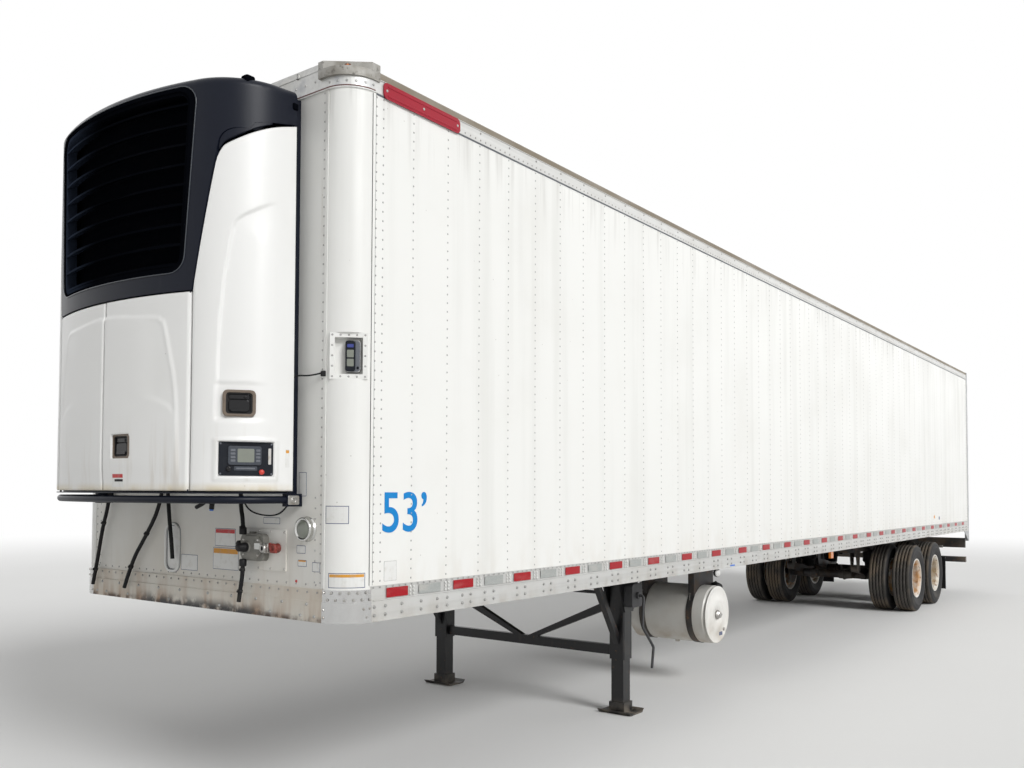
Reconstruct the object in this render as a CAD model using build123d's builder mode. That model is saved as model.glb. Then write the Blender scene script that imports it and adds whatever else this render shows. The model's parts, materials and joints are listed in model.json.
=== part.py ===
from build123d import *
import math
import os

# A 53-foot refrigerated van semi trailer, parked on its landing gear.
# Sizes are in millimetres. +X points forward, +Y to the left, +Z up, and the ground is Z = 0.
# The origin is on the ground under the middle of the whole trailer.
# A place along the trailer is given as its distance behind the front face of the body.

SIDES = ((1, "left"), (-1, "right"))

# The body
BODY_LENGTH = 16154
BODY_HEIGHT = 2980
HALF_WIDTH = 1300
SILL_FOOT = 1120
CORNER_RADIUS = 186
RAIL_STEP = 4
SKIN_INSET = 10
WALL = 64
RAIL_SHELF_RISE = 110
RAIL_SHELF_THICK = 10
RAIL_BAND = 80
RAIL_WEB = 10
RAIL_FLANGE = 52
RAIL_FLANGE_THICK = 8
TOP_RAIL_DEPTH = 125
TOP_RAIL_LAP = 84
TOP_RAIL_ROUND = 12
ROOF_THICK = 62
ROOF_EDGE_DROP = 8
ROOF_RISE = 15
ROOF_LAP_GAP = 6
CAP_RISE = 22
CAP_ARM = 120
CAP_DEPTH = 86
FLOOR_DEPTH = 145
FLOOR_RIB_HEIGHT = 38
FLOOR_RIB_PITCH = 88
FLOOR_RIB_WEB = 8
FLOOR_RIB_CAP = 44
FLOOR_RIB_CAP_THICK = 6
SILL_PLATE = 65
SILL_CHANNEL = 60
RAIL_SHELF = SILL_FOOT + RAIL_SHELF_RISE
RAIL_BAND_TOP = RAIL_SHELF + RAIL_BAND
SILL_PLATE_TOP = RAIL_SHELF + SILL_PLATE
FLOOR_TOP = RAIL_SHELF + FLOOR_DEPTH
RAIL_TOP = SILL_FOOT + BODY_HEIGHT
TOP_RAIL_FOOT = RAIL_TOP - TOP_RAIL_DEPTH
ROOF_EDGE = RAIL_TOP - ROOF_EDGE_DROP
ROOF_UNDERSIDE = ROOF_EDGE - ROOF_THICK
ROOF_CROWN = RAIL_TOP + ROOF_RISE
WALL_TOP = ROOF_UNDERSIDE - ROOF_LAP_GAP
CAP_TOP = RAIL_TOP + CAP_RISE

# The gauge box in the left front corner
GAUGE_WIDTH = 200
GAUGE_HEIGHT = 248
GAUGE_DEPTH = 58
GAUGE_REACH = 162
GAUGE_POCKET = 46
GAUGE_BORDER = 26
GAUGE_DISPLAY = 78
GAUGE_DISPLAY_THICK = 26
GAUGE_Z = SILL_FOOT + 1414

# The rear frame and its doors
POST_WIDTH = 110
POST_DEPTH = 70
POST_FOOT_DROP = 190
POST_FOOT_WIDTH = 60
GUSSET_LENGTH = 414
GUSSET_THICK = 10
REAR_SILL_DEPTH = 100
REAR_HEADER = 110
DOOR_GAP = 6
DOOR_MEETING_GAP = 14
DOOR_SLAB = 32
DOOR_PLUG = 60
DOOR_PLUG_INSET = 16
PIN_BEHIND_FACE = 34
PIN_FROM_SIDE = 16
PIN_RADIUS = 7
PIN_CLEARANCE = 0.1
KNUCKLE_RADIUS = 14
KNUCKLE_LENGTH = 70
EAR_THICK = 10
EAR_GAP = 0.4
STRAP_THICK = 8
STRAP_LENGTH = 300
STRAP_OFF_POST = 6
HINGE_COUNT = 5
HINGE_FROM_EDGE = 160
ROD_RADIUS = 13
ROD_OFF_DOOR = 26
ROD_OVERRUN = 34
GUIDE_COUNT = 4
GUIDE_HEIGHT = 52
GUIDE_FROM_EDGE = 100
HANDLE_LENGTH = 420
HANDLE_THICK = 14
HANDLE_REACH = 62
# Columns: place across the door, the way the handle points, height above the door's foot
ROD_PLACES = ((310, 1, 640), (840, -1, 500))
POST_FOOT = SILL_FOOT - POST_FOOT_DROP
REAR_HEADER_FOOT = RAIL_TOP - REAR_HEADER

# The rear impact guard
GUARD_TUBE = 100
GUARD_FOOT = 530
GUARD_INSET = 50
GUARD_STRUT_Y = 480
GUARD_STRUT = 90
GUARD_ROUND = 5
BEAM_LAP = 50
BEAM_HEIGHT = 180
BEAM_DEPTH = 70
GUARD_HALF = HALF_WIDTH - GUARD_INSET
BEAM_TOP = POST_FOOT + BEAM_LAP
BEAM_FOOT = BEAM_TOP - BEAM_HEIGHT

# The floor frame
CROSSMEMBER_PITCH = 406
CROSSMEMBER_FIRST_BACK = 2300
CROSSMEMBER_FLANGE = 60
CROSSMEMBER_LIFT = 10
CROSSMEMBER_PLATE = 6
CROSSMEMBER_FOOT = SILL_FOOT + CROSSMEMBER_LIFT

# The coupler and its 2-inch kingpin
COUPLER_REAR_BACK = 2120
COUPLER_CHANNELS = 5
COUPLER_PLATE = 10
KINGPIN_BACK = 914
KINGPIN_COLLAR_RADIUS = 36.5
KINGPIN_NECK_RADIUS = 25.4
KINGPIN_HEAD_RADIUS = 35.7
KINGPIN_COLLAR = 29
KINGPIN_NECK = 36
KINGPIN_HEAD = 18
KINGPIN_FIT = 0.2
COUPLER_HALF = HALF_WIDTH - SILL_CHANNEL

# The landing gear
LEG_BACK = 3480
LEG_Y = 951
LEG_HOUSING = 140
LEG_ROUND = 14
LEG_INNER = 112
LEG_HOUSING_FOOT = 440
LEG_TOP_PLATE = 300
LEG_TAPER = 90
SHOE_LENGTH = 250
SHOE_WIDTH = 300
SHOE_PLATE = 12
SHOE_TURN_UP = 30
SHOE_BOX_HEIGHT = 90
CROSS_TUBE_Z = 505
CROSS_TUBE_HEIGHT = 80
BRACE_THICK = 50
V_FOOT_GAP = 30
V_TOP_Z = 900
STAY_FOOT_Z = 560
STAY_AHEAD = 380
GEARBOX_WIDTH = 170
GEARBOX_DEPTH = 74
GEARBOX_HEIGHT = 190
GEARBOX_ROUND = 22
GEARBOX_BOSS_RADIUS = 28
GEARBOX_BOSS = 20
CROSS_SHAFT_RADIUS = 14
CRANK_RADIUS = 11
CRANK_BEND = 26
CRANK_DROP = 160
# Columns: ahead of the leg, outboard of the gearbox's boss, below the crank's shaft
CRANK_BENDS = ((0, 0, 0), (0, 40, 0), (40, 50, 250), (-130, 60, 430), (-100, 60, 600))

# The fuel tank of the refrigeration unit
TANK_BACK = 5070
TANK_END_INSET = 200
TANK_LENGTH = 810
TANK_RADIUS = 273
TANK_Z = 653
TANK_DISH = 30
TANK_CROWN = 10
TANK_STRAP = 6
TANK_STRAP_WIDTH = 60
TANK_HANGER_INSET = 55
TANK_STRAP_PLACES = (160, 650)
FILLER_FROM_END = 75
FILLER_RADIUS = 42
FILLER_RISE = 46
FILLER_ANGLE = 35
DRAIN_RADIUS = 22
DRAIN_DROP = 20
TANK_END_Y = HALF_WIDTH - TANK_END_INSET

# The sliding tandem, placed from the body's rear
REAR_AXLE_AHEAD = 2717
AXLE_SPREAD = 1247
TYRE_RADIUS = 507
TYRE_HALF_WIDTH = 142
TREAD_HALF_WIDTH = 112
TYRE_SHOULDER_OUT = 18
TYRE_SHOULDER_DROP = 20
TYRE_WIDEST_DROP = 95
TYRE_BEAD_RISE = 10
BEAD_RADIUS = 288
DUAL_Y = 984
DUAL_SPACING = 343
DISC_THICK = 10
RIM_HALF = 118
RIM_FLANGE_RADIUS = 298
RIM_WALL = 7
RIM_SEAT_GAP = 0.3
RIM_SEAT = 25
RIM_WELL_RADIUS = 262
RIM_WELL_START = 40
DISC_KNEE = 225
DISC_DISH = 106
HUB_RADIUS = 110
HUB_REACH = 26
BARREL_RADIUS = 82
BARREL_REACH = 100
HUB_CAP_REACH = 140
HUB_CAP_RADIUS = 62
HUB_CAP_FACE_RADIUS = 46
DRUM_RADIUS = 226
DRUM_INNER = 209
DRUM_NEAR = 60
DRUM_FAR = 244
DRUM_BACK = 16
HAND_HOLES = 5
HAND_HOLE_RADIUS = 28
HAND_HOLE_PLACE = 182
SPINDLE_RADIUS = 45
SPINDLE_CLEARANCE = 0.1
SPINDLE_REACH = 106
SPINDLE_END_GAP = 1
SLIDE_RAIL_Y = 530
SLIDE_RAIL_WIDTH = 100
SLIDE_RAIL_HEIGHT = 110
SLIDE_RAIL_PLATE = 10
SLIDE_RAIL_OVERRUN = 50
SLIDER_FORWARD = 1067
SLIDER_BACKWARD = 1372
SLIDER_HEIGHT = 115
SLIDER_CLEARANCE = 0.3
SLIDER_OVERHANG = 880
SLIDER_REAR = 760
SLIDER_CROSS_BEHIND = 150
AXLE_TUBE_RADIUS = 63.5
SHIELD_INBOARD = 324
SHIELD_RADIUS = 190
SHIELD_THICK = 8
ARM_Y = 500
ARM_WIDTH = 80
ARM_PIVOT_AHEAD = 520
ARM_PIVOT_RISE = 138
ARM_EYE_RADIUS = 58
ARM_NECK = 46
ARM_SADDLE_RISE = 103
ARM_SADDLE_AHEAD = 100
ARM_SADDLE_BEHIND = 60
ARM_SADDLE_SLOPE = 30
ARM_BELLY = 60
ARM_BELLY_AHEAD = 90
ARM_BELLY_BEHIND = 110
ARM_CHIN_AHEAD = 160
ARM_CHIN_RISE = 20
ARM_TAIL = 460
ARM_TAIL_FLAT = 190
ARM_TAIL_RISE = 83
ARM_TAIL_DEPTH = 60
HANGER_PLATE = 10
HANGER_GAP = 0.3
HANGER_BEHIND = 93
HANGER_AHEAD = 128
HANGER_FOOT_HALF = 46
AIR_SPRING_RADIUS = 122
AIR_SPRING_BEHIND = 330
# Columns: share of the height, inset from the radius
AIR_SPRING_PROFILE = ((0, 37), (0.3, 30), (0.4, 0), (0.85, 0), (1, 18))
CHAMBER_RADIUS = 82
CHAMBER_AHEAD = 230
CHAMBER_RISE = 13
CHAMBER_INNER_Y = 170
CHAMBER_LENGTH = 200
CHAMBER_ARM = 20
CHAMBER_ARM_HALF = 30
# Columns: distance from the inner end, inset from the radius
CHAMBER_PROFILE = ((0, 16), (60, 16), (70, 0), (90, 0), (100, 12), (CHAMBER_LENGTH, 25))
FLAP_BEHIND_AXLE = 910
FLAP_WIDTH = 600
FLAP_HEIGHT = 520
FLAP_FOOT = 170
FLAP_THICK = 8
FLAP_BAR = 40
REAR_AXLE_BACK = BODY_LENGTH - REAR_AXLE_AHEAD
FRONT_AXLE_BACK = REAR_AXLE_BACK - AXLE_SPREAD
AXLE_Z = TYRE_RADIUS
SLIDER_TOP = CROSSMEMBER_FOOT - SLIDE_RAIL_HEIGHT
SLIDER_FOOT = SLIDER_TOP - SLIDER_HEIGHT
ARM_PIVOT_Z = AXLE_Z + ARM_PIVOT_RISE
ARM_TAIL_Z = AXLE_Z + ARM_TAIL_RISE

# The refrigeration unit on the front wall; its depths are measured ahead of the body's front face
UNIT_DEPTH = 600
UNIT_ARCH_RISE = 100
UNIT_SHOULDER_Y = 660
UNIT_CORNER_RADIUS = 400
UNIT_SIDE_SLOPE = 6
UNIT_REAR_AHEAD = 60
UNIT_BACK_HALF = 900
UNIT_RISE = 680
UNIT_HEIGHT = 2190
UNIT_SKIN = 25
UNIT_BELT_RISE = 1060
UNIT_GAP = 8
UNIT_EDGE_GAP = 12
UNIT_SPLIT = 14
UNIT_TOP_ROUND = 50
UNIT_LIP = 6
UNIT_TRAY = 30
UNIT_PIN_RADIUS = 6
UNIT_PIN_LENGTH = 30
UNIT_PIN_END_GAP = 2
GRILLE_ABOVE_BELT = 110
GRILLE_BELOW_TOP = 65
GRILLE_FOOT_HALF = 588
GRILLE_TOP_HALF = 632
GRILLE_ROUND = 80
GRILLE_RIM = 22
GRILLE_SETBACK = 6
GRILLE_FIT = 0.3
SLAT_COUNT = 9
SLAT_DEPTH = 60
SLAT_THICK = 12
SLAT_DROP = 28
SIDE_PANEL_CREST_Y = 796
SIDE_PANEL_CREST_BELOW_TOP = 285
SIDE_PANEL_CREST_FLAT = 90
SIDE_PANEL_FRONT_BELOW_TOP = 306
SIDE_PANEL_REAR_BELOW_TOP = 200
SIDE_PANEL_ROUND = 90
CONTROL_ANGLE = 60
CONTROL_WIDTH = 284
CONTROL_HEIGHT = 180
CONTROL_RISE = 181
CONTROL_DEPTH = 32
CONTROL_WALL = 12
LATCH_ANGLE = 54
LATCH_WIDTH = 150
LATCH_HEIGHT = 130
LATCH_RISE = 468
LATCH_DEPTH = 19
LATCH_ROUND = 12
FRONT_LATCH_Y = 166
FRONT_LATCH_RISE = 253
BUMPER_TUBE_RADIUS = 20
BUMPER_TUBE_DROP = 32
BUMPER_TUBE_INSET = 24
BUMPER_BRACKET = 36
CONDENSER_HALF = 640
CONDENSER_DEPTH = 330
ENGINE_HALF = 420
ENGINE_DEPTH = 360
ENGINE_HEIGHT = 640
EVAPORATOR_HALF = 560
EVAPORATOR_DEPTH = 330
EVAPORATOR_HEIGHT = 300
UNIT_SHOULDER_AHEAD = UNIT_DEPTH - UNIT_ARCH_RISE
UNIT_FOOT = SILL_FOOT + UNIT_RISE
UNIT_TOP = UNIT_FOOT + UNIT_HEIGHT
UNIT_BELT = UNIT_FOOT + UNIT_BELT_RISE
GRILLE_FOOT = UNIT_BELT + GRILLE_ABOVE_BELT
GRILLE_TOP = UNIT_TOP - GRILLE_BELOW_TOP
SIDE_PANEL_CREST_Z = UNIT_TOP - SIDE_PANEL_CREST_BELOW_TOP
SIDE_PANEL_FRONT_Z = UNIT_TOP - SIDE_PANEL_FRONT_BELOW_TOP
SIDE_PANEL_REAR_Z = UNIT_TOP - SIDE_PANEL_REAR_BELOW_TOP
BUMPER_TUBE_Z = UNIT_FOOT - BUMPER_TUBE_DROP

# Lamps
LAMP_THICK = 14
STOP_LAMP_INSETS = (420, 270)
STOP_LAMP_RISE = 120
STOP_LAMP_RADIUS = 52
HEADER_LAMP_PITCH = 160
HEADER_LAMP_INSET = 220
HEADER_LAMP_WIDTH = 100
HEADER_LAMP_DROP = 48
MARKER_AHEAD_OF_MIDDLE = 87
MARKER_LENGTH = 90
MARKER_HEIGHT = 80

# The nose box with its electric socket and air coupling, at heights above the sill's foot
NOSE_PLATE_LOW_Y = 448
NOSE_PLATE_HIGH_Y = 823
NOSE_PLATE_RISE = 253
NOSE_PLATE_HEIGHT = 230
NOSE_PLATE_THICK = 6
NOSE_BOX_Y = 583
NOSE_BOX_RISE = 380
NOSE_BOX_WIDTH = 200
NOSE_BOX_HEIGHT = 150
NOSE_BOX_DEPTH = 70
NOSE_BOX_ROUND = 18
SOCKET_Y = 560
SOCKET_RADIUS = 34
SOCKET_LENGTH = 42
COUPLING_Y = 758
COUPLING_RADIUS = 30
COUPLING_LENGTH = 46
NOSE_BOX_Z = SILL_FOOT + NOSE_BOX_RISE

# Hoses and cables down the front wall
HOSE_AHEAD = 30
HOSE_RADIUS = 12
CABLE_AHEAD = 44
BEND_SHARE = 0.45
# Each cord's points across and up, then its distance ahead of the body
CORD_ROUTES = {
    "drain_hose_far": (((-885, 1800), (-885, 1710), (-975, 1560), (-1050, 1370), (-1107, 1192)), HOSE_AHEAD),
    "drain_hose_mid": (((-300, 1800), (-300, 1690), (-430, 1500), (-590, 1340), (-712, 1192)), HOSE_AHEAD),
    "drain_hose_near": (((-250, 1800), (-250, 1640), (-226, 1500), (-214, 1400)), HOSE_AHEAD),
    "nose_harness": (((490, 1800), (490, 1725), (514, 1650), (514, 1575)), CABLE_AHEAD),
    "nose_cable": (((516, 1425), (516, 1350), (498, 1270), (484, 1190)), CABLE_AHEAD),
}


def station(behind):
    """X of a place that lies this far behind the body's front face."""
    total = UNIT_DEPTH + BODY_LENGTH + HANDLE_REACH
    return total / 2 - UNIT_DEPTH - behind


def ahead(distance):
    """X of a place that lies this far ahead of the body's front face."""
    return station(-distance)


def keep(builder, name):
    """Label a finished piece and write it."""
    builder.part.label = name
    export_step(builder.part, f"parts/{name}.step")


def block(x_span, y_span, z_span, mode=Mode.ADD):
    """A rectangular block between two limits along each axis."""
    spans = (x_span, y_span, z_span)
    with Locations(tuple((low + high) / 2 for low, high in spans)):
        Box(*(abs(high - low) for low, high in spans), mode=mode)


def outline(points, mode=Mode.ADD):
    """A flat face with straight edges through the points, in the open sketch."""
    with BuildLine() as edge:
        Polyline(*points, close=True)
    make_face(edge.edges(), mode=mode)


def bar_along_x(points, behind_front, behind_rear, mode=Mode.ADD):
    """Extrude a closed Y-Z outline along the trailer, between two stations."""
    with BuildSketch(Plane.YZ.offset(station(behind_rear))) as section:
        outline(points)
    extrude(section.sketch, amount=behind_rear - behind_front, mode=mode)


def bar_along_y(points, y_low, y_high, mode=Mode.ADD):
    """Extrude a closed X-Z outline across the trailer, between two places."""
    with BuildSketch(Plane.XZ.offset(-y_high)) as section:
        outline(points)
    extrude(section.sketch, amount=y_high - y_low, mode=mode)


def nose_outline(inset, behind_rear, mode=Mode.ADD):
    """The body's plan at its round nose, moved inward by an inset, as a face."""
    radius = CORNER_RADIUS - inset
    flat = HALF_WIDTH - CORNER_RADIUS
    edge = HALF_WIDTH - inset
    nose, turn, rear = station(inset), station(CORNER_RADIUS), station(behind_rear)
    diagonal = radius * math.sqrt(0.5)
    with BuildLine() as plan:
        ThreePointArc((turn, edge), (turn + diagonal, flat + diagonal), (nose, flat))
        Line((nose, flat), (nose, -flat))
        ThreePointArc((nose, -flat), (turn + diagonal, -flat - diagonal), (turn, -edge))
        if rear < turn:
            Polyline((turn, -edge), (rear, -edge), (rear, edge), (turn, edge))
        else:
            Line((turn, -edge), (turn, edge))
    make_face(plan.edges(), mode=mode)


os.makedirs("parts", exist_ok=True)

skin_y = HALF_WIDTH - SKIN_INSET
inner_y = skin_y - WALL
band_y = HALF_WIDTH - RAIL_STEP
flat_y = HALF_WIDTH - CORNER_RADIUS
wall_foot = RAIL_SHELF + RAIL_SHELF_THICK
post_front = BODY_LENGTH - POST_DEPTH
sill_front = BODY_LENGTH - REAR_SILL_DEPTH
post_inner_y = HALF_WIDTH - POST_WIDTH

# Side walls, one insulated panel each
for side, hand in SIDES:
    with BuildPart() as side_wall:
        block((station(post_front), station(CORNER_RADIUS)), (side * inner_y, side * skin_y),
              (wall_foot, WALL_TOP))
    keep(side_wall, f"side_wall_{hand}")

# Front wall between the rounded corners
with BuildPart() as front_wall:
    block((station(SKIN_INSET + WALL), station(SKIN_INSET)), (-flat_y, flat_y), (wall_foot, WALL_TOP))
keep(front_wall, "front_wall")


def corner_plane(reach):
    """A plane square to the diagonal of the left front corner, this far from the corner's centre."""
    diagonal = math.sqrt(0.5)
    origin = (station(CORNER_RADIUS) + reach * diagonal, flat_y + reach * diagonal, GAUGE_Z)
    return Plane(origin=origin, x_dir=(-diagonal, diagonal, 0), z_dir=(diagonal, diagonal, 0))


# Rounded front corner panels; the left one is cut for the gauge box
for side, hand in SIDES:
    with BuildPart() as corner_panel:
        outer_radius = CORNER_RADIUS - SKIN_INSET
        quarter = (Align.MIN, Align.MIN if side > 0 else Align.MAX)
        with BuildSketch(Plane.XY.offset(wall_foot)):
            with Locations((station(CORNER_RADIUS), side * flat_y)):
                Circle(outer_radius)
                Circle(outer_radius - WALL, mode=Mode.SUBTRACT)
                Rectangle(outer_radius, outer_radius, align=quarter, mode=Mode.INTERSECT)
        extrude(amount=WALL_TOP - wall_foot)
        if hand == "left":
            with BuildSketch(corner_plane(GAUGE_REACH - GAUGE_DEPTH)):
                Rectangle(GAUGE_WIDTH, GAUGE_HEIGHT)
            extrude(amount=2 * GAUGE_DEPTH, mode=Mode.SUBTRACT)
    keep(corner_panel, f"front_corner_{hand}")

# Gauge box: a flanged pocket set across the corner, with its display
with BuildPart() as gauge_box:
    with BuildSketch(corner_plane(GAUGE_REACH - GAUGE_DEPTH)):
        Rectangle(GAUGE_WIDTH, GAUGE_HEIGHT)
    extrude(amount=GAUGE_DEPTH)
    pocket_width = GAUGE_WIDTH - 2 * GAUGE_BORDER
    pocket_height = GAUGE_HEIGHT - 2 * GAUGE_BORDER
    with BuildSketch(corner_plane(GAUGE_REACH - GAUGE_POCKET)):
        Rectangle(pocket_width, pocket_height)
    extrude(amount=GAUGE_POCKET, mode=Mode.SUBTRACT)
    with BuildSketch(corner_plane(GAUGE_REACH - GAUGE_POCKET)):
        with Locations(((pocket_width - GAUGE_DISPLAY) / 2 - GAUGE_BORDER / 2, 0)):
            RectangleRounded(GAUGE_DISPLAY, pocket_height - GAUGE_BORDER, GAUGE_BORDER / 2)
    extrude(amount=GAUGE_DISPLAY_THICK)
keep(gauge_box, "gauge_box")

# Bottom rails: a band over the wall's foot, a shelf under it, a web and an inward flange
with BuildPart() as bottom_rails:
    profile = (
        (HALF_WIDTH, SILL_FOOT),
        (HALF_WIDTH, RAIL_SHELF),
        (band_y, RAIL_SHELF),
        (band_y, RAIL_BAND_TOP),
        (skin_y, RAIL_BAND_TOP),
        (skin_y, wall_foot),
        (inner_y, wall_foot),
        (inner_y, RAIL_SHELF),
        (HALF_WIDTH - RAIL_WEB, RAIL_SHELF),
        (HALF_WIDTH - RAIL_WEB, SILL_FOOT + RAIL_FLANGE_THICK),
        (HALF_WIDTH - RAIL_FLANGE, SILL_FOOT + RAIL_FLANGE_THICK),
        (HALF_WIDTH - RAIL_FLANGE, SILL_FOOT),
    )
    for side, hand in SIDES:
        bar_along_x([(side * y, z) for y, z in profile], CORNER_RADIUS, post_front)
keep(bottom_rails, "bottom_rails")

# Top rails: a C that holds the roof's edge
lap_y = band_y - TOP_RAIL_LAP
with BuildPart() as top_rails:
    profile = (
        (band_y, TOP_RAIL_FOOT),
        (band_y, RAIL_TOP - TOP_RAIL_ROUND),
        (band_y - TOP_RAIL_ROUND, RAIL_TOP),
        (lap_y, RAIL_TOP),
        (lap_y, ROOF_EDGE),
        (skin_y, ROOF_EDGE),
        (skin_y, ROOF_UNDERSIDE),
        (lap_y, ROOF_UNDERSIDE),
        (lap_y, WALL_TOP),
        (skin_y, WALL_TOP),
        (skin_y, TOP_RAIL_FOOT),
    )
    for side, hand in SIDES:
        bar_along_x([(side * y, z) for y, z in profile], CORNER_RADIUS, post_front)
keep(top_rails, "top_rails")

# Roof: an insulated panel, flat at its edges and crowned between the rails
with BuildPart() as roof:
    crown_y = lap_y - ROOF_LAP_GAP
    with BuildSketch(Plane.YZ.offset(station(post_front))):
        with BuildLine():
            Polyline((crown_y, ROOF_EDGE), (skin_y, ROOF_EDGE), (skin_y, ROOF_UNDERSIDE),
                     (-skin_y, ROOF_UNDERSIDE), (-skin_y, ROOF_EDGE), (-crown_y, ROOF_EDGE))
            ThreePointArc((-crown_y, ROOF_EDGE), (0, ROOF_CROWN), (crown_y, ROOF_EDGE))
        make_face()
    extrude(amount=post_front - CORNER_RADIUS)
keep(roof, "roof")

# Floor: an insulated slab under T-shaped air channels
rib_foot = FLOOR_TOP - FLOOR_RIB_HEIGHT
with BuildPart() as floor:
    with BuildSketch(Plane.XY.offset(RAIL_SHELF)):
        nose_outline(SKIN_INSET + WALL, sill_front)
    extrude(amount=rib_foot - RAIL_SHELF)
    rib_count = int(2 * flat_y // FLOOR_RIB_PITCH)
    with BuildSketch(Plane.YZ.offset(station(sill_front))):
        with GridLocations(FLOOR_RIB_PITCH, 1, rib_count, 1):
            with Locations((0, rib_foot + FLOOR_RIB_HEIGHT / 2)):
                Rectangle(FLOOR_RIB_WEB, FLOOR_RIB_HEIGHT)
            with Locations((0, FLOOR_TOP - FLOOR_RIB_CAP_THICK / 2)):
                Rectangle(FLOOR_RIB_CAP, FLOOR_RIB_CAP_THICK)
    extrude(amount=sill_front - CORNER_RADIUS)
keep(floor, "floor")

# Front sill: a channel round the nose, with its plate over the wall's foot
with BuildPart() as front_sill:
    with BuildSketch(Plane.XY.offset(SILL_FOOT)):
        nose_outline(0, CORNER_RADIUS)
        nose_outline(SILL_CHANNEL, CORNER_RADIUS, mode=Mode.SUBTRACT)
    extrude(amount=RAIL_SHELF - SILL_FOOT)
    with BuildSketch(Plane.XY.offset(RAIL_SHELF)):
        nose_outline(RAIL_STEP, CORNER_RADIUS)
        nose_outline(SKIN_INSET, CORNER_RADIUS, mode=Mode.SUBTRACT)
    extrude(amount=SILL_PLATE_TOP - RAIL_SHELF)
    with BuildSketch(Plane.XY.offset(RAIL_SHELF)):
        nose_outline(SKIN_INSET, CORNER_RADIUS)
        nose_outline(SKIN_INSET + WALL, CORNER_RADIUS, mode=Mode.SUBTRACT)
    extrude(amount=RAIL_SHELF_THICK)
keep(front_sill, "front_sill")

# Front header: the insulated head of the nose and its skirt over the wall's top
with BuildPart() as front_header:
    with BuildSketch(Plane.XY.offset(TOP_RAIL_FOOT)):
        nose_outline(RAIL_STEP, CORNER_RADIUS)
        nose_outline(SKIN_INSET, CORNER_RADIUS, mode=Mode.SUBTRACT)
    extrude(amount=WALL_TOP - TOP_RAIL_FOOT)
    with BuildSketch(Plane.XY.offset(WALL_TOP)):
        nose_outline(RAIL_STEP, CORNER_RADIUS)
    extrude(amount=RAIL_TOP - WALL_TOP)
keep(front_header, "front_header")

# Corner caps: castings over the header's corners, each with its amber lamp
with BuildPart() as corner_caps:
    cap_foot = CAP_TOP - CAP_DEPTH
    with BuildSketch(Plane.XY.offset(cap_foot)):
        nose_outline(0, CORNER_RADIUS)
        nose_outline(RAIL_STEP, CORNER_RADIUS, mode=Mode.SUBTRACT)
    extrude(amount=RAIL_TOP - cap_foot)
    with BuildSketch(Plane.XY.offset(RAIL_TOP)):
        nose_outline(0, CORNER_RADIUS)
    extrude(amount=CAP_TOP - RAIL_TOP)
    middle = flat_y - CAP_ARM
    block((station(CORNER_RADIUS), station(0)), (-middle, middle), (cap_foot, CAP_TOP), mode=Mode.SUBTRACT)
keep(corner_caps, "corner_caps")

# Rear frame: header, sill and two posts, whose feet reach below the side rails behind a gusset
with BuildPart() as rear_frame:
    block((station(BODY_LENGTH), station(post_front)), (-post_inner_y, post_inner_y),
          (REAR_HEADER_FOOT, RAIL_TOP))
    block((station(BODY_LENGTH), station(sill_front)), (-post_inner_y, post_inner_y), (SILL_FOOT, FLOOR_TOP))
    foot_y = HALF_WIDTH - POST_FOOT_WIDTH
    gusset = (
        (station(post_front), POST_FOOT + GUSSET_THICK),
        (station(post_front), SILL_FOOT),
        (station(BODY_LENGTH - GUSSET_LENGTH), SILL_FOOT),
    )
    for side, hand in SIDES:
        block((station(BODY_LENGTH), station(post_front)), (side * post_inner_y, side * HALF_WIDTH),
              (SILL_FOOT, RAIL_TOP))
        block((station(BODY_LENGTH), station(post_front)), (side * foot_y, side * HALF_WIDTH),
              (POST_FOOT, SILL_FOOT))
        bar_along_y(gusset, *sorted((side * (HALF_WIDTH - GUSSET_THICK), side * HALF_WIDTH)))
keep(rear_frame, "rear_frame")

# Rear impact guard: a beam between the post feet, two struts and the tube
with BuildPart() as rear_guard:
    beam_rear = BODY_LENGTH - DOOR_GAP
    beam_front = beam_rear - BEAM_DEPTH
    beam_half = HALF_WIDTH - POST_FOOT_WIDTH
    block((station(beam_rear), station(beam_front)), (-beam_half, beam_half), (BEAM_FOOT, BEAM_TOP))
    for side, hand in SIDES:
        strut = sorted((side * (GUARD_STRUT_Y - GUARD_STRUT / 2), side * (GUARD_STRUT_Y + GUARD_STRUT / 2)))
        block((station(beam_rear), station(beam_front)), strut, (GUARD_FOOT + GUARD_TUBE, BEAM_FOOT))
        block((station(beam_rear), station(beam_front)), strut, (BEAM_TOP, SILL_FOOT))
    block((station(beam_rear), station(beam_rear - GUARD_TUBE)), (-GUARD_HALF, GUARD_HALF),
          (GUARD_FOOT, GUARD_FOOT + GUARD_TUBE))
    tube_ends = rear_guard.faces().filter_by(Axis.Y).group_by(Axis.Y)
    fillet(tube_ends[0].edges() + tube_ends[-1].edges(), GUARD_ROUND)
keep(rear_guard, "rear_guard")

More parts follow.
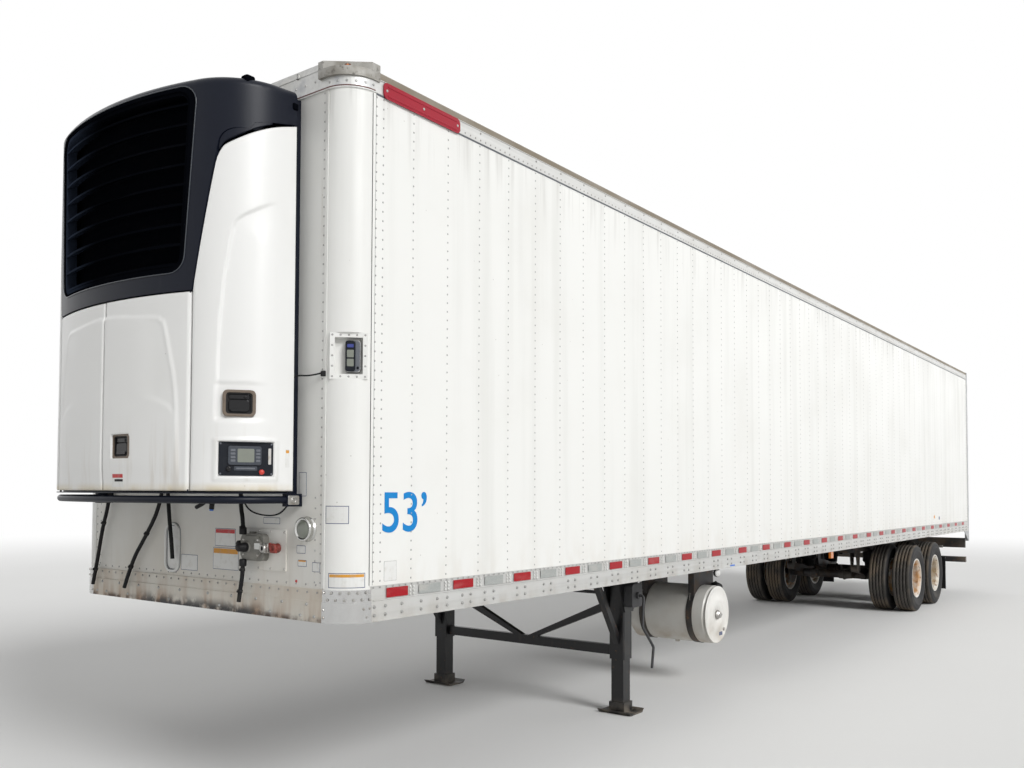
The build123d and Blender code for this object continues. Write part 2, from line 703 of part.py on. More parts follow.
# Rear doors: an outer slab and a narrower insulated plug, with knuckled hinge straps
pin_x = station(BODY_LENGTH + PIN_BEHIND_FACE)
pin_y = HALF_WIDTH - PIN_FROM_SIDE
door_foot = FLOOR_TOP + DOOR_GAP
door_top = REAR_HEADER_FOOT - DOOR_GAP
door_edge_y = post_inner_y - DOOR_GAP
meeting_y = DOOR_MEETING_GAP / 2
strap_face_x = station(BODY_LENGTH + STRAP_OFF_POST)
hinge_pitch = (door_top - door_foot - 2 * HINGE_FROM_EDGE) / (HINGE_COUNT - 1)
hinge_heights = [door_foot + HINGE_FROM_EDGE + number * hinge_pitch for number in range(HINGE_COUNT)]
for side, hand in SIDES:
    with BuildPart() as rear_door:
        block((station(BODY_LENGTH), station(BODY_LENGTH - DOOR_SLAB)),
              (side * meeting_y, side * door_edge_y), (door_foot, door_top))
        block((station(BODY_LENGTH - DOOR_SLAB), station(BODY_LENGTH - DOOR_SLAB - DOOR_PLUG)),
              (side * (meeting_y + DOOR_PLUG_INSET), side * (door_edge_y - DOOR_PLUG_INSET)),
              (door_foot + DOOR_PLUG_INSET, door_top - DOOR_PLUG_INSET))
        for height in hinge_heights:
            knuckle_span = (height - KNUCKLE_LENGTH / 2, height + KNUCKLE_LENGTH / 2)
            strap_inner_y = door_edge_y - STRAP_LENGTH
            block((strap_face_x - STRAP_THICK, strap_face_x), (side * strap_inner_y, side * pin_y),
                  knuckle_span)
            block((strap_face_x, station(BODY_LENGTH)), (side * strap_inner_y, side * door_edge_y),
                  knuckle_span)
            block((pin_x, strap_face_x), (side * (pin_y - KNUCKLE_RADIUS), side * pin_y), knuckle_span)
            with BuildSketch(Plane.XY.offset(knuckle_span[0])):
                with Locations((pin_x, side * pin_y)):
                    Circle(KNUCKLE_RADIUS)
            extrude(amount=KNUCKLE_LENGTH)
            with BuildSketch(Plane.XY.offset(knuckle_span[0])):
                with Locations((pin_x, side * pin_y)):
                    Circle(PIN_RADIUS + PIN_CLEARANCE)
            extrude(amount=KNUCKLE_LENGTH, mode=Mode.SUBTRACT)
    keep(rear_door, f"rear_door_{hand}")

# Hinge brackets on the posts: two ears and the pin between them, at each height
with BuildPart() as door_hinges:
    for side, hand in SIDES:
        for height in hinge_heights:
            reach = KNUCKLE_LENGTH / 2 + EAR_GAP
            for ear_foot in (height - reach - EAR_THICK, height + reach):
                ear_span = (ear_foot, ear_foot + EAR_THICK)
                block((pin_x, station(BODY_LENGTH)),
                      (side * (pin_y - KNUCKLE_RADIUS), side * (pin_y + KNUCKLE_RADIUS)), ear_span)
                with BuildSketch(Plane.XY.offset(ear_foot)):
                    with Locations((pin_x, side * pin_y)):
                        Circle(KNUCKLE_RADIUS)
                extrude(amount=EAR_THICK)
            with BuildSketch(Plane.XY.offset(height - reach)):
                with Locations((pin_x, side * pin_y)):
                    Circle(PIN_RADIUS)
            extrude(amount=2 * reach)
keep(door_hinges, "door_hinges")

# Lock rods: two to a door, with guides and a handle each
guide_pitch = (door_top - door_foot - 2 * GUIDE_FROM_EDGE - GUIDE_HEIGHT) / (GUIDE_COUNT - 1)
for side, hand in SIDES:
    with BuildPart() as lock_rods:
        rod_x = station(BODY_LENGTH + ROD_OFF_DOOR)
        for place, outward, handle_rise in ROD_PLACES:
            with BuildSketch(Plane.XY.offset(door_foot - ROD_OVERRUN)):
                with Locations((rod_x, side * place)):
                    Circle(ROD_RADIUS)
            extrude(amount=door_top - door_foot + 2 * ROD_OVERRUN)
            for number in range(GUIDE_COUNT):
                guide_foot = door_foot + GUIDE_FROM_EDGE + number * guide_pitch
                block((rod_x - ROD_RADIUS, station(BODY_LENGTH)),
                      (side * (place - 2 * ROD_RADIUS), side * (place + 2 * ROD_RADIUS)),
                      (guide_foot, guide_foot + GUIDE_HEIGHT))
            handle_y = (side * place, side * (place + outward * HANDLE_LENGTH))
            handle_foot = door_foot + handle_rise
            block((station(BODY_LENGTH + HANDLE_REACH), rod_x - ROD_RADIUS / 2), handle_y,
                  (handle_foot, handle_foot + 2 * HANDLE_THICK))
    keep(lock_rods, f"lock_rods_{hand}")

# Crossmembers: I-beams between the bottom rails, from behind the coupler to the rear sill
with BuildPart() as crossmembers:
    count = int((sill_front - CROSSMEMBER_FIRST_BACK) // CROSSMEMBER_PITCH) + 1
    half_flange, half_plate = CROSSMEMBER_FLANGE / 2, CROSSMEMBER_PLATE / 2
    reach_y = HALF_WIDTH - RAIL_WEB
    for number in range(count):
        x = station(CROSSMEMBER_FIRST_BACK + number * CROSSMEMBER_PITCH)
        profile = (
            (x - half_flange, CROSSMEMBER_FOOT),
            (x + half_flange, CROSSMEMBER_FOOT),
            (x + half_flange, CROSSMEMBER_FOOT + CROSSMEMBER_PLATE),
            (x + half_plate, CROSSMEMBER_FOOT + CROSSMEMBER_PLATE),
            (x + half_plate, RAIL_SHELF - CROSSMEMBER_PLATE),
            (x + half_flange, RAIL_SHELF - CROSSMEMBER_PLATE),
            (x + half_flange, RAIL_SHELF),
            (x - half_flange, RAIL_SHELF),
            (x - half_flange, RAIL_SHELF - CROSSMEMBER_PLATE),
            (x - half_plate, RAIL_SHELF - CROSSMEMBER_PLATE),
            (x - half_plate, CROSSMEMBER_FOOT + CROSSMEMBER_PLATE),
            (x - half_flange, CROSSMEMBER_FOOT + CROSSMEMBER_PLATE),
        )
        bar_along_y(profile, -reach_y, reach_y)
keep(crossmembers, "crossmembers")

# Upper coupler: the bearing plate under the nose, on a frame of channels
with BuildPart() as coupler_plate:
    with BuildSketch(Plane.XY.offset(SILL_FOOT)):
        nose_outline(SILL_CHANNEL, COUPLER_REAR_BACK)
        with Locations((station(KINGPIN_BACK), 0)):
            Circle(KINGPIN_COLLAR_RADIUS + KINGPIN_FIT, mode=Mode.SUBTRACT)
    extrude(amount=COUPLER_PLATE)
    channel_foot = SILL_FOOT + COUPLER_PLATE
    for number in range(COUPLER_CHANNELS):
        place = number / (COUPLER_CHANNELS - 1) - 0.5
        channel_y = place * (2 * COUPLER_HALF - CROSSMEMBER_PLATE)
        channel = (
            (channel_y - CROSSMEMBER_PLATE / 2, channel_foot),
            (channel_y + CROSSMEMBER_PLATE / 2, channel_foot),
            (channel_y + CROSSMEMBER_PLATE / 2, RAIL_SHELF),
            (channel_y - CROSSMEMBER_PLATE / 2, RAIL_SHELF),
        )
        bar_along_x(channel, CORNER_RADIUS, COUPLER_REAR_BACK)
keep(coupler_plate, "coupler_plate")

# Kingpin: a collar set in the plate's hole, with the neck and head under it
with BuildPart() as kingpin:
    neck_top = SILL_FOOT - KINGPIN_COLLAR
    head_top = neck_top - KINGPIN_NECK
    head_foot = head_top - KINGPIN_HEAD
    with BuildSketch(Plane(origin=(station(KINGPIN_BACK), 0, 0), x_dir=(1, 0, 0), z_dir=(0, -1, 0))):
        outline((
            (0, channel_foot),
            (KINGPIN_COLLAR_RADIUS, channel_foot),
            (KINGPIN_COLLAR_RADIUS, neck_top),
            (KINGPIN_NECK_RADIUS, neck_top),
            (KINGPIN_NECK_RADIUS, head_top),
            (KINGPIN_HEAD_RADIUS, head_top),
            (KINGPIN_HEAD_RADIUS, head_foot),
            (0, head_foot),
        ))
    revolve(axis=Axis((station(KINGPIN_BACK), 0, 0), (0, 0, 1)))
keep(kingpin, "kingpin")

# Landing legs: a square housing with its inner leg let down, tapered side plates and a turned-up shoe
leg_x = station(LEG_BACK)
plate_half, housing_half = LEG_TOP_PLATE / 2, LEG_HOUSING / 2
side_plate = (
    (leg_x - plate_half, CROSSMEMBER_FOOT),
    (leg_x - plate_half, CROSSMEMBER_FOOT - LEG_TAPER),
    (leg_x - housing_half, CROSSMEMBER_FOOT - LEG_TOP_PLATE),
    (leg_x + housing_half, CROSSMEMBER_FOOT - LEG_TOP_PLATE),
    (leg_x + plate_half, CROSSMEMBER_FOOT - LEG_TAPER),
    (leg_x + plate_half, CROSSMEMBER_FOOT),
)
shoe_half = SHOE_LENGTH / 2
shoe_section = (
    (leg_x - shoe_half, SHOE_TURN_UP),
    (leg_x - shoe_half + SHOE_TURN_UP, 0),
    (leg_x + shoe_half - SHOE_TURN_UP, 0),
    (leg_x + shoe_half, SHOE_TURN_UP),
    (leg_x + shoe_half - SHOE_PLATE, SHOE_TURN_UP),
    (leg_x + shoe_half - SHOE_TURN_UP - SHOE_PLATE / 2, SHOE_PLATE),
    (leg_x - shoe_half + SHOE_TURN_UP + SHOE_PLATE / 2, SHOE_PLATE),
    (leg_x - shoe_half + SHOE_PLATE, SHOE_TURN_UP),
)
with BuildPart() as landing_legs:
    for side, hand in SIDES:
        leg_y = side * LEG_Y
        with BuildSketch(Plane.XY.offset(SHOE_PLATE)):
            with Locations((leg_x, leg_y)):
                Rectangle(LEG_INNER, LEG_INNER)
        extrude(amount=LEG_HOUSING_FOOT - SHOE_PLATE)
        with BuildSketch(Plane.XY.offset(LEG_HOUSING_FOOT)):
            with Locations((leg_x, leg_y)):
                RectangleRounded(LEG_HOUSING, LEG_HOUSING, LEG_ROUND)
        extrude(amount=CROSSMEMBER_FOOT - LEG_HOUSING_FOOT)
        bar_along_y(side_plate, leg_y - housing_half - SHOE_PLATE, leg_y - housing_half)
        bar_along_y(side_plate, leg_y + housing_half, leg_y + housing_half + SHOE_PLATE)
        bar_along_y(shoe_section, leg_y - SHOE_WIDTH / 2, leg_y + SHOE_WIDTH / 2)
        block((leg_x - housing_half, leg_x + housing_half),
              (leg_y - housing_half, leg_y + housing_half), (SHOE_PLATE, SHOE_BOX_HEIGHT))
keep(landing_legs, "landing_legs")

# Leg braces: a cross tube, a V from its middle up to the legs, and a stay ahead of each leg
with BuildPart() as leg_braces:
    leg_inner_y = LEG_Y - LEG_HOUSING / 2
    tube_top = CROSS_TUBE_Z + CROSS_TUBE_HEIGHT / 2
    block((leg_x - BRACE_THICK / 2, leg_x + BRACE_THICK / 2), (-leg_inner_y, leg_inner_y),
          (tube_top - CROSS_TUBE_HEIGHT, tube_top))
    for side, hand in SIDES:
        arm = (
            (side * V_FOOT_GAP, tube_top),
            (side * (V_FOOT_GAP + 2 * BRACE_THICK), tube_top),
            (side * (leg_inner_y - SHOE_PLATE), V_TOP_Z - BRACE_THICK),
            (side * (leg_inner_y - SHOE_PLATE), V_TOP_Z + BRACE_THICK / 2),
        )
        with BuildSketch(Plane.YZ.offset(leg_x - BRACE_THICK / 2)):
            outline(arm)
        extrude(amount=BRACE_THICK)
        stay_x = leg_x + LEG_HOUSING / 2
        stay = (
            (stay_x, STAY_FOOT_Z),
            (stay_x, STAY_FOOT_Z + 2 * BRACE_THICK),
            (stay_x + STAY_AHEAD - BRACE_THICK, CROSSMEMBER_FOOT),
            (stay_x + STAY_AHEAD, CROSSMEMBER_FOOT),
        )
        stay_span = sorted((side * (LEG_Y - BRACE_THICK / 2), side * (LEG_Y + BRACE_THICK / 2)))
        bar_along_y(stay, *stay_span)
keep(leg_braces, "leg_braces")

# Leg gear: the gearbox on the left leg with its folded crank, and the shaft across to the right leg
crank_z = CROSSMEMBER_FOOT - CRANK_DROP
gearbox_inner_y = LEG_Y + housing_half + SHOE_PLATE
boss_face_y = gearbox_inner_y + GEARBOX_DEPTH + GEARBOX_BOSS
crank_route = [(leg_x + forward, boss_face_y + outward, crank_z - drop)
               for forward, outward, drop in CRANK_BENDS]
with BuildPart() as leg_crank:
    with BuildSketch(Plane.XZ.offset(-gearbox_inner_y - GEARBOX_DEPTH)):
        with Locations((leg_x, crank_z)):
            RectangleRounded(GEARBOX_WIDTH, GEARBOX_HEIGHT, GEARBOX_ROUND)
    extrude(amount=GEARBOX_DEPTH)
    with BuildSketch(Plane.XZ.offset(-boss_face_y)):
        with Locations((leg_x, crank_z)):
            Circle(GEARBOX_BOSS_RADIUS)
    extrude(amount=GEARBOX_BOSS)
    with BuildLine() as crank_path:
        FilletPolyline(*crank_route, radius=CRANK_BEND)
    with BuildSketch(Plane(origin=crank_route[0], x_dir=(1, 0, 0), z_dir=(0, 1, 0))):
        Circle(CRANK_RADIUS)
    sweep()
    shaft_half = LEG_Y - housing_half - SHOE_PLATE
    with BuildSketch(Plane.XZ.offset(-shaft_half)):
        with Locations((leg_x, crank_z)):
            Circle(CROSS_SHAFT_RADIUS)
    extrude(amount=2 * shaft_half)
keep(leg_crank, "leg_crank")

# Fuel tank: a drum across the trailer with dished ends, a filler neck near its left end and a drain
with BuildPart() as fuel_tank:
    tank_x = station(TANK_BACK)
    tank_far_y = TANK_END_Y - TANK_LENGTH
    with BuildSketch(Plane(origin=(tank_x, 0, TANK_Z), x_dir=(0, 1, 0), z_dir=(1, 0, 0))):
        with BuildLine():
            Polyline((tank_far_y + TANK_DISH, TANK_RADIUS), (TANK_END_Y - TANK_DISH, TANK_RADIUS),
                     (TANK_END_Y, TANK_RADIUS - TANK_DISH), (TANK_END_Y - TANK_CROWN, 0),
                     (tank_far_y + TANK_CROWN, 0), (tank_far_y, TANK_RADIUS - TANK_DISH), close=True)
        make_face()
    revolve(axis=Axis((tank_x, 0, TANK_Z), (0, 1, 0)))
    filler_y = TANK_END_Y - FILLER_FROM_END
    lean = math.radians(FILLER_ANGLE)
    filler_plane = Plane(origin=(tank_x, filler_y, TANK_Z), x_dir=(0, 1, 0),
                         z_dir=(-math.sin(lean), 0, math.cos(lean)))
    with BuildSketch(filler_plane):
        Circle(FILLER_RADIUS)
    extrude(amount=TANK_RADIUS + FILLER_RISE)
    with BuildSketch(Plane.XY.offset(TANK_Z - TANK_RADIUS - DRAIN_DROP)):
        with Locations((tank_x, TANK_END_Y - TANK_LENGTH / 2)):
            Circle(DRAIN_RADIUS)
    extrude(amount=TANK_RADIUS)
keep(fuel_tank, "fuel_tank")

# Tank straps: bands round the drum, hung from the crossmembers
with BuildPart() as tank_straps:
    hanger_half = TANK_RADIUS - TANK_HANGER_INSET
    for place in TANK_STRAP_PLACES:
        strap_y = TANK_END_Y - place
        with BuildSketch(Plane.XZ.offset(-strap_y - TANK_STRAP_WIDTH / 2)):
            with Locations((tank_x, TANK_Z)):
                Circle(TANK_RADIUS + TANK_STRAP)
            with Locations((tank_x, (TANK_Z + CROSSMEMBER_FOOT) / 2)):
                Rectangle(2 * hanger_half, CROSSMEMBER_FOOT - TANK_Z)
            with Locations((tank_x, TANK_Z)):
                Circle(TANK_RADIUS, mode=Mode.SUBTRACT)
        extrude(amount=TANK_STRAP_WIDTH)
keep(tank_straps, "tank_straps")

axles = ((FRONT_AXLE_BACK, "front"), (REAR_AXLE_BACK, "rear"))
slider_front = FRONT_AXLE_BACK - SLIDER_OVERHANG
slider_rear = REAR_AXLE_BACK + SLIDER_REAR

# Slide rails: channels under the crossmembers that the tandem runs along, as long as its travel
slide_front = slider_front - SLIDER_FORWARD - SLIDE_RAIL_OVERRUN
slide_rear = slider_rear + SLIDER_BACKWARD + SLIDE_RAIL_OVERRUN
rail_low = SLIDE_RAIL_Y - SLIDE_RAIL_WIDTH / 2
rail_high = SLIDE_RAIL_Y + SLIDE_RAIL_WIDTH / 2
with BuildPart() as slide_rails:
    for side, hand in SIDES:
        channel = (
            (rail_low, SLIDER_TOP),
            (rail_high, SLIDER_TOP),
            (rail_high, SLIDER_TOP + SLIDE_RAIL_PLATE),
            (rail_low + SLIDE_RAIL_PLATE, SLIDER_TOP + SLIDE_RAIL_PLATE),
            (rail_low + SLIDE_RAIL_PLATE, CROSSMEMBER_FOOT - SLIDE_RAIL_PLATE),
            (rail_high, CROSSMEMBER_FOOT - SLIDE_RAIL_PLATE),
            (rail_high, CROSSMEMBER_FOOT),
            (rail_low, CROSSMEMBER_FOOT),
        )
        bar_along_x([(side * y, z) for y, z in channel], slide_front, slide_rear)
keep(slide_rails, "slide_rails")

# Slider frame: two box rails, cross channels, and a pair of hanger plates for each arm's eye
pivots = tuple(axle_back - ARM_PIVOT_AHEAD for axle_back, place in axles)
with BuildPart() as slider_frame:
    frame_top = SLIDER_TOP - SLIDER_CLEARANCE
    for side, hand in SIDES:
        block((station(slider_rear), station(slider_front)), (side * rail_low, side * rail_high),
              (SLIDER_FOOT, frame_top))
    for behind in (slider_front + BRACE_THICK, *pivots, FRONT_AXLE_BACK + SLIDER_CROSS_BEHIND,
                   slider_rear - BRACE_THICK):
        block((station(behind + BRACE_THICK / 2), station(behind - BRACE_THICK / 2)),
              (-rail_low, rail_low), (SLIDER_FOOT, frame_top - 2 * SLIDE_RAIL_PLATE))
    for side, hand in SIDES:
        for behind in pivots:
            for plate_inner in (ARM_Y - ARM_WIDTH / 2 - HANGER_GAP - HANGER_PLATE,
                                ARM_Y + ARM_WIDTH / 2 + HANGER_GAP):
                plate = (
                    (station(behind) - HANGER_BEHIND, SLIDER_FOOT),
                    (station(behind) - HANGER_FOOT_HALF, ARM_PIVOT_Z - ARM_EYE_RADIUS),
                    (station(behind) + HANGER_FOOT_HALF, ARM_PIVOT_Z - ARM_EYE_RADIUS),
                    (station(behind) + HANGER_AHEAD, SLIDER_FOOT),
                )
                span = sorted((side * plate_inner, side * (plate_inner + HANGER_PLATE)))
                bar_along_y(plate, *span)
keep(slider_frame, "slider_frame")

# Trailing arms: an eye at the hanger, a saddle round the axle and a tail under the air spring
with BuildPart() as trailing_arms:
    for side, hand in SIDES:
        for behind, place in axles:
            x = station(behind)
            pivot_x = x + ARM_PIVOT_AHEAD
            body = (
                (pivot_x, ARM_PIVOT_Z + ARM_NECK),
                (x + ARM_SADDLE_AHEAD, AXLE_Z + ARM_SADDLE_RISE + ARM_SADDLE_SLOPE),
                (x - ARM_SADDLE_BEHIND, AXLE_Z + ARM_SADDLE_RISE),
                (x - ARM_TAIL_FLAT, ARM_TAIL_Z),
                (x - ARM_TAIL, ARM_TAIL_Z),
                (x - ARM_TAIL, ARM_TAIL_Z - ARM_TAIL_DEPTH),
                (x - ARM_BELLY_BEHIND, AXLE_Z - ARM_BELLY),
                (x + ARM_BELLY_AHEAD, AXLE_Z - ARM_BELLY),
                (x + ARM_CHIN_AHEAD, AXLE_Z + ARM_CHIN_RISE),
                (pivot_x, ARM_PIVOT_Z - ARM_NECK),
            )
            span = sorted((side * (ARM_Y - ARM_WIDTH / 2), side * (ARM_Y + ARM_WIDTH / 2)))
            bar_along_y(body, *span)
            with BuildSketch(Plane.XZ.offset(-span[1])):
                with Locations((pivot_x, ARM_PIVOT_Z)):
                    Circle(ARM_EYE_RADIUS)
            extrude(amount=ARM_WIDTH)
            with BuildSketch(Plane.XZ.offset(-span[1])):
                with Locations((x, AXLE_Z)):
                    Circle(AXLE_TUBE_RADIUS)
            extrude(amount=ARM_WIDTH, mode=Mode.SUBTRACT)
keep(trailing_arms, "trailing_arms")

# Axles: a tube with spindles, dust shields inboard of the drums and two brake chambers ahead
shield_y = DUAL_Y - SHIELD_INBOARD
spindle_end = DUAL_Y + SPINDLE_REACH
chamber_z = AXLE_Z + CHAMBER_RISE
chamber_outer_y = CHAMBER_INNER_Y + CHAMBER_LENGTH
with BuildPart() as axle_tubes:
    for behind, place in axles:
        with BuildSketch(Plane(origin=(station(behind), 0, AXLE_Z), x_dir=(0, 1, 0), z_dir=(1, 0, 0))):
            half = (
                (shield_y, AXLE_TUBE_RADIUS),
                (shield_y, SHIELD_RADIUS),
                (shield_y + SHIELD_THICK, SHIELD_RADIUS),
                (shield_y + SHIELD_THICK, SPINDLE_RADIUS),
                (spindle_end, SPINDLE_RADIUS),
                (spindle_end, 0),
            )
            outline([(-across, up) for across, up in reversed(half)] + list(half))
        revolve(axis=Axis((station(behind), 0, AXLE_Z), (0, 1, 0)))
    for behind, place in axles:
        x = station(behind) + CHAMBER_AHEAD
        for side, hand in SIDES:
            with BuildSketch(Plane(origin=(x, 0, chamber_z), x_dir=(0, side, 0), z_dir=(side, 0, 0))):
                shell = [(CHAMBER_INNER_Y + along, CHAMBER_RADIUS - inset) for along, inset in CHAMBER_PROFILE]
                outline([(CHAMBER_INNER_Y, 0)] + shell + [(chamber_outer_y, 0)])
            revolve(axis=Axis((x, 0, chamber_z), (0, 1, 0)))
            block((station(behind), x), (side * (chamber_outer_y - CHAMBER_ARM), side * chamber_outer_y),
                  (chamber_z - CHAMBER_ARM_HALF, chamber_z + CHAMBER_ARM_HALF))
keep(axle_tubes, "axles")

# Air springs between the arm tails and the frame
with BuildPart() as air_springs:
    for side, hand in SIDES:
        for behind, place in axles:
            x = station(behind + AIR_SPRING_BEHIND)
            height = SLIDER_FOOT - ARM_TAIL_Z
            with BuildSketch(Plane(origin=(x, side * ARM_Y, ARM_TAIL_Z), x_dir=(1, 0, 0), z_dir=(0, -1, 0))):
                shell = [(AIR_SPRING_RADIUS - inset, height * share) for share, inset in AIR_SPRING_PROFILE]
                outline([(0, 0)] + shell + [(0, height)])
            revolve(axis=Axis((x, side * ARM_Y, 0), (0, 0, 1)))
keep(air_springs, "air_springs")

# Mud flaps on bars behind the rear tyres
with BuildPart() as mud_flaps:
    flap_back = REAR_AXLE_BACK + FLAP_BEHIND_AXLE
    flap_top = FLAP_FOOT + FLAP_HEIGHT
    for side, hand in SIDES:
        flap_y = (side * (GUARD_HALF - FLAP_WIDTH), side * GUARD_HALF)
        bar_span = (side * rail_low, side * GUARD_HALF)
        block((station(flap_back), station(flap_back - FLAP_BAR)), bar_span,
              (flap_top, flap_top + FLAP_BAR))
        block((station(flap_back), station(flap_back - FLAP_THICK)), flap_y, (FLAP_FOOT, flap_top))
        block((station(flap_back), station(slider_rear)), (side * rail_low, side * rail_high),
              (SLIDER_FOOT, SLIDER_FOOT + FLAP_BAR))
        block((station(flap_back), station(flap_back - FLAP_BAR)), (side * rail_low, side * rail_high),
              (flap_top + FLAP_BAR, SLIDER_FOOT))
keep(mud_flaps, "mud_flaps")


def wheel_plane(behind, side):
    """Outboard from the dual's middle is local X, and up is local Y."""
    origin = (station(behind), side * DUAL_Y, AXLE_Z)
    return Plane(origin=origin, x_dir=(0, side, 0), z_dir=(side, 0, 0))


# Tyres: a pair on each hub
for behind, place in axles:
    for side, hand in SIDES:
        with BuildPart() as tyres:
            for middle in (-DUAL_SPACING / 2, DUAL_SPACING / 2):
                with BuildSketch(wheel_plane(behind, side)):
                    half = (
                        (TREAD_HALF_WIDTH, TYRE_RADIUS),
                        (TREAD_HALF_WIDTH + TYRE_SHOULDER_OUT, TYRE_RADIUS - TYRE_SHOULDER_DROP),
                        (TYRE_HALF_WIDTH, TYRE_RADIUS - TYRE_WIDEST_DROP),
                        (RIM_HALF - 2 * RIM_WALL, RIM_FLANGE_RADIUS + TYRE_BEAD_RISE),
                        (RIM_HALF - 2 * RIM_WALL, BEAD_RADIUS),
                    )
                    right = [(middle + across, up) for across, up in half]
                    left = [(middle - across, up) for across, up in reversed(half)]
                    outline(right + left)
                revolve(axis=Axis((station(behind), 0, AXLE_Z), (0, 1, 0)))
        keep(tyres, f"tyres_{place}_{hand}")

# Wheels: two disc rims bolted back to back on a hub, with the brake drum inboard
seat_radius = BEAD_RADIUS - RIM_SEAT_GAP
for behind, place in axles:
    for side, hand in SIDES:
        with BuildPart() as wheels:
            for way in (1, -1):
                middle = way * DUAL_SPACING / 2
                half_rim = (
                    (RIM_HALF - RIM_WELL_START, RIM_WELL_RADIUS - RIM_WALL),
                    (RIM_HALF, BEAD_RADIUS - RIM_WALL),
                    (RIM_HALF, RIM_FLANGE_RADIUS),
                    (RIM_HALF - RIM_WALL, RIM_FLANGE_RADIUS),
                    (RIM_HALF - RIM_WALL, seat_radius),
                    (RIM_HALF - RIM_WALL - RIM_SEAT, seat_radius),
                    (RIM_HALF - RIM_WELL_START, RIM_WELL_RADIUS),
                )
                rim_section = list(half_rim) + [(-across, up) for across, up in reversed(half_rim)]
                disc_section = (
                    (0, SPINDLE_RADIUS + SPINDLE_CLEARANCE),
                    (0, DISC_KNEE),
                    (way * DISC_DISH, RIM_WELL_RADIUS - RIM_WALL),
                    (way * (DISC_DISH + DISC_THICK), RIM_WELL_RADIUS - RIM_WALL),
                    (way * DISC_THICK, DISC_KNEE - DISC_THICK),
                    (way * DISC_THICK, SPINDLE_RADIUS + SPINDLE_CLEARANCE),
                )
                with BuildSketch(wheel_plane(behind, side)):
                    outline([(middle + across, up) for across, up in rim_section])
                    outline(disc_section)
                revolve(axis=Axis((station(behind), 0, AXLE_Z), (0, 1, 0)))
            with BuildSketch(wheel_plane(behind, side)):
                bore = SPINDLE_RADIUS + SPINDLE_CLEARANCE
                outline((
                    (0, bore),
                    (0, HUB_RADIUS),
                    (HUB_REACH, HUB_RADIUS),
                    (HUB_REACH, BARREL_RADIUS),
                    (BARREL_REACH, BARREL_RADIUS),
                    (BARREL_REACH, HUB_CAP_RADIUS),
                    (HUB_CAP_REACH, HUB_CAP_FACE_RADIUS),
                    (HUB_CAP_REACH, 0),
                    (SPINDLE_REACH + SPINDLE_END_GAP, 0),
                    (SPINDLE_REACH + SPINDLE_END_GAP, bore),
                ))
                outline((
                    (-DISC_THICK, bore),
                    (-DRUM_FAR + DRUM_NEAR, bore),
                    (-DRUM_FAR + DRUM_NEAR, BARREL_RADIUS),
                    (-DRUM_NEAR - DRUM_BACK, BARREL_RADIUS),
                    (-DRUM_NEAR - DRUM_BACK, DRUM_INNER),
                    (-DRUM_FAR, DRUM_INNER),
                    (-DRUM_FAR, DRUM_RADIUS),
                    (-DRUM_NEAR, DRUM_RADIUS),
                    (-DRUM_NEAR, HUB_RADIUS),
                    (-DISC_THICK, HUB_RADIUS),
                ))
            revolve(axis=Axis((station(behind), 0, AXLE_Z), (0, 1, 0)))
            hole_plane = Plane(origin=(station(behind), side * DUAL_Y, AXLE_Z), x_dir=(1, 0, 0),
                               z_dir=(0, side, 0))
            with BuildSketch(hole_plane):
                with PolarLocations(HAND_HOLE_PLACE, HAND_HOLES, start_angle=90):
                    Circle(HAND_HOLE_RADIUS)
            extrude(amount=2 * DISC_THICK, both=True, mode=Mode.SUBTRACT)
        keep(wheels, f"wheels_{place}_{hand}")


# The refrigeration unit: its skin follows one plan, an arched front between two round corners
arch_radius = (UNIT_SHOULDER_Y**2 + UNIT_ARCH_RISE**2) / (2 * UNIT_ARCH_RISE)
arch_centre_x = ahead(UNIT_DEPTH) - arch_radius
shoulder_angle = math.asin(UNIT_SHOULDER_Y / arch_radius)
side_angle = math.radians(90 - UNIT_SIDE_SLOPE)
corner_x = ahead(UNIT_SHOULDER_AHEAD) - UNIT_CORNER_RADIUS * math.cos(shoulder_angle)
corner_y = UNIT_SHOULDER_Y - UNIT_CORNER_RADIUS * math.sin(shoulder_angle)


def corner_point(inset, angle):
    """A point on the unit's left corner, moved inward, at an angle from straight ahead."""
    radius = UNIT_CORNER_RADIUS - inset
    return corner_x + radius * math.cos(angle), corner_y + radius * math.sin(angle)


def side_point(inset, distance):
    """A point on the unit's straight left side, moved inward, this far ahead of the body."""
    end_x, end_y = corner_point(inset, side_angle)
    return ahead(distance), end_y + (end_x - ahead(distance)) * math.tan(math.radians(UNIT_SIDE_SLOPE))


def arch_point(inset, y):
    """A point on the unit's arched front, moved inward, at a place across."""
    radius = arch_radius - inset
    return arch_centre_x + math.sqrt(radius**2 - y**2), y


def mirrored(point):
    """The point on the unit's right side that answers one on the left."""
    return point[0], -point[1]


def plan_curve(inset, height=0):
    """The unit's plan from its left rear edge round the front to its right rear edge."""
    rear = side_point(inset, UNIT_REAR_AHEAD)
    end = corner_point(inset, side_angle)
    middle = corner_point(inset, (shoulder_angle + side_angle) / 2)
    start = corner_point(inset, shoulder_angle)
    with BuildLine(Plane.XY.offset(height)) as curve:
        Line(rear, end)
        ThreePointArc(end, middle, start)
        ThreePointArc(start, arch_point(inset, 0), mirrored(start))
        ThreePointArc(mirrored(start), mirrored(middle), mirrored(end))
        Line(mirrored(end), mirrored(rear))
    return curve


def unit_outline(inset, mode=Mode.ADD):
    """The unit's plan as a face, closed along its rear edge."""
    rear = side_point(inset, UNIT_REAR_AHEAD)
    with BuildLine() as closing:
        Line(mirrored(rear), rear)
    make_face(plan_curve(inset).edges() + closing.edges(), mode=mode)


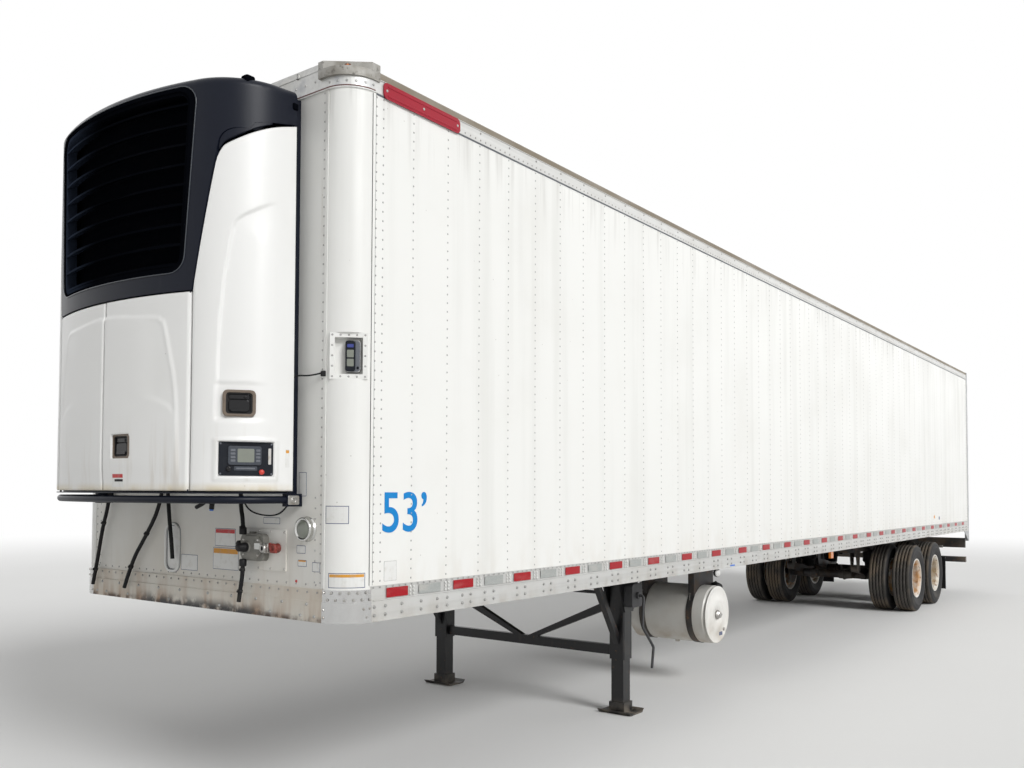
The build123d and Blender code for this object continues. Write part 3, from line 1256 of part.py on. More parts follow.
def corner_arc(before, corner, after, radius):
    """The start, middle and end of the arc that rounds a corner between two straight edges."""
    back = (Vector(*before) - Vector(*corner)).normalized()
    onward = (Vector(*after) - Vector(*corner)).normalized()
    half_angle = math.radians(back.get_angle(onward)) / 2
    reach = radius / math.tan(half_angle)
    centre = Vector(*corner) + (back + onward).normalized() * (radius / math.sin(half_angle))
    middle = centre - (back + onward).normalized() * radius
    return Vector(*corner) + back * reach, middle, Vector(*corner) + onward * reach


def side_panel_region(side, grow):
    """The space a side panel takes, its front and top edges moved outward by a gap."""
    low_z = UNIT_FOOT - UNIT_TRAY
    crest_y, crest_z = SIDE_PANEL_CREST_Y - grow, SIDE_PANEL_CREST_Z + grow
    flat_end = SIDE_PANEL_CREST_Y + SIDE_PANEL_CREST_FLAT
    with BuildPart() as region:
        foot = (side * (UNIT_SHOULDER_Y - grow), low_z)
        belt = (side * (UNIT_SHOULDER_Y - grow), UNIT_BELT)
        crest = (side * crest_y, crest_z)
        flat = (side * flat_end, crest_z)
        top = (side * (flat_end + SIDE_PANEL_CREST_FLAT), UNIT_TOP)
        outer_top, outer_foot = (side * HALF_WIDTH, UNIT_TOP), (side * HALF_WIDTH, low_z)
        arc = corner_arc(belt, crest, flat, SIDE_PANEL_ROUND)
        with BuildSketch(Plane.YZ.offset(ahead(UNIT_REAR_AHEAD - UNIT_GAP))):
            with BuildLine() as front_view:
                Polyline(arc[2], flat, top, outer_top, outer_foot, foot, belt, arc[0])
                ThreePointArc(*arc)
            make_face(front_view.edges())
        extrude(amount=UNIT_DEPTH)
        side_view = (
            (ahead(UNIT_REAR_AHEAD - UNIT_GAP), low_z),
            (ahead(UNIT_REAR_AHEAD - UNIT_GAP), SIDE_PANEL_REAR_Z + grow),
            (ahead(UNIT_DEPTH), SIDE_PANEL_FRONT_Z + grow),
            (ahead(UNIT_DEPTH), low_z),
        )
        bar_span = sorted((side * (UNIT_SHOULDER_Y - grow), side * HALF_WIDTH))
        with BuildSketch(Plane.XZ.offset(-bar_span[1])):
            outline(side_view)
        extrude(amount=bar_span[1] - bar_span[0], mode=Mode.INTERSECT)
    return region.part


grille_plane = Plane.YZ.offset(ahead(CONDENSER_DEPTH + 2 * UNIT_REAR_AHEAD))


def grille_outline(inset, mode=Mode.ADD):
    """The grille window's outline, seen from the front and moved inward by an inset."""
    foot_half, top_half = GRILLE_FOOT_HALF - inset, GRILLE_TOP_HALF - inset
    foot, top = GRILLE_FOOT + inset, GRILLE_TOP - inset
    with BuildSketch(grille_plane) as window:
        outline(((foot_half, foot), (top_half, top), (-top_half, top), (-foot_half, foot)))
        fillet(window.vertices(), GRILLE_ROUND - inset)
    add(window.sketch_local, mode=mode)


door_foot_z = UNIT_FOOT + UNIT_LIP + UNIT_GAP
front_door_top = UNIT_BELT - UNIT_GAP
mid_skin = UNIT_SKIN / 2
front_door_edge = UNIT_SHOULDER_Y - UNIT_EDGE_GAP
front_pin = arch_point(mid_skin, front_door_edge - mid_skin)
side_pin = side_point(mid_skin, UNIT_REAR_AHEAD + mid_skin)


def corner_face_plane(side, degrees, depth, height):
    """A plane across the unit's corner at an angle from straight ahead, sunk to a depth."""
    x, y = corner_point(depth, math.radians(degrees))
    turn = math.radians(degrees)
    return Plane(origin=(x, side * y, height), x_dir=(-side * math.sin(turn), math.cos(turn), 0),
                 z_dir=(math.cos(turn), side * math.sin(turn), 0))


def unit_pins(foot, length, radius, mode=Mode.ADD):
    """Upright pins, or holes for them; each foot goes with a place and the side it is on."""
    for (x, y), z in foot:
        with BuildSketch(Plane.XY.offset(z)) as section:
            with Locations((x, y)):
                Circle(radius)
        extrude(section.sketch, amount=length, mode=mode)


# Unit frame: a back plate on the front wall, and a tray whose lip carries the doors' lower pins
with BuildPart() as unit_frame:
    back_face = ahead(UNIT_REAR_AHEAD - UNIT_GAP)
    block((station(SKIN_INSET), back_face), (-UNIT_BACK_HALF, UNIT_BACK_HALF),
          (UNIT_FOOT, UNIT_TOP - UNIT_SKIN))
    block((back_face, ahead(UNIT_REAR_AHEAD + UNIT_TRAY)), (-UNIT_BACK_HALF, UNIT_BACK_HALF),
          (UNIT_TOP - UNIT_SKIN - UNIT_TRAY, UNIT_TOP - UNIT_SKIN))
    block((back_face, ahead(UNIT_REAR_AHEAD)), (-UNIT_BACK_HALF, UNIT_BACK_HALF),
          (UNIT_FOOT, UNIT_FOOT + UNIT_TRAY))
    with BuildSketch(Plane.XY.offset(UNIT_FOOT)):
        unit_outline(0)
    extrude(amount=UNIT_LIP)
    with BuildSketch(Plane.XY.offset(UNIT_FOOT)):
        unit_outline(UNIT_SKIN + UNIT_EDGE_GAP)
    extrude(amount=UNIT_TRAY)
    lip_top = UNIT_FOOT + UNIT_LIP
    lower = [(place, lip_top) for place in (front_pin, mirrored(front_pin), side_pin, mirrored(side_pin))]
    unit_pins(lower, UNIT_GAP + UNIT_PIN_LENGTH, UNIT_PIN_RADIUS)
keep(unit_frame, "unit_frame")

# Unit shroud: the dark cowl, open at the grille and over both side panels, with the upper pins
with BuildPart() as unit_shroud:
    with BuildSketch(Plane.XY.offset(UNIT_BELT)):
        unit_outline(0)
    extrude(amount=UNIT_TOP - UNIT_BELT)
    fillet(unit_shroud.faces().sort_by(Axis.Z)[-1].edges().filter_by(Axis.Y, reverse=True), UNIT_TOP_ROUND)
    with BuildSketch(Plane.XY.offset(UNIT_BELT)):
        unit_outline(UNIT_SKIN)
    extrude(amount=UNIT_TOP - UNIT_SKIN - UNIT_BELT, mode=Mode.SUBTRACT)
    for side, hand in SIDES:
        add(side_panel_region(side, UNIT_GAP), mode=Mode.SUBTRACT)
    with BuildSketch(grille_plane):
        grille_outline(0)
    extrude(amount=UNIT_DEPTH, mode=Mode.SUBTRACT)
    upper_length = UNIT_GAP + UNIT_PIN_LENGTH
    unit_pins([(place, UNIT_BELT - upper_length) for place in (front_pin, mirrored(front_pin))],
              upper_length, UNIT_PIN_RADIUS)
    unit_pins([(place, SIDE_PANEL_REAR_Z - upper_length) for place in (side_pin, mirrored(side_pin))],
              upper_length + 2 * UNIT_GAP, UNIT_PIN_RADIUS)
keep(unit_shroud, "unit_shroud")

# Grille: an arched rim in the cowl's window, and slats that fall towards the front
radial_plane = Plane(origin=(arch_centre_x, 0, 0), x_dir=(1, 0, 0), z_dir=(0, -1, 0))
arch_axis = Axis((arch_centre_x, 0, 0), (0, 0, 1))
grille_face = arch_radius - GRILLE_SETBACK
slat_pitch = (GRILLE_TOP - GRILLE_FOOT) / SLAT_COUNT
with BuildPart() as slats:
    with BuildSketch(radial_plane):
        for number in range(SLAT_COUNT):
            slat_foot = GRILLE_FOOT + slat_pitch / 2 + number * slat_pitch - SLAT_DROP
            outline((
                (grille_face, slat_foot),
                (grille_face, slat_foot + SLAT_THICK),
                (grille_face - SLAT_DEPTH, slat_foot + SLAT_DROP + SLAT_THICK),
                (grille_face - SLAT_DEPTH, slat_foot + SLAT_DROP),
            ))
    revolve(axis=arch_axis)
    with BuildSketch(grille_plane):
        grille_outline(GRILLE_RIM / 2)
    extrude(amount=UNIT_DEPTH, mode=Mode.INTERSECT)
with BuildPart() as unit_grille:
    with BuildSketch(radial_plane):
        outline((
            (grille_face, GRILLE_FOOT),
            (grille_face, GRILLE_TOP),
            (grille_face - SLAT_DEPTH, GRILLE_TOP),
            (grille_face - SLAT_DEPTH, GRILLE_FOOT),
        ))
    revolve(axis=arch_axis)
    with BuildSketch(grille_plane):
        grille_outline(GRILLE_FIT)
    extrude(amount=UNIT_DEPTH, mode=Mode.INTERSECT)
    with BuildSketch(grille_plane):
        grille_outline(GRILLE_RIM)
    extrude(amount=UNIT_DEPTH, mode=Mode.SUBTRACT)
    add(slats.part)
keep(unit_grille, "unit_grille")

# Unit front doors: two arched panels that meet near the middle, the left one with its latch pocket
pin_hole = UNIT_PIN_RADIUS + PIN_CLEARANCE
hole_length = UNIT_PIN_LENGTH + UNIT_PIN_END_GAP
for side, hand in SIDES:
    with BuildPart() as front_door:
        door_middle = (UNIT_SPLIT / 2 + front_door_edge) / 2
        with BuildSketch(Plane.XY.offset(door_foot_z)):
            unit_outline(0)
            unit_outline(UNIT_SKIN, mode=Mode.SUBTRACT)
            with Locations((ahead(UNIT_SHOULDER_AHEAD), side * door_middle)):
                Rectangle(3 * UNIT_ARCH_RISE, front_door_edge - UNIT_SPLIT / 2, mode=Mode.INTERSECT)
        extrude(amount=front_door_top - door_foot_z)
        place = front_pin if side > 0 else mirrored(front_pin)
        holes = [(place, door_foot_z), (place, front_door_top - hole_length)]
        unit_pins(holes, hole_length, pin_hole, mode=Mode.SUBTRACT)
        if hand == "left":
            with BuildSketch(Plane.YZ.offset(arch_point(LATCH_DEPTH, FRONT_LATCH_Y)[0])):
                with Locations((FRONT_LATCH_Y, UNIT_FOOT + FRONT_LATCH_RISE)):
                    RectangleRounded(LATCH_WIDTH, LATCH_HEIGHT, LATCH_ROUND)
            extrude(amount=UNIT_ARCH_RISE, mode=Mode.SUBTRACT)
    keep(front_door, f"unit_front_door_{hand}")

# Unit side doors: tall panels that wrap round the corners, with latch pockets and the control panel's well
side_hole_foot = SIDE_PANEL_REAR_Z - UNIT_GAP - hole_length
for side, hand in SIDES:
    with BuildPart() as side_door:
        with BuildSketch(Plane.XY.offset(door_foot_z)):
            unit_outline(0)
            unit_outline(UNIT_SKIN, mode=Mode.SUBTRACT)
        extrude(amount=UNIT_TOP - door_foot_z)
        add(side_panel_region(side, 0), mode=Mode.INTERSECT)
        place = side_pin if side > 0 else mirrored(side_pin)
        unit_pins([(place, door_foot_z)], hole_length, pin_hole, mode=Mode.SUBTRACT)
        unit_pins([(place, side_hole_foot)], UNIT_TOP - side_hole_foot, pin_hole, mode=Mode.SUBTRACT)
        if hand == "left":
            well_z = UNIT_FOOT + CONTROL_RISE
            with BuildSketch(corner_face_plane(side, CONTROL_ANGLE, CONTROL_DEPTH + CONTROL_WALL, well_z)):
                Rectangle(CONTROL_WIDTH + 2 * CONTROL_WALL, CONTROL_HEIGHT + 2 * CONTROL_WALL)
            extrude(amount=CONTROL_WALL + CONTROL_DEPTH / 2)
            with BuildSketch(corner_face_plane(side, CONTROL_ANGLE, CONTROL_DEPTH, well_z)):
                Rectangle(CONTROL_WIDTH, CONTROL_HEIGHT)
            extrude(amount=2 * CONTROL_DEPTH, mode=Mode.SUBTRACT)
        latch_z = UNIT_FOOT + LATCH_RISE
        with BuildSketch(corner_face_plane(side, LATCH_ANGLE, LATCH_DEPTH, latch_z)):
            RectangleRounded(LATCH_WIDTH, LATCH_HEIGHT, LATCH_ROUND)
        extrude(amount=2 * LATCH_DEPTH, mode=Mode.SUBTRACT)
    keep(side_door, f"unit_side_door_{hand}")

# Unit bumper: a tube that follows the plan under the tray, with a bracket at each end
with BuildPart() as unit_bumper:
    tube_start = side_point(BUMPER_TUBE_INSET, UNIT_REAR_AHEAD)
    slope = math.radians(UNIT_SIDE_SLOPE)
    tube_plane = Plane(origin=(*tube_start, BUMPER_TUBE_Z), x_dir=(0, 0, 1),
                       z_dir=(math.cos(slope), -math.sin(slope), 0))
    with BuildSketch(tube_plane) as tube_section:
        Circle(BUMPER_TUBE_RADIUS)
    tube_path = plan_curve(BUMPER_TUBE_INSET, BUMPER_TUBE_Z).wires()[0]
    sweep(tube_section.sketch, path=tube_path)
    for side, hand in SIDES:
        bracket_y = side * tube_start[1]
        block((station(SKIN_INSET), ahead(UNIT_REAR_AHEAD + BUMPER_BRACKET)),
              (bracket_y - BUMPER_BRACKET / 2, bracket_y + BUMPER_BRACKET / 2),
              (BUMPER_TUBE_Z - BUMPER_BRACKET, UNIT_FOOT))
keep(unit_bumper, "unit_bumper")

# Machinery behind the doors: the condenser behind the grille and the engine on the tray
with BuildPart() as unit_machinery:
    block((back_face, ahead(UNIT_REAR_AHEAD + CONDENSER_DEPTH)), (-CONDENSER_HALF, CONDENSER_HALF),
          (GRILLE_FOOT, GRILLE_TOP))
    block((back_face, ahead(UNIT_REAR_AHEAD + ENGINE_DEPTH)), (-ENGINE_HALF, ENGINE_HALF),
          (UNIT_FOOT + UNIT_TRAY, UNIT_FOOT + UNIT_TRAY + ENGINE_HEIGHT))
keep(unit_machinery, "unit_machinery")

# Evaporator housing: a box under the header inside the load space, its front lower edge sloped
with BuildPart() as evaporator_housing:
    wall_inner = SKIN_INSET + WALL
    bar_along_y((
        (station(wall_inner), WALL_TOP),
        (station(wall_inner), WALL_TOP - EVAPORATOR_HEIGHT),
        (station(wall_inner + EVAPORATOR_DEPTH / 2), WALL_TOP - EVAPORATOR_HEIGHT),
        (station(wall_inner + EVAPORATOR_DEPTH), WALL_TOP - EVAPORATOR_HEIGHT / 2),
        (station(wall_inner + EVAPORATOR_DEPTH), WALL_TOP),
    ), -EVAPORATOR_HALF, EVAPORATOR_HALF)
keep(evaporator_housing, "evaporator_housing")

# Nose box: a plate on the front wall with its box, the electric socket and the air coupling
with BuildPart() as nose_box:
    plate_face = station(SKIN_INSET - NOSE_PLATE_THICK)
    block((station(SKIN_INSET), plate_face), (NOSE_PLATE_LOW_Y, NOSE_PLATE_HIGH_Y),
          (SILL_FOOT + NOSE_PLATE_RISE, SILL_FOOT + NOSE_PLATE_RISE + NOSE_PLATE_HEIGHT))
    with BuildSketch(Plane.YZ.offset(plate_face)):
        with Locations((NOSE_BOX_Y, NOSE_BOX_Z)):
            RectangleRounded(NOSE_BOX_WIDTH, NOSE_BOX_HEIGHT, NOSE_BOX_ROUND)
    extrude(amount=NOSE_BOX_DEPTH)
    with BuildSketch(Plane.YZ.offset(plate_face + NOSE_BOX_DEPTH)):
        with Locations((SOCKET_Y, NOSE_BOX_Z)):
            Circle(SOCKET_RADIUS)
    extrude(amount=SOCKET_LENGTH)
    with BuildSketch(Plane.YZ.offset(plate_face)):
        with Locations((COUPLING_Y, NOSE_BOX_Z)):
            Circle(COUPLING_RADIUS)
    extrude(amount=COUPLING_LENGTH)
keep(nose_box, "nose_box")

# Rear lamps: stop lamps in the sill, clearance and identification lamps on the header
with BuildPart() as rear_lamps:
    rear_face = station(BODY_LENGTH)
    for side, hand in SIDES:
        for inset in STOP_LAMP_INSETS:
            with BuildSketch(Plane.YZ.offset(rear_face - LAMP_THICK)):
                with Locations((side * (HALF_WIDTH - inset), SILL_FOOT + STOP_LAMP_RISE)):
                    Circle(STOP_LAMP_RADIUS)
            extrude(amount=LAMP_THICK)
    outer_lamp = HALF_WIDTH - HEADER_LAMP_INSET
    header_lamp_z = RAIL_TOP - HEADER_LAMP_DROP
    for place in (-outer_lamp, -HEADER_LAMP_PITCH, 0, HEADER_LAMP_PITCH, outer_lamp):
        block((rear_face - LAMP_THICK, rear_face),
              (place - HEADER_LAMP_WIDTH / 2, place + HEADER_LAMP_WIDTH / 2),
              (header_lamp_z - LAMP_THICK, header_lamp_z + LAMP_THICK))
keep(rear_lamps, "rear_lamps")

# Side markers: an amber lamp under each bottom rail
with BuildPart() as side_markers:
    marker_x = station(BODY_LENGTH / 2 - MARKER_AHEAD_OF_MIDDLE)
    for side, hand in SIDES:
        marker_y = side * (HALF_WIDTH - RAIL_FLANGE / 2)
        block((marker_x - MARKER_LENGTH / 2, marker_x + MARKER_LENGTH / 2),
              (marker_y - LAMP_THICK, marker_y + LAMP_THICK), (SILL_FOOT - MARKER_HEIGHT, SILL_FOOT))
keep(side_markers, "side_markers")

# Hoses and cables down the front wall, each a bent round tube
for name, (points, forward) in CORD_ROUTES.items():
    route = [Vector(ahead(forward), y, z) for y, z in points]
    radii = []
    for before, corner, after in zip(route, route[1:], route[2:]):
        turn = (corner - before).get_angle(after - corner)
        shorter = min((corner - before).length, (after - corner).length)
        radii.append(BEND_SHARE * shorter / math.tan(math.radians(turn / 2)))
    print(name, "bend radii", [round(radius) for radius in radii])
    with BuildPart() as cord:
        with BuildLine():
            FilletPolyline(*route, radius=radii)
        with BuildSketch(Plane(origin=route[0], x_dir=(1, 0, 0), z_dir=route[1] - route[0])):
            Circle(HOSE_RADIUS)
        sweep()
    keep(cord, name)
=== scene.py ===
"""Looks for a 53 ft refrigerated semi trailer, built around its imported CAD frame."""
import json
from functools import reduce
from math import asin, cos, degrees, dist, hypot, pi, radians, sin, sqrt, tan

import bmesh
import bpy
from bpy.props import FloatProperty, FloatVectorProperty, IntProperty, PointerProperty
from mathutils import Matrix, Vector

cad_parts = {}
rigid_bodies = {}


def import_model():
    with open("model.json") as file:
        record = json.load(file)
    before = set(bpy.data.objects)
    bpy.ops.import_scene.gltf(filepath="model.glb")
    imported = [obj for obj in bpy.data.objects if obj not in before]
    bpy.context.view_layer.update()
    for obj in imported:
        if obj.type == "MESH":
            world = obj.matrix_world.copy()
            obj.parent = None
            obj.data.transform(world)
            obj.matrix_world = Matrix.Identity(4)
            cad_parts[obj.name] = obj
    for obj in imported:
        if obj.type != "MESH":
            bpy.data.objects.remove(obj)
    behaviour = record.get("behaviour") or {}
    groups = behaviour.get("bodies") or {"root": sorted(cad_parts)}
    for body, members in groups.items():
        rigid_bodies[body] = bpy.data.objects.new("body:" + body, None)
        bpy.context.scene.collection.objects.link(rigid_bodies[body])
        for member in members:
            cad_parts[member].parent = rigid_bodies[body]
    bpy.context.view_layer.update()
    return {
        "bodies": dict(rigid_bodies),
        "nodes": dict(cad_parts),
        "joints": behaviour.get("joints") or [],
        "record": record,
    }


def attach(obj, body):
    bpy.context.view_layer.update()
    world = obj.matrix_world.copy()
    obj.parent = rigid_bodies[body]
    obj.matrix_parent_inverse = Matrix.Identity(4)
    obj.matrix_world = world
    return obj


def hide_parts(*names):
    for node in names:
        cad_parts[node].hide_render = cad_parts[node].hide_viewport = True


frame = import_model()

bl_info = {
    "name": "Refrigerated Semi Trailer",
    "version": (1, 0, 0),
    "blender": (4, 5, 0),
    "location": "3D View > Sidebar > Trailer",
    "description": "Rivets, lamps, doors, tyres and finishes of a refrigerated semi trailer",
    "category": "Object",
}

SIDES = ((1, "left"), (-1, "right"))
FACE_X = 7.808
REAR_X = -8.346
WALL_X = 7.798
SKIN_Y = 1.29
RAIL_Y = 1.3
TOP_Y = 1.296
NOSE_X, NOSE_Y = 7.622, 1.114
AXLES = ((-4.382, "front"), (-5.629, "rear"))
AXLE_Z = 0.507
DUAL_Y = 0.984
DUAL_HALF = 0.1715
TANK_X, TANK_Z = 2.738, 0.653
LEG_X = 4.328
DOOR_LOW, DOOR_HIGH = 1.381, 3.984
ROD_Y = (0.31, 0.84)
AHEAD, BEHIND, UP = (1, 0, 0), (-1, 0, 0), (0, 0, 1)
FLAT = Matrix.Identity(4)


# Small helpers for shapes

class Shape:
    """Gathers the faces of one piece in the trailer's own coordinates."""

    def __init__(self):
        self.mesh = bmesh.new()
        self.paint = 0

    def take(self, points, faces, place=None, smooth=False):
        """Add loose points and faces, moved by a placing matrix."""
        verts = [self.mesh.verts.new(place @ Vector(p) if place else Vector(p)) for p in points]
        made = []
        for face in faces:
            corners = list(dict.fromkeys(verts[i] for i in face))
            if len(corners) > 2:
                made.append(self.mesh.faces.new(corners))
                made[-1].material_index, made[-1].smooth = self.paint, smooth
        return verts, made

    def soften(self, edges, width, steps=2):
        """Bevel edges, with smooth faces in the paint in use."""
        out = bmesh.ops.bevel(self.mesh, geom=edges, offset=width, segments=steps, affect="EDGES", profile=0.5,
                              clamp_overlap=True)
        for face in out["faces"]:
            face.material_index, face.smooth = self.paint, True

    def prism(self, outline, depth, place, start=0.0, bevel=0.0, steps=2):
        """A flat outline pushed out from a face, with its outer edge softened."""
        count = len(outline)
        points = [(x, y, start) for x, y in outline] + [(x, y, start + depth) for x, y in outline]
        faces = [tuple(range(count))[::-1], tuple(range(count, 2 * count))]
        faces += [(i, (i + 1) % count, count + (i + 1) % count, count + i) for i in range(count)]
        _verts, made = self.take(points, faces, place)
        if bevel:
            self.soften(list(made[1].edges), bevel, steps)

    def slabs(self, place, rows, corner=4):
        """Round-cornered slabs: paint, place across and up, width, height, radius, start, depth, bevel."""
        for self.paint, x, y, width, height, radius, start, depth, bevel in rows:
            self.prism(rounded(width, height, radius, corner, x, y), depth, place, start, bevel)

    def sweep(self, loops, closed=False, smooth=False, place=None):
        """A skin over loops of as many points, with capped ends unless the last meets the first."""
        count, rows, faces = len(loops[0]), len(loops), []
        for row in range(rows if closed else rows - 1):
            a, b = row * count, (row + 1) % rows * count
            faces += [(a + i, a + (i + 1) % count, b + (i + 1) % count, b + i) for i in range(count)]
        if not closed:
            faces += [tuple(range(count))[::-1], tuple(range((rows - 1) * count, rows * count))]
        self.take([p for loop in loops for p in loop], faces, place, smooth)

    def ring(self, outer, inner, depth, place, start=0.0):
        """A flat frame between two outlines of as many points."""
        corners = ((outer, start), (outer, start + depth), (inner, start + depth), (inner, start))
        self.sweep([[(x, y, out) for x, y in loop] for loop, out in corners], closed=True, place=place)

    def block(self, low, high, bevel=0.0):
        """A rectangular block between two corners; one with a bevel has its flats in the first finish."""
        middle = [(a + b) / 2 for a, b in zip(low, high)]
        stretch = Matrix.Diagonal([abs(b - a) for a, b in zip(low, high)] + [1])
        made = bmesh.ops.create_cube(self.mesh, size=1, matrix=Matrix.Translation(middle) @ stretch)["verts"]
        if bevel:
            self.soften(list({e for v in made for e in v.link_edges}), bevel)
        else:
            for face in {f for v in made for f in v.link_faces}:
                face.material_index = self.paint

    def lathe(self, profile, place, steps=32, ragged=None):
        """A profile of radius and height turned about the placing matrix's outward axis."""
        rings, points = [], []
        for row, (radius, out) in enumerate(profile):
            if radius < 1e-6:
                rings.append([len(points)] * steps)
                points.append((0, 0, out))
                continue
            rings.append(range(len(points), len(points) + steps))
            for i in range(steps):
                turn = 2 * pi * i / steps
                points.append((radius * cos(turn), radius * sin(turn), out + (ragged(row, i) if ragged else 0)))
        return self.take(points, [(a[i], a[(i + 1) % steps], b[(i + 1) % steps], b[i])
                                  for a, b in zip(rings, rings[1:]) for i in range(steps)], place, smooth=True)

    def tube(self, points, radius, sides=10, closed=False):
        """A round rod bent through points, its ends capped."""
        points = [Vector(p) for p in points]
        count, rings, side = len(points), [], None
        for i, p in enumerate(points):
            before = points[(i - 1) % count] if closed or i else p
            after = points[(i + 1) % count] if closed or i < count - 1 else p
            way = (after - before).normalized()
            side = side or way.orthogonal().normalized()
            side = (side - way * side.dot(way)).normalized()
            over = way.cross(side)
            rings.append([p + radius * (cos(t) * side + sin(t) * over)
                          for t in (2 * pi * k / sides for k in range(sides))])
        self.sweep(rings, closed, smooth=True)

    def finish(self, name, slot, *finishes, body="trailer", merge=0.0):
        """Turn the gathered faces into a piece that rides on a body."""
        if merge:
            bmesh.ops.remove_doubles(self.mesh, verts=self.mesh.verts, dist=merge)
        bmesh.ops.recalc_face_normals(self.mesh, faces=self.mesh.faces)
        return settle(name, self.as_data(name), finishes, body)

    def as_data(self, name):
        """The gathered faces as a mesh of Blender's own."""
        data = bpy.data.meshes.new(name)
        self.mesh.to_mesh(data)
        self.mesh.free()
        return data


def stand(name, data):
    """Put data in the scene as an object at the origin."""
    made = bpy.data.objects.new(name, data)
    bpy.context.scene.collection.objects.link(made)
    return made


def settle(name, data, finishes, body="trailer"):
    """Make a mesh a piece, with its finishes, that rides on its body."""
    piece = stand(name, data)
    if data.materials:
        data.materials.clear()
    for finish in finishes:
        data.materials.append(PAINT[finish])
    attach(piece, body)
    return piece


def evaluated_mesh(source):
    """A plain mesh of an object as its modifiers or its outlines make it."""
    graph = bpy.context.evaluated_depsgraph_get()
    graph.update()
    return bpy.data.meshes.new_from_object(source.evaluated_get(graph))


def facing(origin, out, up=UP):
    """A placing matrix: local x runs across, y up and z outward from a face."""
    out, up = Vector(out).normalized(), Vector(up)
    across = up.cross(out).normalized()
    up = out.cross(across)
    return Matrix.Translation(origin) @ Matrix((across, up, out)).transposed().to_4x4()


def shifted(place, x, y):
    """A placing matrix moved across its own face."""
    return place @ Matrix.Translation((x, y, 0))


def on_wall(y, z, x=WALL_X):
    """A placing matrix on the front wall."""
    return facing((x, y, z), AHEAD)


def on_side(side, behind, z, y=SKIN_Y):
    """A placing matrix on one side, this far behind the front face."""
    return facing((FACE_X - behind, side * y, z), (0, side, 0))


def on_rear(y, z, x=REAR_X):
    """A placing matrix on the rear."""
    return facing((x, y, z), BEHIND)


def rounded(width, height, radius, steps=4, x=0.0, y=0.0):
    """The outline of a rectangle with round corners."""
    return [(x + cx * (width / 2 - radius) + radius * cos(turn), y + cy * (height / 2 - radius) + radius * sin(turn))
            for cx, cy, start in ((1, 1, 0), (-1, 1, 90), (-1, -1, 180), (1, -1, 270))
            for turn in (radians(start + 90 * i / steps) for i in range(steps + 1))]


def ring_outline(radius, steps=24, x=0.0, y=0.0):
    """The outline of a disc, or of a nut when it has few steps."""
    return [(x + radius * cos(turn), y + radius * sin(turn)) for turn in (2 * pi * i / steps for i in range(steps))]


def smooth_step(value, low, high):
    """Rises from 0 to 1 between two values."""
    if low == high:
        return float(value >= low)
    t = min(1.0, max(0.0, (value - low) / (high - low)))
    return t * t * (3 - 2 * t)


# Small helpers for finishes

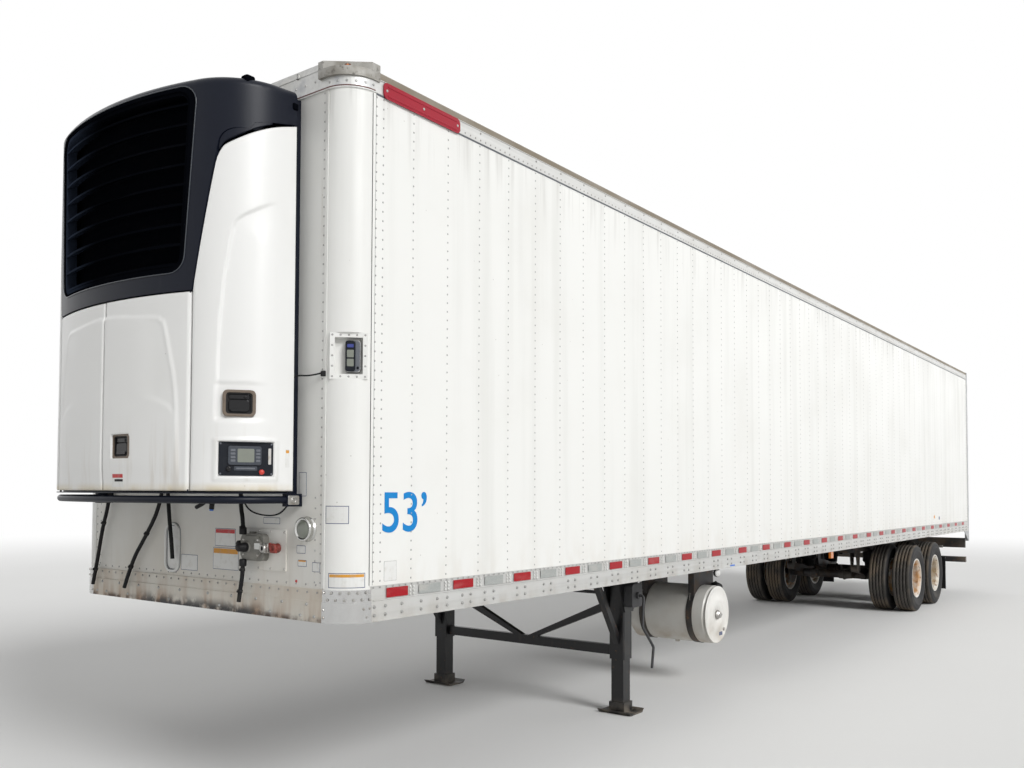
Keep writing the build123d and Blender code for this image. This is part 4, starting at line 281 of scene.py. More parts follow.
class Finish:
    """A material whose colour and roughness are built up in layers."""

    def __init__(self, name, colour, rough=0.5, metal=0.0, **sockets):
        self.material = bpy.data.materials.new(name)
        self.material.use_nodes = True
        self.material.diffuse_color = (*colour, 1)
        self.tree = self.material.node_tree
        self.shader = self.tree.nodes["Principled BSDF"]
        self.shader.inputs["Base Color"].default_value = (*colour, 1)
        self.shader.inputs["Roughness"].default_value = rough
        self.shader.inputs["Metallic"].default_value = metal
        for socket, value in sockets.items():
            self.shader.inputs[socket.replace("_", " ")].default_value = value
        self.place = self.tree.nodes.new("ShaderNodeTexCoord").outputs["Object"]
        self.colour, self.rough, self.height = (*colour, 1), rough, None
        self.parts = None

    def node(self, kind, links=(), **settings):
        """Add a node, set its properties and link its inputs by place."""
        made = self.tree.nodes.new(kind)
        for key, value in settings.items():
            setattr(made, key, value)
        for index, source in links:
            if isinstance(source, bpy.types.NodeSocket):
                self.tree.links.new(source, made.inputs[index])
            else:
                made.inputs[index].default_value = source
        return made

    def calc(self, operation, a, b=0.0):
        """One arithmetic step."""
        return self.node("ShaderNodeMath", ((0, a), (1, b)), operation=operation).outputs[0]

    def axis(self, letter):
        """Where a point is along one axis of the trailer."""
        if self.parts is None:
            self.parts = self.node("ShaderNodeSeparateXYZ", ((0, self.place),))
        return self.parts.outputs[letter]

    def attribute(self, name):
        """A value that the piece's mesh carries."""
        return self.node("ShaderNodeAttribute", attribute_name=name).outputs["Fac"]

    def noise(self, scale, stretch=(1, 1, 1), detail=6.0):
        """Cloudy noise, from 0 to 1, at a scale in lumps a metre."""
        mapped = self.node("ShaderNodeMapping", ((0, self.place), (3, stretch)))
        return self.node("ShaderNodeTexNoise", (("Vector", mapped.outputs[0]), ("Scale", scale), ("Detail", detail),
                                                ("Roughness", 0.55))).outputs["Fac"]

    def cells(self, scale):
        """Distance to the nearest of a scatter of points."""
        return self.node("ShaderNodeTexVoronoi", (("Vector", self.place), ("Scale", scale))).outputs["Distance"]

    def span(self, value, low, high, bottom=0.0, top=1.0):
        """Spread a value smoothly between two ends, clamped."""
        return self.node("ShaderNodeMapRange", ((0, value), (1, low), (2, high), (3, bottom), (4, top)),
                         interpolation_type="SMOOTHSTEP").outputs[0]

    def by_height(self, low, high, below=1.0, above=0.0):
        """One value below a height and another above it."""
        return self.span(self.axis("Z"), low, high, below, above)

    def band(self, value, low, high, soft):
        """1 between two values, falling off softly outside them."""
        return self.calc("MULTIPLY", self.span(value, low - soft, low), self.span(value, high, high + soft, 1, 0))

    def both(self, *masks):
        """The product of several masks."""
        return reduce(lambda a, b: self.calc("MULTIPLY", a, b), masks)

    def coat(self, mask, colour, rough=None):
        """Lay another colour, and roughness, over what is there where the mask says."""
        mix = self.node("ShaderNodeMix", ((0, mask), (6, self.colour), (7, (*colour, 1))), data_type="RGBA")
        self.colour = mix.outputs[2]
        if rough is not None:
            self.rough = self.node("ShaderNodeMix", ((0, mask), (2, self.rough), (3, rough)),
                                   data_type="FLOAT").outputs[0]
        return self

    def stain(self, scale, low, high, amount, colour, rough=None, stretch=(1, 1, 1), detail=6.0, within=None,
              least=0.0):
        """Lay a colour where noise at this scale rises from low to high, within a mask if one is given."""
        mask = self.span(self.noise(scale, stretch, detail), low, high, least, amount)
        return self.coat(self.both(within, mask) if within else mask, colour, rough)

    def roughen(self, value, low, high):
        """Let the roughness follow a value."""
        self.rough = self.span(value, 0.3, 0.7, low, high)
        return self

    def bump(self, value, strength=0.3, distance=0.002):
        """Raise the surface by a value."""
        node = self.node("ShaderNodeBump", (("Height", value), ("Strength", strength), ("Distance", distance)))
        if self.height:
            self.tree.links.new(self.height, node.inputs["Normal"])
        self.height = node.outputs[0]
        return self

    def done(self):
        """Link the layers to the shader."""
        for source, socket in ((self.colour, "Base Color"), (self.rough, "Roughness"), (self.height, "Normal")):
            if isinstance(source, bpy.types.NodeSocket):
                self.tree.links.new(source, self.shader.inputs[socket])
        return self.material


# Finishes, one function for each

def panel_white():
    """White painted sheet: faint upright waves, thin streaks and dust towards its foot."""
    f = Finish("white_panel_paint", (0.8, 0.8, 0.775), 0.42)
    streak = f.noise(3.2, (1.6, 1.6, 0.07), 5)
    f.coat(f.span(streak, 0.46, 0.74, 0, 0.45), (0.66, 0.66, 0.63))
    cloud = f.noise(1.4, detail=5)
    f.coat(f.span(cloud, 0.5, 0.8, 0, 0.3), (0.7, 0.69, 0.65))
    foot = f.by_height(1.25, 1.62)
    f.stain(9, 0.32, 0.75, 0.3, (0.6, 0.55, 0.47), 0.7, stretch=(1, 1, 0.5), within=foot)
    head = f.by_height(3.55, 3.98, 0.0, 1.0)
    f.stain(14, 0.5, 0.72, 0.5, (0.5, 0.49, 0.46), 0.6, stretch=(1, 1, 0.06), detail=3, within=head)
    speck = f.cells(7)
    f.coat(f.span(speck, 0.02, 0.035, 0.5, 0), (0.35, 0.33, 0.3))
    f.roughen(cloud, 0.34, 0.5)
    f.bump(f.noise(2.2, (1, 1, 0.12), 2), 0.35, 0.006)
    f.bump(f.noise(160, detail=2), 0.06, 0.001)
    return f.done()


def front_white():
    """The front wall's white paint, tanned by road dirt towards the sill."""
    f = Finish("front_wall_paint", (0.76, 0.76, 0.735), 0.45)
    cloud = f.noise(1.1)
    f.coat(f.span(cloud, 0.42, 0.75, 0, 0.45), (0.66, 0.64, 0.585))
    low = f.by_height(1.15, 2.0)
    f.stain(2.3, 0.3, 0.72, 0.75, (0.6, 0.545, 0.455), 0.6, stretch=(1, 1, 0.4), within=low, least=0.1)
    f.stain(11, 0.58, 0.78, 0.4, (0.48, 0.44, 0.38), stretch=(1.2, 1.2, 0.05), detail=3)
    f.coat(f.span(f.cells(9), 0.015, 0.03, 0.7, 0), (0.22, 0.19, 0.16))
    f.roughen(cloud, 0.36, 0.55)
    f.bump(f.noise(1.7, (1, 1, 0.4), 2), 0.3, 0.006)
    return f.done()


def unit_white():
    """The refrigeration unit's doors: glossy moulded gelcoat, creamy along the bottom edge."""
    f = Finish("unit_gelcoat", (0.8, 0.8, 0.785), 0.36, Coat_Weight=0.15, Coat_Roughness=0.3)
    cloud = f.noise(1.8, detail=5)
    f.coat(f.span(cloud, 0.5, 0.82, 0, 0.3), (0.72, 0.715, 0.69))
    edge = f.by_height(1.82, 1.865)
    f.stain(7, 0.25, 0.7, 0.85, (0.62, 0.54, 0.38), 0.5, stretch=(1, 1, 0.3), detail=4, within=edge, least=0.2)
    f.stain(16, 0.52, 0.75, 1, (0.55, 0.5, 0.43), 0.45, stretch=(1, 1, 0.08), detail=3,
            within=f.by_height(1.82, 2.3, 0.5, 0))
    f.coat(f.span(f.cells(6), 0.012, 0.022, 0.6, 0.0), (0.3, 0.27, 0.24))
    f.roughen(cloud, 0.32, 0.42)
    f.bump(f.noise(420, detail=1), 0.05, 0.0004)
    return f.done()


def roof_sheet():
    """The roof's aluminium sheet under even dust, with faint streaks across it."""
    f = Finish("roof_sheet_aluminium", (0.5, 0.495, 0.475), 0.55, 0.2)
    f.stain(3.5, 0.42, 0.8, 0.55, (0.36, 0.335, 0.29), 0.7, stretch=(1.4, 0.35, 1))
    f.stain(22, 0.55, 0.8, 0.5, (0.27, 0.24, 0.2), 0.75, detail=5)
    f.coat(f.span(f.cells(14), 0.02, 0.05, 0.5, 0), (0.16, 0.13, 0.1), 0.8)
    f.bump(f.noise(3, (0.4, 1, 1), 3), 0.25, 0.004)
    return f.done()


def rail_aluminium(name="rail_mill_aluminium", grimy=True, browned=True):
    """Extruded mill aluminium drawn along the trailer, with its top face weathered brown-grey."""
    f = Finish(name, (0.64, 0.64, 0.625), 0.42, 0.55)
    drawn = f.noise(38, (0.02, 1, 1), 3)
    f.coat(f.span(drawn, 0.35, 0.7, 0, 0.4), (0.48, 0.48, 0.465))
    f.stain(2.6, 0.46, 0.74, 0.5, (0.56, 0.545, 0.51), 0.55, stretch=(0.6, 1, 2.4))
    if browned:
        upper = f.span(f.axis("Z"), 4.052, 4.058)
        f.stain(5, 0.2, 0.6, 1.0, (0.25, 0.215, 0.165), 0.75, stretch=(0.4, 1, 1), within=upper, least=0.7)
    else:
        f.stain(7, 0.5, 0.72, 0.7, (0.4, 0.41, 0.43), 0.5, detail=7)
    if grimy:
        f.stain(7, 0.4, 0.75, 1, (0.36, 0.32, 0.27), 0.65, stretch=(1, 1, 0.4),
                within=f.by_height(1.12, 1.23, 0.55, 0.1))
    f.bump(drawn, 0.12, 0.0008)
    return f.done()


def sill_plate():
    """The nose sill: cream paint with rust runs between two bright riveted aluminium corners."""
    f = Finish("nose_sill_paint", (0.66, 0.64, 0.58), 0.5)
    f.stain(3, 0.35, 0.7, 0.6, (0.6, 0.52, 0.43), 0.6)
    low = f.by_height(1.12, 1.24, 1.0, 0.35)
    f.stain(8, 0.42, 0.66, 0.85, (0.36, 0.22, 0.13), 0.75, stretch=(1, 1, 0.14), within=low)
    f.stain(11, 0.4, 0.62, 1, (0.09, 0.06, 0.045), 0.8, within=f.by_height(1.122, 1.16))
    grease = f.both(f.band(f.axis("Y"), -0.42, 0.5, 0.3), f.by_height(1.125, 1.2))
    f.stain(14, 0.36, 0.56, 1, (0.012, 0.012, 0.013), 0.35, detail=5, within=grease)
    away = f.calc("ABSOLUTE", f.axis("Y"))
    corner = f.span(away, 1.112, 1.116)
    f.coat(corner, (0.6, 0.6, 0.595), 0.2)
    f.stain(9, 0.45, 0.7, 0.45, (0.48, 0.47, 0.455), 0.34, stretch=(1, 1, 0.4), detail=3, within=corner)
    f.tree.links.new(f.calc("MULTIPLY", corner, 0.85), f.shader.inputs["Metallic"])
    f.bump(f.noise(24, detail=4), 0.15, 0.002)
    return f.done()


def dark_frame(name="frame_black_paint", dust=0.6, low=0.0, high=1.2):
    """Black chassis paint under road dust, with brown rust coming through."""
    f = Finish(name, (0.018, 0.018, 0.02), 0.5)
    f.stain(6, 0.47, 0.66, 0.8, (0.075, 0.045, 0.028), 0.75, detail=7)
    f.stain(19, 0.6, 0.72, 0.75, (0.16, 0.075, 0.035), 0.85, detail=5)
    settle_dust = f.span(f.noise(2.4), 0.35, 0.7, 0, dust)
    f.coat(f.both(settle_dust, f.by_height(low, high, 1.0, 0.35)), (0.17, 0.145, 0.115), 0.85)
    f.bump(f.noise(55, detail=5), 0.25, 0.002)
    return f.done()


def landing_black():
    """The landing gear's glossier black paint, chipped to rust on its edges and dusty at the feet."""
    f = Finish("landing_gear_black", (0.006, 0.006, 0.007), 0.34, Specular_IOR_Level=0.5)
    f.stain(9, 0.56, 0.7, 0.6, (0.035, 0.028, 0.024), 0.6, stretch=(1, 1, 0.4), detail=7)
    f.stain(26, 0.64, 0.72, 0.7, (0.12, 0.06, 0.03), 0.8, detail=5)
    f.stain(11, 0.3, 0.65, 1, (0.17, 0.145, 0.115), 0.85, within=f.by_height(0.0, 0.14, 0.8, 0.0))
    f.bump(f.noise(60, detail=4), 0.2, 0.0015)
    return f.done()


def cowl_dark():
    """The unit's cowl: satin navy black with a fine moulded grain."""
    f = Finish("cowl_navy_black", (0.0045, 0.0065, 0.014), 0.36, Specular_IOR_Level=0.2)
    f.stain(1.6, 0.45, 0.8, 0.5, (0.01, 0.013, 0.021), 0.42, detail=5)
    f.stain(9, 0.56, 0.8, 0.3, (0.03, 0.032, 0.036), 0.6, stretch=(1, 1, 0.15), detail=4)
    f.bump(f.noise(330, detail=2), 0.12, 0.0006)
    return f.done()


def grille_black(name="grille_black", dust=0.0):
    """The grille and the machinery behind it: sooty matt black, with a painted blue-grey sky reflection along its
    right end, as strong as the dust argument says.
    """
    f = Finish(name, (0.0025, 0.003, 0.0045), 0.7, Specular_IOR_Level=0.0)
    # Painted sky reflection: blue-grey towards the right end, at the strength of the dust argument.
    f.coat(f.span(f.axis("Y"), -0.1, -0.62, 0.0, dust), (0.032, 0.042, 0.066), 0.7)
    f.stain(5, 0.5, 0.78, 0.4, (0.007, 0.007, 0.008), 0.8, stretch=(1, 1, 2.5))
    f.bump(f.noise(180, detail=3), 0.15, 0.0008)
    return f.done()


def galvanised():
    """Zinc-coated steel: grey spangle, white bloom and some brown at the edges."""
    f = Finish("galvanised_steel", (0.5, 0.51, 0.52), 0.42, 0.7)
    f.coat(f.span(f.cells(34), 0.1, 0.7, 0, 0.5), (0.36, 0.37, 0.385), 0.5)
    f.stain(4, 0.5, 0.75, 0.6, (0.6, 0.6, 0.59), 0.6)
    f.stain(8, 0.6, 0.76, 0.4, (0.22, 0.125, 0.07), 0.8, stretch=(1, 1, 0.3))
    f.bump(f.noise(60, detail=3), 0.1, 0.001)
    return f.done()


def cast_grey():
    """The corner castings: stained aluminium, dark where water stands."""
    f = Finish("cap_cast_grey", (0.4, 0.39, 0.365), 0.6, 0.35)
    f.stain(9, 0.4, 0.68, 0.8, (0.22, 0.205, 0.175), 0.7)
    f.stain(30, 0.58, 0.72, 0.7, (0.09, 0.08, 0.07), 0.8, detail=4)
    f.bump(f.noise(90, detail=4), 0.35, 0.0015)
    return f.done()


def tank_paint(name="tank_pale_paint", white=0.0):
    """The fuel tank's off-white paint, dusty underneath and splashed at the foot."""
    f = Finish(name, (0.62 + white, 0.61 + white, 0.575 + white), 0.34)
    f.stain(2.8, 0.42, 0.72, 0.5, (0.5, 0.47, 0.42), 0.5)
    under = f.by_height(0.38, 0.66)
    f.stain(6, 0.3, 0.7, 0.85, (0.4, 0.335, 0.26), 0.75, within=under, least=0.15)
    f.coat(f.span(f.cells(24), 0.03, 0.06, 0.55, 0.0), (0.2, 0.15, 0.11), 0.8)
    f.bump(f.noise(26, detail=3), 0.06, 0.001)
    return f.done()


def wheel_white(middle, name, tint):
    """White wheel paint that rusts orange from the disc's middle, where the nuts shed it."""
    f = Finish(name, (0.72, 0.71, 0.67), 0.4)
    square = f.calc("ADD", f.calc("POWER", f.calc("SUBTRACT", f.axis("X"), middle), 2.0),
                    f.calc("POWER", f.calc("SUBTRACT", f.axis("Z"), AXLE_Z), 2.0))
    reach = f.calc("SQRT", square)
    f.stain(9, 0.3, 0.62, 0.95, tint, 0.6, within=f.band(reach, 0.1, 0.25, 0.05), least=0.1)
    f.stain(22, 0.56, 0.7, 0.85, (0.24, 0.11, 0.045), 0.8)
    f.stain(13, 0.3, 0.6, 0.9, (0.085, 0.06, 0.045), 0.6, detail=5, within=f.span(reach, 0.08, 0.13, 1, 0), least=0.3)
    f.stain(5, 0.46, 0.76, 0.6, (0.4, 0.33, 0.25), 0.75)
    f.bump(f.noise(70, detail=4), 0.2, 0.001)
    return f.done()


def tyre_rubber(name):
    """Tyre rubber, its tread greyed and its shoulders dusted tan, with painted shade darkening the grooves' floors.
    """
    f = Finish(name, (0.022, 0.022, 0.023), 0.72, Specular_IOR_Level=0.3)
    tread = f.attribute("tread")
    f.stain(6, 0.25, 0.7, 0.85, (0.115, 0.105, 0.092), 0.9, within=tread, least=0.35)
    f.stain(3, 0.42, 0.66, 0.7, (0.19, 0.145, 0.1), 0.95, within=tread)
    f.stain(4, 0.48, 0.74, 0.55, (0.105, 0.092, 0.078), 0.9)
    # Painted shade: the grooves' floors darker than the rubber itself.
    f.coat(f.attribute("groove"), (0.012, 0.011, 0.01), 0.95)
    f.bump(f.noise(120, detail=3), 0.3, 0.001)
    return f.done()


def rubber_black(name="black_rubber", dust=0.4):
    """Dull black rubber with dust in its folds."""
    f = Finish(name, (0.01, 0.01, 0.011), 0.58, Specular_IOR_Level=0.2)
    f.stain(8, 0.48, 0.78, dust, (0.07, 0.062, 0.052), 0.85)
    f.bump(f.noise(140, detail=3), 0.2, 0.001)
    return f.done()


def grey_plastic(name="box_grey_plastic", colour=(0.19, 0.185, 0.165)):
    """Weathered moulded plastic, chalky where the sun reaches it."""
    f = Finish(name, colour, 0.55)
    f.stain(14, 0.45, 0.72, 0.6, tuple(min(1, c * 1.5) for c in colour), 0.7)
    f.stain(40, 0.6, 0.74, 0.5, tuple(c * 0.45 for c in colour), 0.7, detail=4)
    f.bump(f.noise(260, detail=2), 0.25, 0.0006)
    return f.done()


def lens(name, colour, dark):
    """A moulded lamp lens, with its fine prisms under a hard gloss."""
    f = Finish(name, colour, 0.12, IOR=1.49, Coat_Weight=0.6, Coat_Roughness=0.06)
    prism = f.calc("MULTIPLY", f.calc("SINE", f.calc("MULTIPLY", f.axis("Y"), 900.0)),
                   f.calc("SINE", f.calc("MULTIPLY", f.axis("Z"), 900.0)))
    f.coat(f.span(prism, -0.4, 0.6, 0.75, 0.0), dark)
    f.stain(30, 0.52, 0.75, 0.3, (0.3, 0.25, 0.19), 0.5, detail=5)
    f.bump(prism, 0.25, 0.0008)
    return f.done()


def tape(name, colour, shade, scuff=0.4):
    """Reflective tape: small cells under clear film, scuffed by brushes."""
    f = Finish(name, colour, 0.32, Specular_IOR_Level=0.25)
    comb = f.cells(150)
    f.coat(f.span(comb, 0.25, 0.6, 0, 0.6), shade)
    f.stain(12, 0.52, 0.72, scuff, (0.52, 0.49, 0.45), 0.6, stretch=(0.4, 1, 1.6))
    f.bump(comb, 0.2, 0.0004)
    return f.done()


def plain_finish(name, colour, rough, wear=(0.3, 0.3, 0.3), amount=0.35, metal=0.0, grain=80, specular=0.5,
                 **sockets):
    """A small part's paint, plastic or metal, with wear that breaks it up."""
    f = Finish(name, colour, rough, metal, Specular_IOR_Level=specular, **sockets)
    f.stain(grain / 3, 0.48, 0.74, amount, wear, min(1.0, rough + 0.2))
    f.bump(f.noise(grain * 3, detail=3), 0.12, 0.0008)
    return f.done()


def floor_channel():
    """The cargo floor's extruded aluminium, scraped bright along its ribs."""
    f = Finish("floor_channel_aluminium", (0.5, 0.5, 0.49), 0.36, 0.8)
    f.stain(24, 0.4, 0.7, 0.7, (0.32, 0.31, 0.3), 0.5, stretch=(0.03, 1, 1), detail=4)
    f.stain(1.6, 0.5, 0.75, 0.5, (0.22, 0.2, 0.17), 0.7)
    f.bump(f.noise(60, (0.05, 1, 1), 3), 0.2, 0.0008)
    return f.done()


PAINT = {}


# Columns: name, colour, roughness, colour and amount of the wear, metal, grain, specular level
PLAIN_FINISHES = {
    "numeral": ("numeral_blue", (0.006, 0.215, 0.56), 0.4, (0.03, 0.26, 0.58), 0.3, 0.0, 80, 0.2),
    "badge_red": ("badge_plate_red", (0.33, 0.006, 0.022), 0.35, (0.25, 0.02, 0.03), 0.35, 0.0, 80, 0.25),
    "label": ("blank_label", (0.74, 0.74, 0.72), 0.5, (0.58, 0.56, 0.51), 0.5),
    "label_edge": ("label_edge", (0.1, 0.12, 0.2), 0.5),
    "label_amber": ("label_band_amber", (0.66, 0.3, 0.03), 0.5),
    "label_red": ("label_band_red", (0.5, 0.03, 0.03), 0.5),
    "steel": ("bare_steel", (0.46, 0.45, 0.43), 0.38, (0.22, 0.16, 0.11), 0.5, 0.85),
    "bead": ("grille_bead_edge", (0.035, 0.042, 0.052), 0.3, (0.08, 0.08, 0.08)),
    # The panel rivets' grey is partly the heads' own colour and partly painted shade for the shadow round each head
    # on the white walls.
    "rivet": ("rivet_head_with_painted_shade", (0.42, 0.42, 0.41), 0.5, (0.24, 0.23, 0.21), 0.5, 0.3, 240),
    "rail_rivet": ("rail_rivet", (0.36, 0.355, 0.34), 0.45, (0.15, 0.13, 0.11), 0.6, 0.6, 240),
    "rail_bolt": ("zinc_rail_bolt", (0.4, 0.4, 0.39), 0.45, (0.2, 0.18, 0.15), 0.5, 0.4, 200),
    "bolt": ("dark_bolt", (0.1, 0.095, 0.085), 0.6, (0.3, 0.27, 0.22), 0.5, 0.3, 160),
    "white_bolt": ("painted_bolt", (0.66, 0.66, 0.64), 0.45, (0.4, 0.37, 0.32), 0.5, 0.0, 160),
    "chrome": ("bright_canister", (0.62, 0.62, 0.6), 0.16, (0.4, 0.38, 0.34), 0.25, 0.95),
    "bronze": ("latch_bronze_edge", (0.15, 0.115, 0.085), 0.4, (0.08, 0.06, 0.045), 0.5),
    "gloss_black": ("gloss_black", (0.005, 0.005, 0.006), 0.12, (0.02, 0.02, 0.02), 0.2, 0.0, 80, 0.4),
    "matt_black": ("matt_black_plastic", (0.01, 0.01, 0.011), 0.5, (0.05, 0.045, 0.04), 0.3, 0.0, 200, 0.25),
    "key_grey": ("key_grey", (0.12, 0.13, 0.15), 0.45, (0.08, 0.08, 0.09), 0.3, 0.0, 200),
    "panel_navy": ("panel_navy", (0.006, 0.008, 0.013), 0.35, (0.02, 0.022, 0.027), 0.3, 0.0, 80, 0.2),
    "bezel": ("bezel_slate", (0.045, 0.052, 0.065), 0.45, (0.09, 0.095, 0.1), 0.3, 0.0, 80, 0.3),
    "button_red": ("button_red", (0.62, 0.05, 0.035), 0.35, (0.45, 0.05, 0.04), 0.3),
    "coupling_red": ("coupling_red", (0.24, 0.04, 0.03), 0.6, (0.15, 0.08, 0.06), 0.7),
    "display_blue": ("display_blue", (0.035, 0.05, 0.25), 0.4, (0.05, 0.06, 0.2), 0.3),
    "plug_yellow": ("plug_yellow", (0.55, 0.4, 0.03), 0.5, (0.3, 0.24, 0.08), 0.5),
    "mark_blue": ("mark_blue", (0.05, 0.18, 0.6), 0.5, (0.2, 0.3, 0.5), 0.3),
    "seal_red": ("seal_red_brown", (0.1, 0.022, 0.018), 0.6, (0.05, 0.03, 0.03), 0.7),
}


def mix_finishes():
    """Make every finish once, by the name that the pieces use."""
    PAINT.update({key: plain_finish(*row) for key, row in PLAIN_FINISHES.items()})
    PAINT.update(
        panel=panel_white(),
        front=front_white(),
        gelcoat=unit_white(),
        rail=rail_aluminium(),
        sill=sill_plate(),
        frame=dark_frame(),
        leg=landing_black(),
        cowl=cowl_dark(),
        grille=grille_black(),
        # The slats carry the painted sky reflection at full strength.
        slats=grille_black("grille_slats", 1.0),
        zinc=galvanised(),
        rear_beam=dark_frame("rear_beam_rust", 0.9, 0.6, 1.0),
        cap=cast_grey(),
        tank=tank_paint(),
        tank_end=tank_paint("tank_end_paint", 0.16),
        floor=floor_channel(),
        rubber=rubber_black(),
        hose=rubber_black("hose_rubber", 0.25),
        flap=rubber_black("flap_rubber", 0.6),
        seal=rubber_black("door_seal_rubber", 0.15),
        grey_box=grey_plastic(),
        gear_grey=grey_plastic("gearbox_grey", (0.03, 0.03, 0.032)),
        red_lens=lens("red_lamp_lens", (0.55, 0.012, 0.01), (0.22, 0.004, 0.004)),
        amber_lens=lens("amber_lamp_lens", (0.8, 0.22, 0.015), (0.42, 0.1, 0.006)),
        amber_dark=lens("amber_dark_lens", (0.16, 0.035, 0.008), (0.1, 0.02, 0.006)),
        white_lens=lens("white_lamp_lens", (0.72, 0.72, 0.7), (0.5, 0.5, 0.49)),
        red_tape=tape("tape_red", (0.4, 0.008, 0.016), (0.28, 0.005, 0.01), 0.1),
        silver_tape=tape("tape_silver", (0.4, 0.415, 0.4), (0.3, 0.315, 0.305)),
        screen=plain_finish("screen_grey_green", (0.19, 0.205, 0.17), 0.3, (0.15, 0.16, 0.14), 0.3, Coat_Weight=0.6,
                            Coat_Roughness=0.08),
        roof=roof_sheet(),
        header=rail_aluminium("header_aluminium", False, False))
    for (x, place), tint in zip(AXLES, ((0.56, 0.27, 0.06), (0.5, 0.36, 0.2))):
        PAINT[f"wheel_{place}"] = wheel_white(x, f"wheel_paint_{place}", tint)
        PAINT[f"tyre_{place}"] = tyre_rubber(f"tyre_rubber_{place}")


NODE_FINISHES = {
    "panel": ("side_wall_left", "side_wall_right", "front_corner_left", "front_corner_right", "rear_door_left",
              "rear_door_right", "gauge_box", "evaporator_housing"),
    "front": ("front_wall",),
    "rail": ("bottom_rails", "top_rails"),
    "roof": ("roof",),
    "sill": ("front_sill",),
    "frame": ("axles", "coupler_plate", "crossmembers", "kingpin", "slide_rails", "slider_frame", "trailing_arms",
              "tank_straps"),
    "leg": ("landing_legs", "leg_braces"),
    "gear_grey": ("leg_crank",),
    "cowl": ("unit_shroud", "unit_frame", "unit_bumper"),
    "grille": ("unit_machinery",),
    "slats": ("unit_grille",),
    "zinc": ("door_hinges", "lock_rods_left", "lock_rods_right", "rear_frame"),
    "rear_beam": ("rear_guard",),
    "floor": ("floor",),
    "tank": ("fuel_tank",),
    "flap": ("mud_flaps",),
    "rubber": ("air_springs",),
    "red_lens": ("rear_lamps",),
    "amber_lens": ("side_markers",),
}


def paint_frame():
    """Give the CAD nodes that stay their finishes."""
    for finish, names in NODE_FINISHES.items():
        for name in names:
            for slot in frame["nodes"][name].material_slots:
                slot.material = PAINT[finish]
    for _x, place in AXLES:
        for _side, hand in SIDES:
            for slot in frame["nodes"][f"wheels_{place}_{hand}"].material_slots:
                slot.material = PAINT[f"wheel_{place}"]


# Rivets, screws and bolts, set out by geometry nodes

def heads_tree(along_rows):
    """A node tree that sets a head on every place, or at a pitch along every row."""
    name = "Heads along rows" if along_rows else "Heads at places"
    if name in bpy.data.node_groups:
        return bpy.data.node_groups[name]
    tree = bpy.data.node_groups.new(name, "GeometryNodeTree")
    tree.interface.new_socket("Places", in_out="INPUT", socket_type="NodeSocketGeometry")
    for label in ("Pitch", "Foot radius", "Crown radius", "Height"):
        tree.interface.new_socket(label, in_out="INPUT", socket_type="NodeSocketFloat")
    tree.interface.new_socket("Sides", in_out="INPUT", socket_type="NodeSocketInt")
    tree.interface.new_socket("Finish", in_out="INPUT", socket_type="NodeSocketMaterial")
    tree.interface.new_socket("Heads", in_out="OUTPUT", socket_type="NodeSocketGeometry")
    add, link = tree.nodes.new, tree.links.new
    given, result = add("NodeGroupInput"), add("NodeGroupOutput")
    places = given.outputs["Places"]
    if along_rows:
        rows, spaced = add("GeometryNodeMeshToCurve"), add("GeometryNodeResampleCurve")
        spaced.mode = "LENGTH"
        link(places, rows.inputs["Mesh"])
        link(rows.outputs["Curve"], spaced.inputs["Curve"])
        link(given.outputs["Pitch"], spaced.inputs["Length"])
        places = spaced.outputs["Curve"]
    head = add("GeometryNodeMeshCone")
    head.fill_type = "NGON"
    for label, socket in (("Sides", "Vertices"), ("Foot radius", "Radius Bottom"), ("Crown radius", "Radius Top"),
                          ("Height", "Depth")):
        link(given.outputs[label], head.inputs[socket])
    outward, turn = add("GeometryNodeInputNamedAttribute"), add("FunctionNodeAlignRotationToVector")
    outward.data_type = "FLOAT_VECTOR"
    outward.inputs["Name"].default_value = "facing"
    turn.axis = "Z"
    link(outward.outputs["Attribute"], turn.inputs["Vector"])
    set_out, real = add("GeometryNodeInstanceOnPoints"), add("GeometryNodeRealizeInstances")
    painted = add("GeometryNodeSetMaterial")
    link(places, set_out.inputs["Points"])
    link(head.outputs["Mesh"], set_out.inputs["Instance"])
    link(turn.outputs["Rotation"], set_out.inputs["Rotation"])
    link(set_out.outputs["Instances"], real.inputs["Geometry"])
    link(real.outputs["Geometry"], painted.inputs["Geometry"])
    link(given.outputs["Finish"], painted.inputs["Material"])
    link(painted.outputs["Geometry"], result.inputs["Heads"])
    return tree


def heads(name, finish, rows=(), places=(), pitch=0.0508, radius=0.006, crown=0.65, height=0.0022, sides=6,
          body="trailer"):
    """Heads along rows, each a start, an end and a facing, or at single places, each a place and a facing."""
    edges = [(2 * i, 2 * i + 1) for i in range(len(rows))]
    spots = [(end, out) for start, stop, out in rows for end in (start, stop)] + list(places)
    data = bpy.data.meshes.new(name + "_places")
    data.from_pydata([spot for spot, _out in spots], edges, [])
    outward = data.attributes.new("facing", "FLOAT_VECTOR", "POINT")
    outward.data.foreach_set("vector", [c for _spot, out in spots for c in out])
    source = stand(name + "_places", data)
    modifier = source.modifiers.new("Heads", "NODES")
    modifier.node_group = tree = heads_tree(bool(edges))
    values = {"Pitch": pitch, "Foot radius": radius, "Crown radius": radius * crown, "Height": height, "Sides": sides,
              "Finish": PAINT[finish]}
    for item in tree.interface.items_tree:
        if item.in_out == "INPUT" and item.name in values:
            modifier[item.identifier] = values[item.name]
    made = evaluated_mesh(source)
    if len(made.polygons) < len(spots):
        raise RuntimeError(f"{name}: the node tree made too few heads")
    source.modifiers.remove(modifier)
    bpy.data.objects.remove(source)
    made.name = name
    return settle(name, made, (finish,), body)


def grid_spots(place, across, up, out=0.0):
    """Places and facings on a grid over a placing matrix's face."""
    way = place.to_3x3() @ Vector(UP)
    return [(place @ Vector((x, y, out)), way) for x in across for y in up]


# The refrigeration unit's plan, from the middle of its front round to a rear edge

